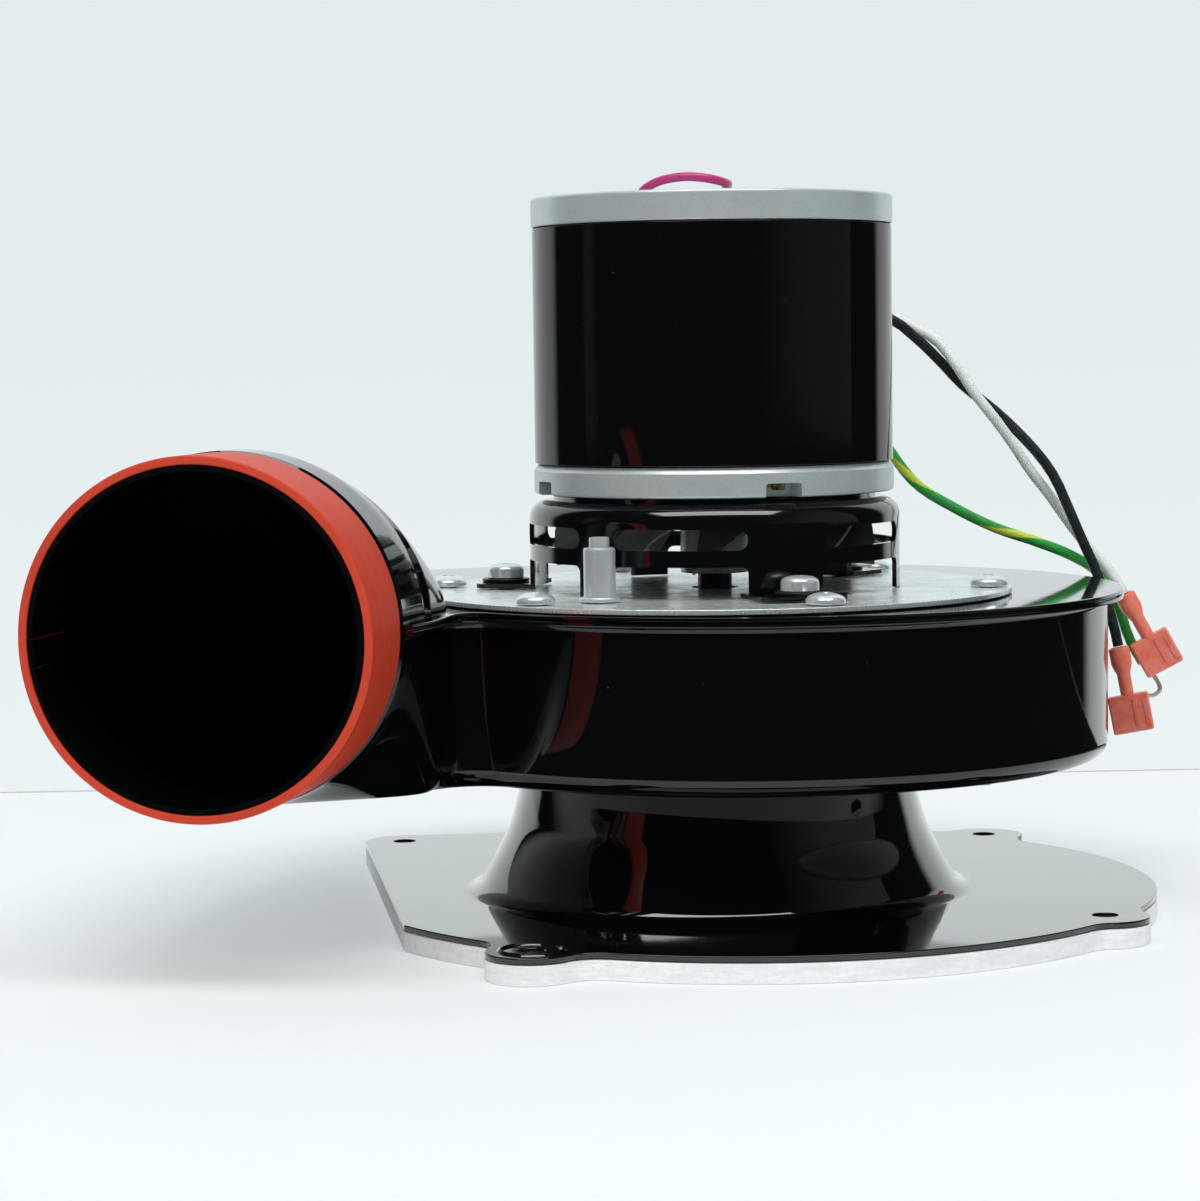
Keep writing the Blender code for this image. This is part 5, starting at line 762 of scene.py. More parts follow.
def pan_skin():
    """Outer face of the pan: half-round neck, its change to a flat floor, and the scroll."""
    thin = FIT_GAP / 3
    neck = (NECK_RADIUS, NECK_RADIUS - thin, SEAM - NECK_RADIUS)
    stations = [(0.0, *neck), (NECK_LENGTH * 0.5, *neck), (NECK_LENGTH - 0.0004, *neck),
                (NECK_LENGTH, *neck), (SHOULDER, DUCT_HALF, DUCT_HALF - thin, PAN_FLOOR),
                (SHOULDER + 0.0004, DUCT_HALF, DUCT_HALF - thin, PAN_FLOOR)]
    for i in range(1, 29):
        share = i / 28
        ease = share * share * (3 - 2 * share)
        depth = SHOULDER + (RIGHT_DEPTH - SHOULDER) * share
        stations.append((depth, DUCT_HALF, (DUCT_HALF - thin) * (1 - ease) + PAN_EDGE_RADIUS * ease,
                         PAN_FLOOR))
    rows = []
    for depth, half, corner, floor in stations:
        side = duct_section(half, corner, floor)
        row = [(*across_point(depth, -out), z) for out, z in side]
        row += [(*across_point(depth, out), z) for out, z in reversed(side[:-1])]
        if half - corner > 2 * thin:
            row.insert(len(side), (*across_point(depth, half - corner), floor))
        rows.append(row)
    columns = [[(*(spot + normal * out), z)
                for out, z in duct_section(0.0, PAN_EDGE_RADIUS, PAN_FLOOR)]
               for spot, normal in wall_path(RIGHT_DEPTH)]
    polygons = []
    for near, far in zip(rows, rows[1:]):
        half_near = len(near) // 2
        half_far = len(far) // 2
        polygons += [(near[i], near[i + 1], far[i + 1], far[i]) for i in range(half_near)]
        polygons += [(near[-1 - i], far[-1 - i], far[-2 - i], near[-2 - i])
                     for i in range(len(near) - 1 - half_near)]
        if len(near) != len(far):
            polygons.append((near[half_near], far[half_far], far[half_far - 1]))
    for near, far in zip(columns, columns[1:]):
        polygons += [(near[i], far[i], far[i + 1], near[i + 1]) for i in range(len(near) - 1)]
    polygons.append(tuple(column[-1] for column in columns))
    verts = [p for polygon in polygons for p in polygon]
    faces = []
    for polygon in polygons:
        start = faces[-1][-1] + 1 if faces else 0
        faces.append(tuple(range(start, start + len(polygon))))
    skin = mended(loose_mesh(verts, faces))
    work = bmesh.new()
    work.from_mesh(skin.data)
    if max(work.faces, key=lambda face: len(face.verts)).normal.z > 0:
        bmesh.ops.reverse_faces(work, faces=work.faces)
    work.to_mesh(skin.data)
    work.free()
    return skin


pan = pan_skin()
step = pan.modifiers.new("sheet", "SOLIDIFY")
step.thickness = SHEET
step.offset = -1.0
step.use_even_offset = True
pan = plain_mesh(pan)
pan = cut(pan, shifted(upright(INLET_RADIUS, -0.004, 0.004, steps=128), 0.0, 0.0, PAN_FLOOR))
low = SEAM - SHEET
fillet = [(RIM_FILLET - RIM_FILLET * math.sin(t), 0.0, low - RIM_FILLET + RIM_FILLET * math.cos(t))
          for t in np.linspace(0.0, math.pi / 2, 7)]
lip = 0.0003
closed_top = SEAM + FIT_GAP * 0.9
section = [(-SHEET / 2, 0.0, closed_top)]
section += [(-out, RIM_WIDTH, height) for out, height in (
    (lip * 4, closed_top), (lip * 4, SEAM), (lip, SEAM), (lip * 0.3, SEAM - lip * 0.3),
                                                          (0.0, SEAM - lip),
    (0.0, low + lip), (lip * 0.3, low + lip * 0.3), (lip, low))]
section += fillet + [(-SHEET / 2, 0.0, low - RIM_FILLET)]
BOSS_PLACE = polar(0.0735, math.radians(-50.0), SCROLL_CENTRE)
BOSS_RADIUS = 0.0024
BOSS_SLOPE = 0.0018
BOSS_DROP = 0.0012
boss_profile = [(0.0, PAN_FLOOR - BOSS_DROP)]
boss_profile += [(BOSS_RADIUS + BOSS_SLOPE * share,
                  PAN_FLOOR - BOSS_DROP * (0.5 + 0.5 * math.cos(math.pi * share)))
                 for share in np.linspace(0.0, 1.0, 9)]
boss_profile.append((0.0, PAN_FLOOR + 0.0002))
pan = together([pan, rim_sweep(section, SHOULDER + FIT_GAP),
                shifted(turned(boss_profile, 48, closed=False), *BOSS_PLACE)])
scroll_enamel = gloss_enamel("scroll enamel", 0.04, 0.06, 0.02, 0.5)
finished(pan, "scroll_pan_shell", scroll_enamel, "housing", "scroll_pan")


# Scroll cover: 1 mm steel laid on the pan's lip, with the upper half of the outlet pressed up
# out of it and a wide bore that the motor plate closes.
COVER_LOW = SEAM + FIT_GAP
COVER_TOP = COVER_LOW + SHEET
COVER_BORE_RADIUS = 0.0600
PLATE_RADIUS = 0.0692
DOME_STRAIGHT = 0.0100
DOME_LENGTH = 0.0760
DOME_PLATE_CLEARANCE = 0.0035
DOME_STEPS = 64
CUT_OVERRUN = 0.002


def dome_stations(wall):
    """Stations of the raised half of the outlet: (depth, left, right, rise), less a wall."""
    found = []
    for depth in (-0.0020 if wall else 0.0, NECK_LENGTH * 0.5, NECK_LENGTH):
        found.append((depth, NECK_RADIUS - wall, NECK_RADIUS - wall, NECK_RADIUS - wall))
    full = DUCT_HALF - wall
    found.append((SHOULDER, full, full, full))
    end = SHOULDER + DOME_LENGTH
    clear = PLATE_RADIUS + DOME_PLATE_CLEARANCE
    count = 48
    for i in range(1, count + 1):
        depth = SHOULDER + (DOME_LENGTH - 0.0004) * i / count
        centre = OUTLET + INWARD * depth
        right_side = DUCT_HALF
        beside = centre.dot(ACROSS)
        free = clear ** 2 - centre.length_squared + beside ** 2
        if free > 0.0:
            limit = -beside - math.sqrt(free)
            soft = DOME_PLATE_CLEARANCE
            gap = math.sqrt((DUCT_HALF - limit) ** 2 + soft ** 2)
            right_side = (DUCT_HALF + limit - gap) / 2 + soft / 4
        fall = max(0.0, (depth - SHOULDER - DOME_STRAIGHT) / (end - SHOULDER - DOME_STRAIGHT))
        rise = DUCT_HALF * (0.5 + 0.5 * math.cos(math.pi * min(fall, 1.0)))
        found.append((depth, DUCT_HALF - wall, right_side - wall, rise - wall))
    return found


def dome_solid(wall, base):
    """The raised half of the outlet as a solid, standing on a given height."""
    rings = []
    for depth, left, right_side, rise in dome_stations(wall):
        rise = max(rise, base - SEAM + FIT_GAP)
        middle = (right_side - left) / 2
        half = (right_side + left) / 2
        first = math.asin(max(0.0, min(1.0, (base - SEAM) / rise)))
        points = []
        for i in range(DOME_STEPS + 1):
            bearing = first + (math.pi - 2 * first) * i / DOME_STEPS
            spot = across_point(depth, middle + half * math.cos(bearing))
            points.append((*spot, SEAM + rise * math.sin(bearing)))
        if base < SEAM:
            points += [(*across_point(depth, middle - half), base),
                       (*across_point(depth, middle + half), base)]
        rings.append(points)
    return lofted(rings)


rings = []
for inset, height in ((0.0004, COVER_TOP), (0.00012, COVER_TOP - 0.00012),
                      (0.0, COVER_TOP - 0.0004),
                      (0.0, COVER_LOW + 0.0003), (0.0003, COVER_LOW)):
    rings.append([(*(spot + normal * (RIM_WIDTH * rim_share(spot) - inset)), height)
                  for spot, normal in wall_path(SHOULDER + FIT_GAP)])
cover = cut(lofted(rings), dome_solid(0.0, COVER_LOW + 0.0001), "UNION")
cover = cut(cover,
            upright(COVER_BORE_RADIUS, COVER_LOW - CUT_OVERRUN, COVER_TOP + CUT_OVERRUN, steps=128))
cover = cut(cover, dome_solid(SHEET, COVER_LOW - CUT_OVERRUN))
finished(cover, "scroll_cover_shell", scroll_enamel, "housing", "scroll_cover", sharp=30.0)


# Outlet sleeve: a moulded red silicone band pushed over the neck, its end flush with the mouth.
SLEEVE_LENGTH = 0.0226
SLEEVE_WALL = 0.0019


def outlet_matrix(depth):
    """Turns a piece made about Z, with its top towards the mouth, on to the outlet axis."""
    centre = OUTLET + INWARD * depth
    return (Matrix.Translation((*centre, SEAM)) @ Matrix.Rotation(-OUTLET_BEARING, 4, "Z")
            @ Matrix.Rotation(math.pi / 2, 4, "X"))


def rounded_ring(inner, outer, low, high, ease, steps=4):
    """Section of a ring whose four corners are rounded."""
    points = []
    for quarter, (radius,
                  height) in enumerate(((outer - ease, high - ease), (outer - ease, low + ease),
                                                (inner + ease, low + ease),
                                        (inner + ease, high - ease))):
        start = math.pi / 2 * (1 - quarter)
        points += arc((radius, height), ease, start, start - math.pi / 2, steps)
    return points


sleeve_inner = NECK_RADIUS + FIT_GAP
sleeve = turned(rounded_ring(sleeve_inner, sleeve_inner + SLEEVE_WALL, -SLEEVE_LENGTH, 0.0,
                             0.00045), 192)
silicone, tree, shader = new_material("red silicone", (0.60, 0.052, 0.020), 0.0, 0.46)
shader.inputs["Specular IOR Level"].default_value = 0.25
shader.inputs["Subsurface Weight"].default_value = 0.08
shader.inputs["Subsurface Radius"].default_value = (0.003, 0.0008, 0.0004)
mouth = Matrix.Rotation(OUTLET_BEARING, 4, "Z") @ (OUTLET + MOTOR_AXIS.xy).to_3d()
band_spot = place_on(tree, (-mouth.x, -mouth.y, -SEAM), (0.0, 0.0, OUTLET_BEARING))
round_lines = noise_on(tree, pattern(tree, "ShaderNodeMapping", band_spot,
                                     Scale=(25.0, 1600.0, 25.0))["Vector"], 1.0, 3.0)
dent(tree, shader, round_lines, 0.15, 0.0002)
dent(tree, shader, noise_on(tree, band_spot, 900.0, 4.0), 0.12, 0.0002)
chalk = number(tree, "MULTIPLY", specks(tree, band_spot, 300.0, 0.06, 0.10), 0.5)
body_tone = blend_colours(tree, spread(tree, round_lines, 0.3, 0.7),
                          (0.56, 0.046, 0.018), (0.66, 0.060, 0.024))
feed(tree, shader.inputs["Base Color"], blend_colours(tree, chalk, body_tone, (0.75, 0.45, 0.38)))
finished(moved(sleeve, outlet_matrix(0.0)), "outlet_band", silicone, "housing", "outlet_sleeve")


# Motor plate: a round zinc-plated disc, screwed on the cover over its bore. It carries the motor.
PLATE_SHEET = 0.0012
PLATE_LOW = COVER_TOP + FIT_GAP
PLATE_TOP = PLATE_LOW + PLATE_SHEET
PLATE_SCREW_CIRCLE = 0.0640
SCREW_BEARING = math.radians(-72.0)
FOOT_SCREW_CIRCLE = 0.0500
SHANK_RADIUS = 0.0019
SHAFT_RADIUS = 0.00397
TAP_PLACE = polar(0.0516, math.radians(-123.5))


def zinc_finish(name, tone, roughness, streak):
    """Bright zinc plating on rolled steel: soft cloudy patches and a fine rolled grain."""
    made, tree, shader = new_material(name, tone, 0.6, roughness)
    cloud = noise_on(tree, place_on(tree), 90.0, 5.0, Roughness=0.6)
    rolled = noise_on(tree, place_on(tree, stretch=(60.0, 2400.0, 60.0)), 1.0, 2.0)
    mix = number(tree, "ADD", number(tree, "MULTIPLY", cloud, 0.65),
                 number(tree, "MULTIPLY", rolled, 0.35))
    feed(tree, shader.inputs["Base Color"],
         blend_colours(tree, spread(tree, mix, 0.35, 0.65), tuple(c * 0.93 for c in tone),
                       tuple(min(1.0, c * 1.06) for c in tone)))
    feed(tree, shader.inputs["Roughness"],
         spread(tree, mix, 0.3, 0.7, roughness * 1.5, roughness * 0.75))
    dent(tree, shader, rolled, 0.03 * streak, 0.0001)
    dent(tree, shader, cloud, 0.02, 0.0002)
    return made


def ring_of_places(radius, count):
    return [polar(radius, SCREW_BEARING + math.tau * i / count) for i in range(count)]


plate_loops = [round_loop((0.0, 0.0), PLATE_RADIUS, 256)]
plate_loops += [round_loop(p, SHANK_RADIUS + FIT_GAP, 24)
                for p in ring_of_places(PLATE_SCREW_CIRCLE, 6)
                + ring_of_places(FOOT_SCREW_CIRCLE, 3)]
plate_loops += [round_loop((0.0, 0.0), SHAFT_RADIUS + 0.0016, 32),
                round_loop(TAP_PLACE, 0.0027, 24)]
finished(flat_sheet(plate_loops, PLATE_LOW, PLATE_TOP, 0.00022), "motor_plate_disc",
         zinc_finish("zinc plate", (0.80, 0.86, 0.86), 0.24, 1.0), "housing", "motor_plate")


# Plate screws: six low truss-head screws with a cross recess, zinc plated, evenly spaced.
def ring_tree():
    """Sets copies of the piece round the motor axis, each turned with its place."""
    tree = bpy.data.node_groups.new("Like pieces in a ring", "GeometryNodeTree")
    for name, kind in (("Piece", "Geometry"), ("Count", "Int"), ("Radius", "Float"),
                       ("First bearing", "Float"),
                       ("Height", "Float"), ("Loose turn", "Float"), ("Seed", "Int"),
                       ("Finish", "Material")):
        tree.interface.new_socket(name, in_out="INPUT", socket_type="NodeSocket" + kind)
    tree.interface.new_socket("Pieces", in_out="OUTPUT", socket_type="NodeSocketGeometry")
    given = add(tree, "NodeGroupInput").outputs
    circle = joined(tree, "GeometryNodeMeshCircle", None, ("Vertices", "Radius"),
                    (given["Count"], given["Radius"]))[0]
    bearing = number(tree, "MULTIPLY", number(tree, "DIVIDE", math.tau, given["Count"]),
                     add(tree, "GeometryNodeInputIndex").outputs[0])
    loose = add(tree, "FunctionNodeRandomValue", {"data_type": "FLOAT"})
    least, most = [s for s in loose.inputs if s.type == "VALUE" and s.name in ("Min", "Max")]
    feed(tree, least, number(tree, "MULTIPLY", given["Loose turn"], -1.0))
    feed(tree, most, given["Loose turn"])
    feed(tree, loose.inputs["Seed"], given["Seed"])
    turn = number(tree, "ADD", bearing, [s for s in loose.outputs if s.type == "VALUE"][0])

    def along_z(value):
        return joined(tree, "ShaderNodeCombineXYZ", None, ("Z",), (value,))[0]

    spin = joined(tree, "FunctionNodeEulerToRotation", None, (0,), (along_z(turn),))[0]
    copies = joined(tree, "GeometryNodeInstanceOnPoints", None, ("Points", "Instance", "Rotation"),
                    (circle, given["Piece"], spin))[0]
    place = joined(tree, "GeometryNodeTransform", None, ("Geometry", "Rotation", "Translation"),
                   (copies, along_z(given["First bearing"]), along_z(given["Height"])))[0]
    real = joined(tree, "GeometryNodeRealizeInstances", None, (0,), (place,))[0]
    coat = joined(tree, "GeometryNodeSetMaterial", None, ("Geometry", "Material"),
                  (real, given["Finish"]))[0]
    feed(tree, add(tree, "NodeGroupOutput").inputs[0], coat)
    return tree


RING_TREE = ring_tree()


def ring_of(piece, made, **sizes):
    """The ring of like pieces as one plain mesh."""
    step = piece.modifiers.new("ring", "NODES")
    step.node_group = RING_TREE
    keys = {item.name: item.identifier for item in RING_TREE.interface.items_tree
            if item.in_out == "INPUT"}
    given = {"Count": 3, "Radius": 0.0, "First bearing": SCREW_BEARING, "Height": 0.0,
             "Loose turn": 0.0, "Seed": 7, "Finish": made}
    given.update({key.replace("_", " "): value for key, value in sizes.items()})
    for name, value in given.items():
        step[keys[name]] = value
    return plain_mesh(piece)


def numbered(stem, count):
    return ["%s_%d" % (stem, i) for i in range(1, count + 1)]


def cross_recess(top, length, width, depth):
    """A tapered cross-shaped tool for a screw head."""
    rings = []
    for height, share in ((top + 0.0005, 1.1), (top - depth, 0.62)):
        near = width / 2 * (0.75 + 0.25 * share)
        far = length / 2 * share
        points = []
        for i in range(4):
            spin = Matrix.Rotation(math.pi / 2 * i, 2)
            points += [(*(spin @ Vector(p)), height)
                       for p in ((far, -near), (far, near), (near, near))]
        rings.append(points)
    return lofted(rings)


def screw_blank(radius, height, rim, crown, shank, depth, steps=48):
    """A screw with a domed head: rim is its straight side, crown how full the dome is."""
    profile = [(0.0, height)]
    for i in range(1, 11):
        bearing = math.pi / 2 * (1 - i / 10)
        profile.append((radius * math.cos(bearing) ** crown,
                        rim + (height - rim) * math.sin(bearing)))
    profile += [(radius, 0.0002), (radius - 0.0002, 0.0), (shank, 0.0), (shank, -depth + 0.0005),
                (shank - 0.0005, -depth), (0.0, -depth)]
    return turned(profile, steps, closed=False)


def recessed(blank, top, length, width, depth):
    """A screw with its cross recess cut and its edges just broken."""
    return eased(cut(blank, cross_recess(top, length, width, depth)), 0.00008, 50.0, 1)


screw_zinc = zinc_finish("zinc screw", (0.80, 0.85, 0.86), 0.20, 0.3)
plate_screw = recessed(screw_blank(0.0044, 0.0026, 0.0006, 1.0, SHANK_RADIUS, 0.0042),
                       0.0026, 0.0038, 0.0009, 0.0013)
finished(ring_of(plate_screw, screw_zinc, Count=6, Radius=PLATE_SCREW_CIRCLE,
                 Height=PLATE_TOP + FIT_GAP, Loose_turn=1.4, Seed=3),
         "plate_screws", screw_zinc, "housing", *numbered("plate_screw", 6))


# Pressure tap: a small turned spigot with a narrower tip, for the hose of a pressure switch.
tap_profile = [(0.00185, 0.0142), (0.00215, 0.0141), (0.00225, 0.0138), (0.00225, 0.0119),
               (0.0028, 0.0119), (0.00335, 0.0118), (0.0035, 0.0115), (0.00355, 0.0111),
               (0.00355, 0.0013),
               (0.0037, 0.0009), (0.0044, 0.0009), (0.0046, 0.0007), (0.0046, 0.0), (0.0024, 0.0),
               (0.0024, -0.0040), (0.0012, -0.0040), (0.0012, 0.0142)]
tap = turned([(r, z + PLATE_TOP + FIT_GAP) for r, z in tap_profile], 64)
turned_zinc, tree, shader = new_material("turned zinc", (0.74, 0.80, 0.82), 0.6, 0.30)
tooled = noise_on(tree, place_on(tree, stretch=(40.0, 40.0, 1500.0)), 1.0, 2.0)
dent(tree, shader, tooled, 0.008, 0.0001)
feed(tree, shader.inputs["Roughness"], spread(tree, tooled, 0.3, 0.7, 0.30, 0.38))
feed(tree, shader.inputs["Base Color"],
     blend_colours(tree, tooled, (0.70, 0.76, 0.78), (0.78, 0.84, 0.86)))
finished(shifted(tap, *TAP_PLACE), "tap_spigot", turned_zinc, "housing", "pressure_tap")


# Motor bracket: a drawn black cup that holds the motor off the hot scroll. Slots and windows
# pierced through its wall let the cooling fan draw air, and three feet are folded out.
BRACKET_RADIUS = 0.0433
BRACKET_SHEET = 0.0011
BRACKET_TOP = 0.0976
BRACKET_CORNER = 0.0045
BRACKET_BORE_RADIUS = 0.0130
SLOT_LOW = 0.0874
SLOT_HIGH = 0.0921
WINDOW_HIGH = 0.0837
WINDOW_CORNER = 0.0016
LEG_ANGLE = math.radians(24.0)
POST_ANGLE = math.radians(13.0)
FOOT_RADIUS = 0.0556
FOOT_HALF_WIDTH = 0.0105
FOOT_CORNER = 0.0035
FOOT_LOW = PLATE_TOP + FIT_GAP
FOOT_TOP = FOOT_LOW + BRACKET_SHEET
SEAT_INNER = 0.0256
SEAT_OUTER = 0.0376
SEAT_RISE = 0.00128


def radial_tool(points, inner, outer, bearing):
    """An upright outline pushed outward along a bearing, from one radius to another."""
    out = Vector((math.cos(bearing), math.sin(bearing), 0.0))
    side = Vector((-math.sin(bearing), math.cos(bearing), 0.0))
    return lofted([[out * reach + side * p[0] + Vector((0.0, 0.0, p[1])) for p in points]
                   for reach in (inner, outer)])


def rounded_box(half_width, low, high, corner, steps=6):
    """Upright outline with round corners, in the plane of (across, height)."""
    points = []
    for quarter, (x, z) in enumerate(((half_width - corner, high - corner),
                                      (corner - half_width, high - corner),
                                      (corner - half_width, low + corner),
                                      (half_width - corner, low + corner))):
        start = quarter * math.pi / 2
        points += arc((x, z), corner, start, start + math.pi / 2, steps)
    return points


cup_inner = BRACKET_RADIUS - BRACKET_SHEET
crown = BRACKET_CORNER - BRACKET_SHEET
cup_profile = [(BRACKET_BORE_RADIUS, BRACKET_TOP)]
cup_profile += arc((BRACKET_RADIUS - BRACKET_CORNER, BRACKET_TOP - BRACKET_CORNER),
                   BRACKET_CORNER, math.pi / 2, 0.0, 10)
cup_profile += [(BRACKET_RADIUS, FOOT_LOW), (cup_inner, FOOT_LOW)]
cup_profile += arc((cup_inner - crown, BRACKET_TOP - BRACKET_SHEET - crown), crown, 0.0,
                   math.pi / 2, 8)
cup_profile.append((BRACKET_BORE_RADIUS, BRACKET_TOP - BRACKET_SHEET))
cup = turned(cup_profile, 180)
opening = (math.tau / 3 - LEG_ANGLE - POST_ANGLE) / 2
half_opening = BRACKET_RADIUS * math.sin(opening / 2)
aside = (LEG_ANGLE + opening) / 2
cut_from = BRACKET_RADIUS * math.cos(opening / 2) - BRACKET_SHEET - CUT_OVERRUN
slot = rounded_box(half_opening, SLOT_LOW, SLOT_HIGH, (SLOT_HIGH - SLOT_LOW) / 2 - 0.00002)
window = rounded_box(half_opening, FOOT_LOW - CUT_OVERRUN, WINDOW_HIGH, WINDOW_CORNER)
foot_bearings = [SCREW_BEARING + math.tau / 3 * i for i in range(3)]
cup = cut(cup, together([radial_tool(points, cut_from, BRACKET_RADIUS + CUT_OVERRUN,
                                     bearing + side * aside)
                         for bearing in foot_bearings for side in (-1, 1)
                         for points in (slot, window)]))
near = cup_inner + 0.0002
near_half = math.sqrt(near ** 2 - FOOT_HALF_WIDTH ** 2)
foot_loop = [(near_half, FOOT_HALF_WIDTH)]
foot_loop += [polar(near, math.asin(FOOT_HALF_WIDTH / near) * s)
              for s in (0.6, 0.3, 0.0, -0.3, -0.6)]
foot_loop.append((near_half, -FOOT_HALF_WIDTH))
foot_loop += arc((FOOT_RADIUS - FOOT_CORNER, FOOT_CORNER - FOOT_HALF_WIDTH), FOOT_CORNER,
                 -math.pi / 2, 0.0, 8)
foot_loop += arc((FOOT_RADIUS - FOOT_CORNER, FOOT_HALF_WIDTH - FOOT_CORNER), FOOT_CORNER,
                 0.0, math.pi / 2, 8)
foot_hole = round_loop((FOOT_SCREW_CIRCLE, 0.0), SHANK_RADIUS + FIT_GAP, 24)
feet = [moved(flat_sheet([foot_loop, foot_hole], FOOT_LOW + 0.0001, FOOT_TOP),
              Matrix.Rotation(bearing, 4, "Z")) for bearing in foot_bearings]
cup = cut(cup, together(feet), "UNION")
seat = turned([(SEAT_INNER, BRACKET_TOP + SEAT_RISE),
               (SEAT_OUTER - 0.0004, BRACKET_TOP + SEAT_RISE),
               (SEAT_OUTER, BRACKET_TOP + SEAT_RISE - 0.00038), (SEAT_OUTER, BRACKET_TOP - 0.0003),
               (SEAT_INNER, BRACKET_TOP - 0.0003)], 128)
bracket_enamel = gloss_enamel("bracket enamel", 0.09, 0.12, 0.02, 0.7)
finished(eased(together([cup, seat]), 0.00022, 40.0, 2), "slotted_bracket", bracket_enamel,
         "housing",
         "motor_bracket")


# Foot screws: three pan-head screws, zinc plated, each over a black spring-steel washer.
SETTLED = 0.00005
WASHER_SHEET = 0.0007
WASHER_RADIUS = 0.0056
WASHER_LOW = FOOT_TOP + SETTLED
black_oxide = grained("black oxide", ((0.012, 0.013, 0.014), (0.03, 0.031, 0.033)), 0.6, 0.32,
                      rough=(0.22, 0.45), relief=(0.15, 0.0002), soft=False, Scale=500.0,
                      Detail=4.0)
washer = turned(rounded_ring(SHANK_RADIUS + FIT_GAP, WASHER_RADIUS, 0.0, WASHER_SHEET, 0.0002), 48)
finished(ring_of(washer, black_oxide, Radius=FOOT_SCREW_CIRCLE, Height=WASHER_LOW),
         "foot_washers", black_oxide, "housing", *numbered("foot_washer", 3))
foot_screw = recessed(screw_blank(0.0043, 0.0034, 0.0018, 0.55, SHANK_RADIUS, 0.0068),
                      0.0034, 0.0042, 0.0010, 0.0017)
finished(ring_of(foot_screw, screw_zinc, Radius=FOOT_SCREW_CIRCLE,
                 Height=WASHER_LOW + WASHER_SHEET + SETTLED, Loose_turn=1.2, Seed=5),
         "foot_screws", screw_zinc, "housing", *numbered("foot_screw", 3))


# Motor end caps: die-cast alloy, skimmed on a lathe, spigoted into the shell and drawn together
# by the through-bolts. Curved vents ring the bearing boss, notches show the bolt ends.
MOTOR_BOTTOM = 0.0989
MOTOR_TOP = 0.1673
SHELL_RADIUS = 0.0418
CAP_RADIUS = 0.0420
TOP_CAP_LOW = MOTOR_TOP - 0.0067
BOTTOM_CAP_TOP = MOTOR_BOTTOM + 0.0068
CAP_EDGE = 0.0008
CAP_WEB = 0.0035
CAP_BOSS_RADIUS = 0.0125
TOP_BOSS_RISE = 0.0012
BOSS_DEPTH = 0.0060
BEARING_BORE = 0.0085 + FIT_GAP
BOLT_CIRCLE = 0.0383
BOLT_RADIUS = 0.00165
BOLT_HEAD_RADIUS = 0.0029
BOLT_HEAD_HEIGHT = 0.0018
BOLT_END = 0.1005
VENT_CIRCLE = 0.0240
VENT_WIDTH = 0.0060
VENT_SPAN = math.radians(29.0)
NOTCH_WIDTH = 0.0086
NOTCH_HEIGHT = 0.0032
NOTCH_DEPTH = 0.0062
JUMPER_EYES = ((-0.0160, 0.0040), (0.0042, 0.0152))
cast_alloy, tree, shader = new_material("cast alloy", (0.60, 0.66, 0.66), 0.45, 0.36)
grain = noise_on(tree, place_on(tree), 2400.0, 3.0)
skim = noise_on(tree, place_on(tree, stretch=(30.0, 30.0, 3200.0)), 1.0, 3.0)
stain = noise_on(tree, place_on(tree), 70.0, 4.0)
dent(tree, shader, grain, 0.05, 0.0001)
dent(tree, shader, skim, 0.15, 0.0002)
feed(tree, shader.inputs["Roughness"], spread(tree, stain, 0.3, 0.7, 0.30, 0.38))
feed(tree, shader.inputs["Base Color"],
     blend_colours(tree, spread(tree, grain, 0.3, 0.7), (0.57, 0.63, 0.63), (0.63, 0.69, 0.69)))


def vent_tools(low, high):
    tools = []
    for i in range(4):
        middle = SCREW_BEARING + math.tau / 4 * (i + 0.5)
        loop = arc((0.0, 0.0), VENT_CIRCLE + VENT_WIDTH / 2, middle - VENT_SPAN,
                   middle + VENT_SPAN, 24)
        loop += arc((0.0, 0.0), VENT_CIRCLE - VENT_WIDTH / 2, middle + VENT_SPAN,
                    middle - VENT_SPAN, 24)
        tools.append(flat_sheet([loop], low, high))
    return tools


bolt_places = ring_of_places(BOLT_CIRCLE, 4)
hollow = SHELL_RADIUS - 0.0028
boss_top = MOTOR_TOP + TOP_BOSS_RISE
top_profile = [(0.0, boss_top), (CAP_BOSS_RADIUS - 0.0003, boss_top),
               (CAP_BOSS_RADIUS, boss_top - 0.0003), (CAP_BOSS_RADIUS, MOTOR_TOP)]
top_profile += arc((CAP_RADIUS - CAP_EDGE, MOTOR_TOP - CAP_EDGE), CAP_EDGE, math.pi / 2, 0.0, 3)
top_profile += [(CAP_RADIUS, TOP_CAP_LOW + 0.0003), (CAP_RADIUS - 0.0003, TOP_CAP_LOW),
                (hollow, TOP_CAP_LOW), (hollow, MOTOR_TOP - CAP_WEB),
                (CAP_BOSS_RADIUS, MOTOR_TOP - CAP_WEB),
                (CAP_BOSS_RADIUS, TOP_CAP_LOW - BOSS_DEPTH),
                (BEARING_BORE, TOP_CAP_LOW - BOSS_DEPTH),
                (BEARING_BORE, boss_top - 0.0006), (0.0, boss_top - 0.0006)]
tools = vent_tools(MOTOR_TOP - CAP_WEB - CUT_OVERRUN, MOTOR_TOP + CUT_OVERRUN)
tools += [upright(BOLT_HEAD_RADIUS + FIT_GAP, MOTOR_TOP - BOLT_HEAD_HEIGHT - FIT_GAP,
                  MOTOR_TOP + CUT_OVERRUN, p) for p in bolt_places]
tools += [upright(0.0019, MOTOR_TOP - CAP_WEB - CUT_OVERRUN, MOTOR_TOP + CUT_OVERRUN, p)
          for p in JUMPER_EYES]
top_cap = cut(turned(top_profile, 192, closed=False), together(tools))
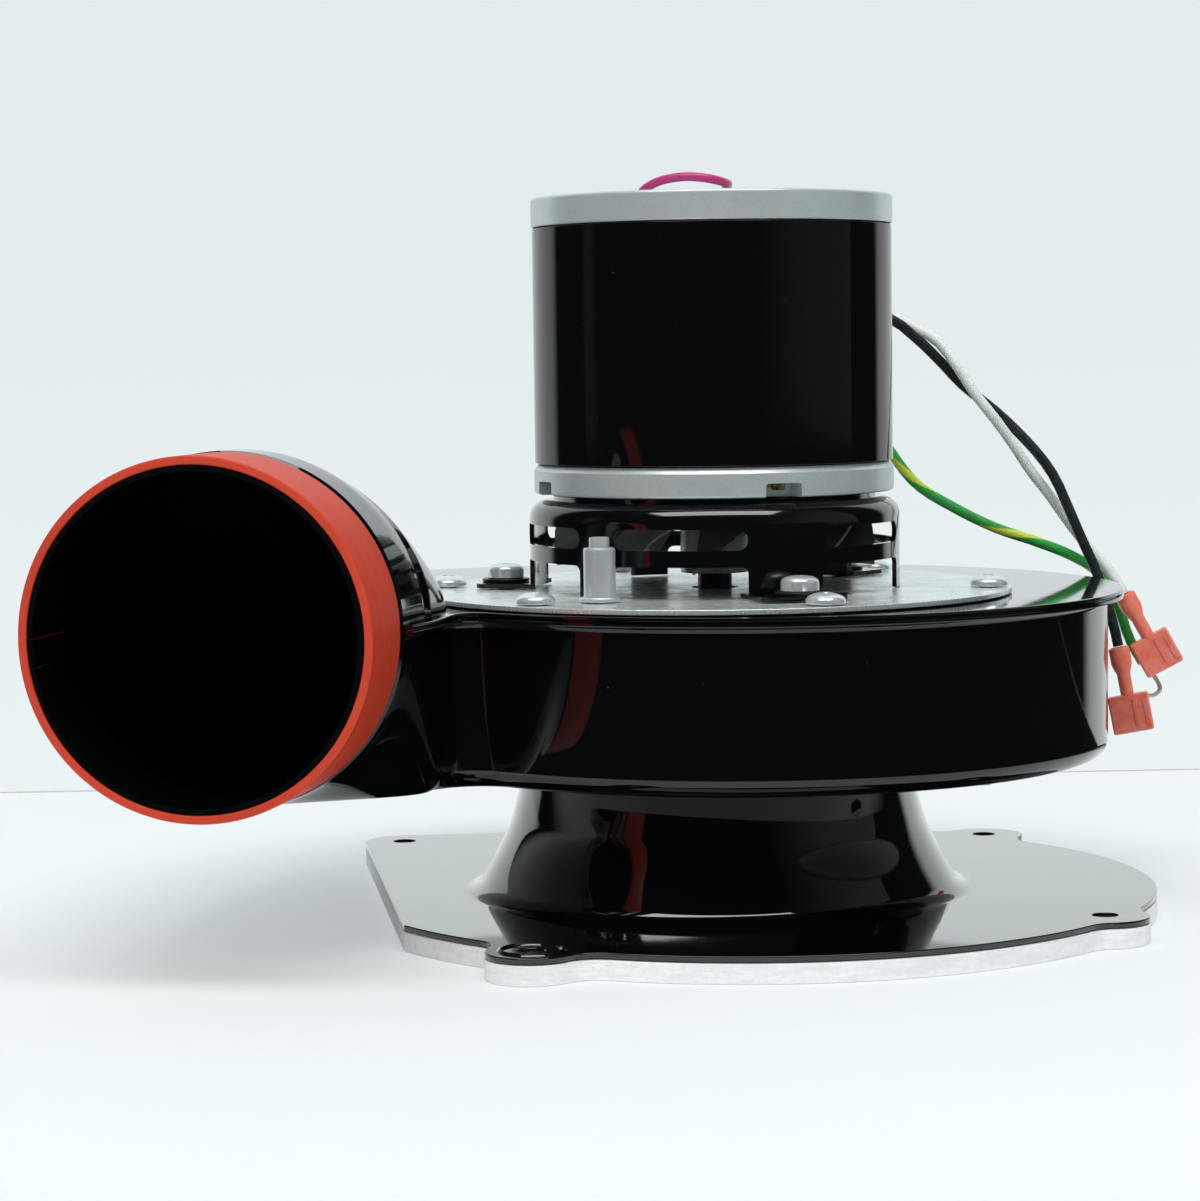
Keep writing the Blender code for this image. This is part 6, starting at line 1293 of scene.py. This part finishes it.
top_cap = cut(top_cap, together([upright(BOLT_RADIUS + FIT_GAP, TOP_CAP_LOW - CUT_OVERRUN,
                                         MOTOR_TOP - 0.001, p) for p in bolt_places]))
finished(eased(top_cap, 0.00015, 50.0, 1), "top_cap_casting", cast_alloy, "housing",
         "motor_top_cap")

boss_low = BRACKET_TOP + FIT_GAP
seat_radius = 0.0247
shaft_bore = SHAFT_RADIUS + FIT_GAP * 2
bottom_profile = [(hollow, BOTTOM_CAP_TOP), (CAP_RADIUS - 0.0011, BOTTOM_CAP_TOP),
                  (CAP_RADIUS, BOTTOM_CAP_TOP - 0.0013), (CAP_RADIUS, MOTOR_BOTTOM + CAP_EDGE),
                  (CAP_RADIUS - CAP_EDGE * 0.3, MOTOR_BOTTOM + CAP_EDGE * 0.3),
                  (CAP_RADIUS - CAP_EDGE, MOTOR_BOTTOM), (seat_radius, MOTOR_BOTTOM),
                  (seat_radius, boss_low),
                  (shaft_bore, boss_low), (shaft_bore, boss_low + SHEET),
                  (BEARING_BORE, boss_low + SHEET),
                  (BEARING_BORE, BOTTOM_CAP_TOP + BOSS_DEPTH),
                  (CAP_BOSS_RADIUS, BOTTOM_CAP_TOP + BOSS_DEPTH),
                  (CAP_BOSS_RADIUS, MOTOR_BOTTOM + CAP_WEB), (hollow, MOTOR_BOTTOM + CAP_WEB)]
tools = vent_tools(boss_low - CUT_OVERRUN, MOTOR_BOTTOM + CAP_WEB + CUT_OVERRUN)
notch = rounded_box(NOTCH_WIDTH / 2, MOTOR_BOTTOM - CUT_OVERRUN, MOTOR_BOTTOM + NOTCH_HEIGHT,
                    CAP_EDGE)
tools += [radial_tool(notch, CAP_RADIUS - NOTCH_DEPTH, CAP_RADIUS + CUT_OVERRUN,
                      SCREW_BEARING + math.tau / 4 * i) for i in range(4)]
bottom_cap = cut(turned(bottom_profile, 192), together(tools))
bottom_cap = cut(bottom_cap, together([upright(BOLT_RADIUS + FIT_GAP, MOTOR_BOTTOM + 0.001,
                                               BOTTOM_CAP_TOP + CUT_OVERRUN, p)
                                       for p in bolt_places]))
finished(eased(bottom_cap, 0.00015, 50.0, 1), "bottom_cap_casting", cast_alloy, "housing",
         "motor_bottom_cap")


# Motor shell: a drawn steel tube between the caps, gloss black, with one hole for the leads.
GROMMET_BEARING = math.radians(62.0)
GROMMET_HEIGHT = 0.1329974


def grommet_matrix(reach):
    """Puts a piece made up Z on the back of the shell, pointing outward."""
    return (Matrix.Translation((*polar(reach, GROMMET_BEARING), GROMMET_HEIGHT))
            @ Matrix.Rotation(GROMMET_BEARING, 4, "Z") @ Matrix.Rotation(math.pi / 2, 4, "Y"))


shell = turned(rounded_ring(SHELL_RADIUS - 0.0011, SHELL_RADIUS, BOTTOM_CAP_TOP + FIT_GAP,
                            TOP_CAP_LOW - FIT_GAP, 0.00025), 192)
shell = cut(shell, moved(upright(0.0053, 0.0, 0.008), grommet_matrix(SHELL_RADIUS - 0.004)))
enamel_shell = gloss_enamel("shell enamel", 0.05, 0.08, 0.010)
finished(shell, "shell_tube", enamel_shell, "housing", "motor_shell")


# Through-bolts: four long yellow-passivated bolts from the top cap's pockets to the notches.
yellow_passivate = grained("yellow passivate", ((0.50, 0.36, 0.10), (0.70, 0.56, 0.24)), 1.0, 0.30,
                           rough=(0.22, 0.40), Scale=400.0, Detail=3.0)
bolt = turned([(0.0, MOTOR_TOP - 0.0001), (BOLT_HEAD_RADIUS - 0.0003, MOTOR_TOP - 0.0001),
               (BOLT_HEAD_RADIUS, MOTOR_TOP - 0.0004),
               (BOLT_HEAD_RADIUS, MOTOR_TOP - BOLT_HEAD_HEIGHT),
               (BOLT_RADIUS, MOTOR_TOP - BOLT_HEAD_HEIGHT), (BOLT_RADIUS, BOLT_END + 0.0004),
               (BOLT_RADIUS - 0.0004, BOLT_END), (0.0, BOLT_END)], 32, closed=False)
bolt = cut(bolt, cross_recess(MOTOR_TOP, 0.0034, 0.0008, 0.0012))
finished(ring_of(bolt, yellow_passivate, Count=4, Radius=BOLT_CIRCLE, Loose_turn=0.7),
         "through_bolts", yellow_passivate, "housing", *numbered("through_bolt", 4))


# Lead grommet: black rubber, pressed in the shell's hole.
GROMMET_FACE = SHELL_RADIUS + FIT_GAP + 0.0022
rubber = grained("black rubber", ((0.012, 0.012, 0.012), (0.035, 0.035, 0.034)), 0.0, 0.6,
                 relief=(0.2, 0.0002), soft=False, Scale=900.0, Detail=4.0)
grommet = turned([(0.0, GROMMET_FACE)]
                 + [(0.0060 + 0.0006 * math.sin(t), GROMMET_FACE - 0.0006 * (1 - math.cos(t)))
                    for t in np.linspace(0.0, math.pi / 2, 5)]
                 + [(0.0066, SHELL_RADIUS + FIT_GAP), (0.0050, SHELL_RADIUS + FIT_GAP),
                    (0.0050, SHELL_RADIUS - 0.0040), (0.0, SHELL_RADIUS - 0.0040)], 48,
                 closed=False)
finished(moved(grommet, grommet_matrix(0.0)), "grommet", rubber, "housing", "lead_grommet")


# Shaft: ground steel, blackened, run from the top bearing down into the wheel.
SHAFT_TOP = boss_top - 0.0018
SHAFT_LOW = 0.0455
SHAFT_EDGE = 0.0005
shaft = turned([(0.0, SHAFT_TOP), (SHAFT_RADIUS - SHAFT_EDGE, SHAFT_TOP),
                (SHAFT_RADIUS, SHAFT_TOP - SHAFT_EDGE), (SHAFT_RADIUS, SHAFT_LOW + SHAFT_EDGE),
                (SHAFT_RADIUS - SHAFT_EDGE, SHAFT_LOW), (0.0, SHAFT_LOW)], 64, closed=False)
finished(shaft, "shaft", black_oxide, "rotor", "rotor_shaft")


# Cooling fan: eight twisted sheet blades on a hub, just under the motor inside the bracket.
FAN_RADIUS = 0.0375
FAN_SHEET = 0.0008
FAN_PITCH = math.radians(38.0)
FAN_HUB_HIGH = 0.0930
FAN_DISC_RADIUS = 0.0150
FAN_BLADE_WIDTH = 0.0135
FAN_TIP_WIDTH = 0.0190
FAN_BLADE_HEIGHT = 0.0105
BORE = SHAFT_RADIUS + FIT_GAP
disc_low = FAN_HUB_HIGH - FAN_SHEET
fan_hub = turned([(FAN_DISC_RADIUS, FAN_HUB_HIGH), (FAN_DISC_RADIUS, disc_low), (0.0080, disc_low),
                  (0.0080, 0.0803), (0.0077, 0.0800), (BORE, 0.0800), (BORE, FAN_HUB_HIGH)], 64)
blade_rings = []
blade_root = FAN_DISC_RADIUS - 0.002
for share in map(float, np.linspace(0.0, 1.0, 13)):
    reach = blade_root + (FAN_RADIUS - blade_root) * share
    ramp = min(1.0, share / 0.40)
    pitch = FAN_PITCH * ramp
    width = FAN_BLADE_WIDTH / 2 * min(1.0,
                                      0.45 + share) + (FAN_TIP_WIDTH - FAN_BLADE_WIDTH) / 2 * share
    drop = (FAN_BLADE_HEIGHT - FAN_SHEET) / 2 * ramp
    ring = []
    for across, thick in ((-1, -0.5), (-0.33, -0.5), (0.33, -0.5), (1, -0.5),
                          (1, 0.5), (0.33, 0.5), (-0.33, 0.5), (-1, 0.5)):
        y = across * width * math.cos(pitch) - thick * FAN_SHEET * math.sin(pitch)
        z = across * width * math.sin(pitch) + thick * FAN_SHEET * math.cos(pitch)
        ring.append((math.sqrt(max(0.0, reach ** 2 - y ** 2 * share)), y,
                     disc_low + FAN_SHEET / 2 - drop + z))
    blade_rings.append(ring)
plain_sheet = grained("plain sheet", ((0.34, 0.37, 0.35), (0.50, 0.52, 0.50)), 0.85, 0.38,
                      rough=(0.30, 0.48), Scale=160.0, Detail=5.0)
blades = ring_of(lofted(blade_rings), plain_sheet, Count=8, First_bearing=0.0)
blades = cut(blades, upright(0.07, FAN_HUB_HIGH, 0.12))
finished(together([fan_hub, blades]), "fan", plain_sheet, "rotor", "cooling_fan")


# Wheel: a zinc-plated squirrel cage in the scroll, eighteen curved blades between a back plate
# and a front ring with a turned-down eye. Its hub and grub screw are kept from the frame.
WHEEL_RADIUS = 0.0565
WHEEL_EYE = 0.0370
WHEEL_LOW = 0.0430
WHEEL_HIGH = 0.0705
WHEEL_SHEET = 0.0009
BLADE_INNER = 0.0330
BLADE_SWEEP = math.radians(22.0)
BLADE_CURL = 1.4
back_low = WHEEL_HIGH - WHEEL_SHEET
hub_seat = 0.0105 + FIT_GAP
back_plate = turned([(WHEEL_RADIUS - 0.0003, WHEEL_HIGH), (WHEEL_RADIUS, WHEEL_HIGH - 0.0003),
                     (WHEEL_RADIUS, back_low + 0.0003), (WHEEL_RADIUS - 0.0003, back_low),
                     (hub_seat, back_low), (hub_seat, WHEEL_HIGH)], 128)
eye_bend = (WHEEL_EYE + WHEEL_SHEET * 2, WHEEL_LOW - WHEEL_SHEET)
front_profile = [(WHEEL_RADIUS, WHEEL_LOW + WHEEL_SHEET), (WHEEL_RADIUS, WHEEL_LOW)]
front_profile += arc(eye_bend, WHEEL_SHEET, math.pi / 2, math.pi, 5)
front_profile += [(WHEEL_EYE + WHEEL_SHEET, WHEEL_LOW - 0.00225), (WHEEL_EYE, WHEEL_LOW - 0.00225)]
front_profile += arc(eye_bend, WHEEL_SHEET * 2, math.pi, math.pi / 2, 5)
front_ring = turned(front_profile, 128)
sides = [[], []]
for share in map(float, np.linspace(0.0, 1.0, 7)):
    reach = BLADE_INNER + (WHEEL_RADIUS - SHEET - BLADE_INNER) * share
    bearing = -BLADE_SWEEP * share ** BLADE_CURL
    for side, half in zip(sides, (WHEEL_SHEET / 2, -WHEEL_SHEET / 2)):
        side.append(polar(reach, bearing + half / reach))
blade_loop = sides[0] + sides[1][::-1]
blade = lofted([[(*p, z) for p in blade_loop]
                for z in (WHEEL_LOW + WHEEL_SHEET / 2, back_low + WHEEL_SHEET / 2)])
zinc_wheel = zinc_finish("wheel zinc", (0.58, 0.62, 0.62), 0.28, 0.5)
blades = ring_of(blade, zinc_wheel, Count=18, First_bearing=0.0)
finished(together([back_plate, front_ring, blades]), "wheel", zinc_wheel, "rotor", "impeller")


# Inside pieces kept from the frame: laminated stator and rotor, copper winding, sintered
# bearings, the wheel's hub and its grub screw. Each only takes a finish.
def kept(made, *nodes):
    """Gives pieces of the frame their finish."""
    for node in nodes:
        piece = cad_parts[node]
        piece = bpy.data.objects[piece] if isinstance(piece, str) else piece
        for slot in piece.material_slots:
            slot.material = made


def wound(name, tones, roughness, relief, scale, distortion):
    """A finish in level bands, for what is stacked or wound."""
    return grained(name, tones, 0.9, roughness, "ShaderNodeTexWave", {"bands_direction": "Z"},
                   relief=relief, soft=False, Scale=scale, Distortion=distortion)


kept(wound("laminated steel", ((0.20, 0.20, 0.21), (0.38, 0.38, 0.39)), 0.45, (0.4, 0.0002), 320.0,
           0.2),
     "stator_core", "rotor_core")
kept(wound("enamelled copper", ((0.40, 0.13, 0.05), (0.62, 0.28, 0.13)), 0.35, (0.6, 0.0003),
           260.0, 1.5),
     "stator_winding")
kept(grained("sintered bronze", ((0.34, 0.21, 0.10), (0.50, 0.34, 0.18)), 0.9, 0.5,
             relief=(0.3, 0.0001), soft=False, Scale=2000.0, Detail=3.0), "upper_bearing",
     "lower_bearing")
kept(turned_zinc, "impeller_hub")
kept(black_oxide, "hub_set_screw")


# Leads: three stranded wires out of the grommet, each 2.6 mm over its insulation. The black and
# white ones end in flag terminals, the green and yellow one in its bare strand.
LEAD_RADIUS = 0.0013
LEAD_SPACING = 0.0016
STRIPE_START = 0.31
LEAD_FACE = GROMMET_FACE + FIT_GAP


def lead_start(sideways, lift):
    """Where a lead leaves the grommet, and a second point straight out of it."""
    out = Vector((math.cos(GROMMET_BEARING), math.sin(GROMMET_BEARING), 0.0))
    side = Vector((math.sin(GROMMET_BEARING), -math.cos(GROMMET_BEARING), 0.0))
    start = out * LEAD_FACE + side * sideways + Vector((0.0, 0.0, GROMMET_HEIGHT + lift))
    return [tuple(start), tuple(start + out * 0.004)]


def hung(points):
    """Points of a lead, given by their height above or below the grommet."""
    return [(x, y, GROMMET_HEIGHT + rise) for x, y, rise in points]


BLACK_ROUTE = lead_start(LEAD_SPACING, LEAD_SPACING) + hung([
    (0.0340, 0.0540, 0.0080), (0.0480, 0.0540, 0.0062), (0.0545, 0.0540, 0.0014),
    (0.0608, 0.0540, -0.0047), (0.0663, 0.0540, -0.0106), (0.0757, 0.0538, -0.0183),
    (0.0844, 0.0510, -0.0276), (0.0885, 0.0490, -0.0337), (0.0916, 0.0470, -0.0412),
    (0.0947, 0.0452, -0.0491), (0.0980, 0.0435, -0.0571), (0.1006, 0.0412, -0.0661),
    (0.1019, 0.0398, -0.0713), (0.1027, 0.0390, -0.0757)])
WHITE_ROUTE = lead_start(-LEAD_SPACING, LEAD_SPACING) + hung([
    (0.0330, 0.0590, 0.0080), (0.0470, 0.0585, 0.0070), (0.0550, 0.0568, 0.0036),
    (0.0604, 0.0538, 0.0000), (0.0650, 0.0508, -0.0066), (0.0690, 0.0490, -0.0132),
    (0.0737, 0.0488, -0.0192), (0.0784, 0.0497, -0.0256), (0.0829, 0.0512, -0.0322),
    (0.0878, 0.0522, -0.0384), (0.0920, 0.0522, -0.0444), (0.0957, 0.0508, -0.0496),
    (0.0993, 0.0489, -0.0538), (0.1028, 0.0473, -0.0584), (0.1056, 0.0468, -0.0632)])
GROUND_ROUTE = lead_start(0.0, -LEAD_SPACING) + hung([
    (0.0340, 0.0520, -0.0100), (0.0450, 0.0520, -0.0230), (0.0540, 0.0510, -0.0350),
    (0.0640, 0.0500, -0.0415), (0.0740, 0.0495, -0.0465), (0.0840, 0.0490, -0.0500),
    (0.0930, 0.0495, -0.0537), (0.1000, 0.0515, -0.0582), (0.1050, 0.0525, -0.0660),
    (0.1080, 0.0520, -0.0750), (0.1110, 0.0500, -0.0810)])


def smooth_route(points, count):
    """Even points along a smooth curve through the route's own points."""
    nodes = np.array(points, dtype=float)
    spans = np.linalg.norm(np.diff(nodes, axis=0), axis=1)
    knots = np.concatenate([[0.0], np.cumsum(np.sqrt(spans))])
    slopes = np.gradient(nodes, knots, axis=0)
    dense = []
    for i in range(len(nodes) - 1):
        width = knots[i + 1] - knots[i]
        for share in np.linspace(0.0, 1.0, 24, endpoint=False):
            dense.append((2 * share ** 3 - 3 * share ** 2 + 1) * nodes[i]
                         + (share ** 3 - 2 * share ** 2 + share) * width * slopes[i]
                         + (3 * share ** 2 - 2 * share ** 3) * nodes[i + 1]
                         + (share ** 3 - share ** 2) * width * slopes[i + 1])
    dense.append(nodes[-1])
    dense = np.array(dense)
    run = np.concatenate([[0.0], np.cumsum(np.linalg.norm(np.diff(dense, axis=0), axis=1))])
    even = np.linspace(0.0, run[-1], count)
    return [Vector([float(np.interp(t, run, dense[:, k])) for k in range(3)]) for t in even]


def tube(points, radius, sides=20):
    """A round tube along points, with flat cut ends and a map of (round, along)."""
    way = [(points[min(i + 1, len(points) - 1)] - points[max(i - 1, 0)]).normalized()
           for i in range(len(points))]
    side = way[0].orthogonal().normalized()
    rings = []
    run = [0.0]
    for i, (spot, ahead_way) in enumerate(zip(points, way)):
        side = (side - ahead_way * side.dot(ahead_way)).normalized()
        other = ahead_way.cross(side)
        rings.append([spot + (side * math.cos(math.tau * k / sides)
                              + other * math.sin(math.tau * k / sides)) * radius
                      for k in range(sides)])
        if i:
            run.append(run[-1] + (spot - points[i - 1]).length)
    piece = lofted(rings)
    layer = piece.data.uv_layers.new(name="lead")
    where = {}
    for i, ring in enumerate(rings):
        for k, p in enumerate(ring):
            where[tuple(round(c, 7) for c in p)] = (k / sides, run[i])
    for face in piece.data.polygons:
        marks = [where.get(tuple(round(c, 7) for c in piece.data.vertices[v].co), (0.0, 0.0))
                 for v in face.vertices]
        wraps = len(marks) == 4 and max(m[0] for m in marks) - min(m[0] for m in marks) > 0.5
        for loop_index, mark in zip(face.loop_indices, marks):
            across = mark[0] + (1.0 if wraps and mark[0] < 0.5 else 0.0)
            layer.data[loop_index].uv = (across, mark[1] * 10.0)
    return piece


def insulation(name, tone, roughness, stripe=None):
    """Extruded PVC: a faint wave along the wire, and a stripe (colour, twist, width) if it has one."""
    made, tree, shader = new_material(name, tone, 0.0, roughness)
    wave = noise_on(tree, place_on(tree), 420.0, 3.0)
    dent(tree, shader, wave, 0.01, 0.0002)
    base = blend_colours(tree, spread(tree, wave, 0.3, 0.7),
                         tuple(c * 0.94 for c in tone), tuple(min(1.0, c * 1.05) for c in tone))
    feed(tree, shader.inputs["Roughness"],
         spread(tree, wave, 0.3, 0.7, roughness * 0.8, roughness * 1.25))
    if stripe:
        colour, twist, width = stripe
        laid = add(tree, "ShaderNodeUVMap", {"uv_map": "lead"}).outputs["UV"]
        split = pattern(tree, "ShaderNodeSeparateXYZ", laid)
        around = number(tree, "ADD", split["X"], number(tree, "MULTIPLY", split["Y"], twist))
        whole = number(tree, "FRACT", number(tree, "ADD", around, STRIPE_START))
        mask = number(tree, "MULTIPLY", spread(tree, whole, 0.0, 0.05),
                      spread(tree, whole, width, width - 0.05))
        base = blend_colours(tree, mask, base, colour)
    feed(tree, shader.inputs["Base Color"], base)
    return made


def cord_piece(name, node, route, radius, count, made):
    """A lead as a tube along its route."""
    points = smooth_route(route, count)
    piece = finished(tube(points, radius), name, made, "housing", node)


# Flag terminals: coral red translucent nylon over a tinned spade, the barrel crimped on the
# lead and the flat housing square to it. The spade shows faintly through.
FLAG_BARREL_RADIUS = 0.0026
FLAG_BARREL_LENGTH = 0.0070
FLAG_NECK_RADIUS = 0.0017
FLAG_NECK_LENGTH = 0.0052
FLAG_WIDTH = 0.0100
FLAG_LENGTH = 0.0095
FLAG_THICKNESS = 0.0034
nylon = grained("coral nylon", ((0.96, 0.19, 0.12), (1.0, 0.29, 0.21)), 0.0, 0.24,
                relief=(0.15, 0.0003), Scale=350.0, Detail=3.0)
nylon_shader = nylon.node_tree.nodes["Principled BSDF"]
nylon_shader.inputs["Transmission Weight"].default_value = 0.12
nylon_shader.inputs["Subsurface Weight"].default_value = 0.55
nylon_shader.inputs["Subsurface Radius"].default_value = (0.004, 0.0012, 0.0008)
tinned = zinc_finish("tinned spade", (0.72, 0.73, 0.71), 0.25, 0.2)


def box_mesh(size, centre):
    x, y, z = (s / 2 for s in size)
    return lofted([[(centre[0] + a, centre[1] + b, centre[2] + c)
                    for a, b in ((-x, -y), (x, -y), (x, y), (-x, y))] for c in (-z, z)])


def flag(name, node, tip, lean, face):
    """A flag terminal hung on the end of a lead."""
    down = Vector(lean).normalized()
    flat = Vector(face)
    flat = (flat - down * flat.dot(down)).normalized()
    side = down.cross(flat)
    spot = Matrix.Translation(Vector(tip)) @ Matrix((side, flat, -down)).transposed().to_4x4()
    top = -FLAG_BARREL_LENGTH - FLAG_NECK_LENGTH
    middle = top - FLAG_LENGTH / 2
    r = FLAG_BARREL_RADIUS
    stem = turned([(LEAD_RADIUS + 0.0001, -0.0009), (r * 0.80, -0.0003), (r * 0.95, -0.0005),
                   (r, -0.0010), (r, -0.0042), (r * 0.93, -0.0050), (r * 0.80, -0.0060),
                   (FLAG_NECK_RADIUS, -FLAG_BARREL_LENGTH), (FLAG_NECK_RADIUS * 0.96, top - 0.0004),
                   (0.0, top - 0.0004), (0.0, -0.0030), (LEAD_RADIUS + 0.0001, -0.0030)], 32,
                  closed=False)
    body = eased(box_mesh((FLAG_WIDTH, FLAG_THICKNESS, FLAG_LENGTH), (0.0, 0.0, middle)), 0.0006,
                 30.0, 3)
    body = cut(body, box_mesh((0.014, 0.0018, 0.0070), (FLAG_WIDTH / 2, 0.0, middle)))
    ribs = [eased(box_mesh((0.0012, FLAG_THICKNESS + 0.0005, FLAG_LENGTH * 0.7),
                           (-FLAG_WIDTH / 2 + 0.0010 + 0.0026 * i, 0.0, middle)), 0.0002)
            for i in range(2)]
    spade = [box_mesh((0.0070, 0.0009, 0.0063), (0.0006, 0.0, middle))]
    spade += [box_mesh((0.0060, 0.0014, 0.0012), (0.0004, 0.0, middle + rise))
              for rise in (0.0026, -0.0026)]
    return [finished(moved(together([stem, body] + ribs), spot), name, nylon, "housing", node),
            finished(moved(together(spade), spot), name + "_spade", tinned, "housing")]


FLAG_FACE = (-0.25, -1.0, 0.0)
FLAGGED_LEADS = (("black", BLACK_ROUTE, (0.18, -0.05, -1.0), (0.014, 0.020, 0.022), 0.30),
                 ("white", WHITE_ROUTE, (0.55, -0.05, -1.0), (0.74, 0.80, 0.75), 0.42))
terminals = [flag(hue + "_flag_terminal", hue + "_flag", route[-1], lean, FLAG_FACE)
             for hue, route, lean, tone, roughness in FLAGGED_LEADS]
for (hue, route, lean, tone, roughness), terminal in zip(FLAGGED_LEADS, terminals):
    cord_piece(hue + "_wire", hue + "_lead", route, LEAD_RADIUS, 40,
               insulation(hue + " insulation", tone, roughness))

# The ground lead's end: seven tinned strands, twisted and bent back in a small hook.
STRAND_ROUTE = hung([(0.1113, 0.0499, -0.0815), (0.1140, 0.0490, -0.0848),
                     (0.1150, 0.0482, -0.0875),
                     (0.1135, 0.0478, -0.0890), (0.1105, 0.0478, -0.0890)])
STRAND_STEPS = 28
STRAND_LAY = 0.00038
strand_line = smooth_route(STRAND_ROUTE, STRAND_STEPS)
wires = []
for k in range(6):
    points = []
    for i, p in enumerate(strand_line):
        ahead_way = (strand_line[min(i + 1, STRAND_STEPS - 1)]
                     - strand_line[max(i - 1, 0)]).normalized()
        across = ahead_way.cross(Vector((0.2, 1.0, 0.1))).normalized()
        other = ahead_way.cross(across)
        bearing = math.tau * k / 6 + i * 0.45
        points.append(p + (across * math.cos(bearing) + other * math.sin(bearing)) * STRAND_LAY)
    wires.append(tube(points, 0.00020, 8))
wires.append(tube(strand_line, 0.00019, 8))
strand = finished(together(wires), "ground_strand_wires",
                  zinc_finish("tinned strand", (0.74, 0.75, 0.70), 0.25, 0.2), "housing",
                  "ground_strand")
cord_piece("ground_wire", "ground_lead", GROUND_ROUTE, LEAD_RADIUS, 44,
           insulation("green and yellow insulation", (0.03, 0.38, 0.06), 0.32,
                      ((0.62, 0.72, 0.06), 3.3, 0.30)))


# Jumper: a short magenta wire over the top cap, from one hole in it to another.
JUMPER_RADIUS = 0.00105
JUMPER_ROUTE = [(x, y, MOTOR_TOP + rise) for x, y, rise in (
    (-0.0160, 0.0040, -0.0028), (-0.0160, 0.0040, 0.0012), (-0.0131, 0.0022, 0.0034),
    (-0.0095, 0.0004, 0.0044), (-0.0049, -0.0012, 0.0047), (0.0002, -0.0008, 0.0041),
    (0.0036, 0.0030, 0.0034), (0.0046, 0.0085, 0.0031), (0.0042, 0.0150, 0.0013),
    (0.0042, 0.0152, -0.0028))]
cord_piece("jumper_wire", "jumper_lead", JUMPER_ROUTE, JUMPER_RADIUS, 40,
           insulation("magenta insulation", (0.52, 0.035, 0.20), 0.32))
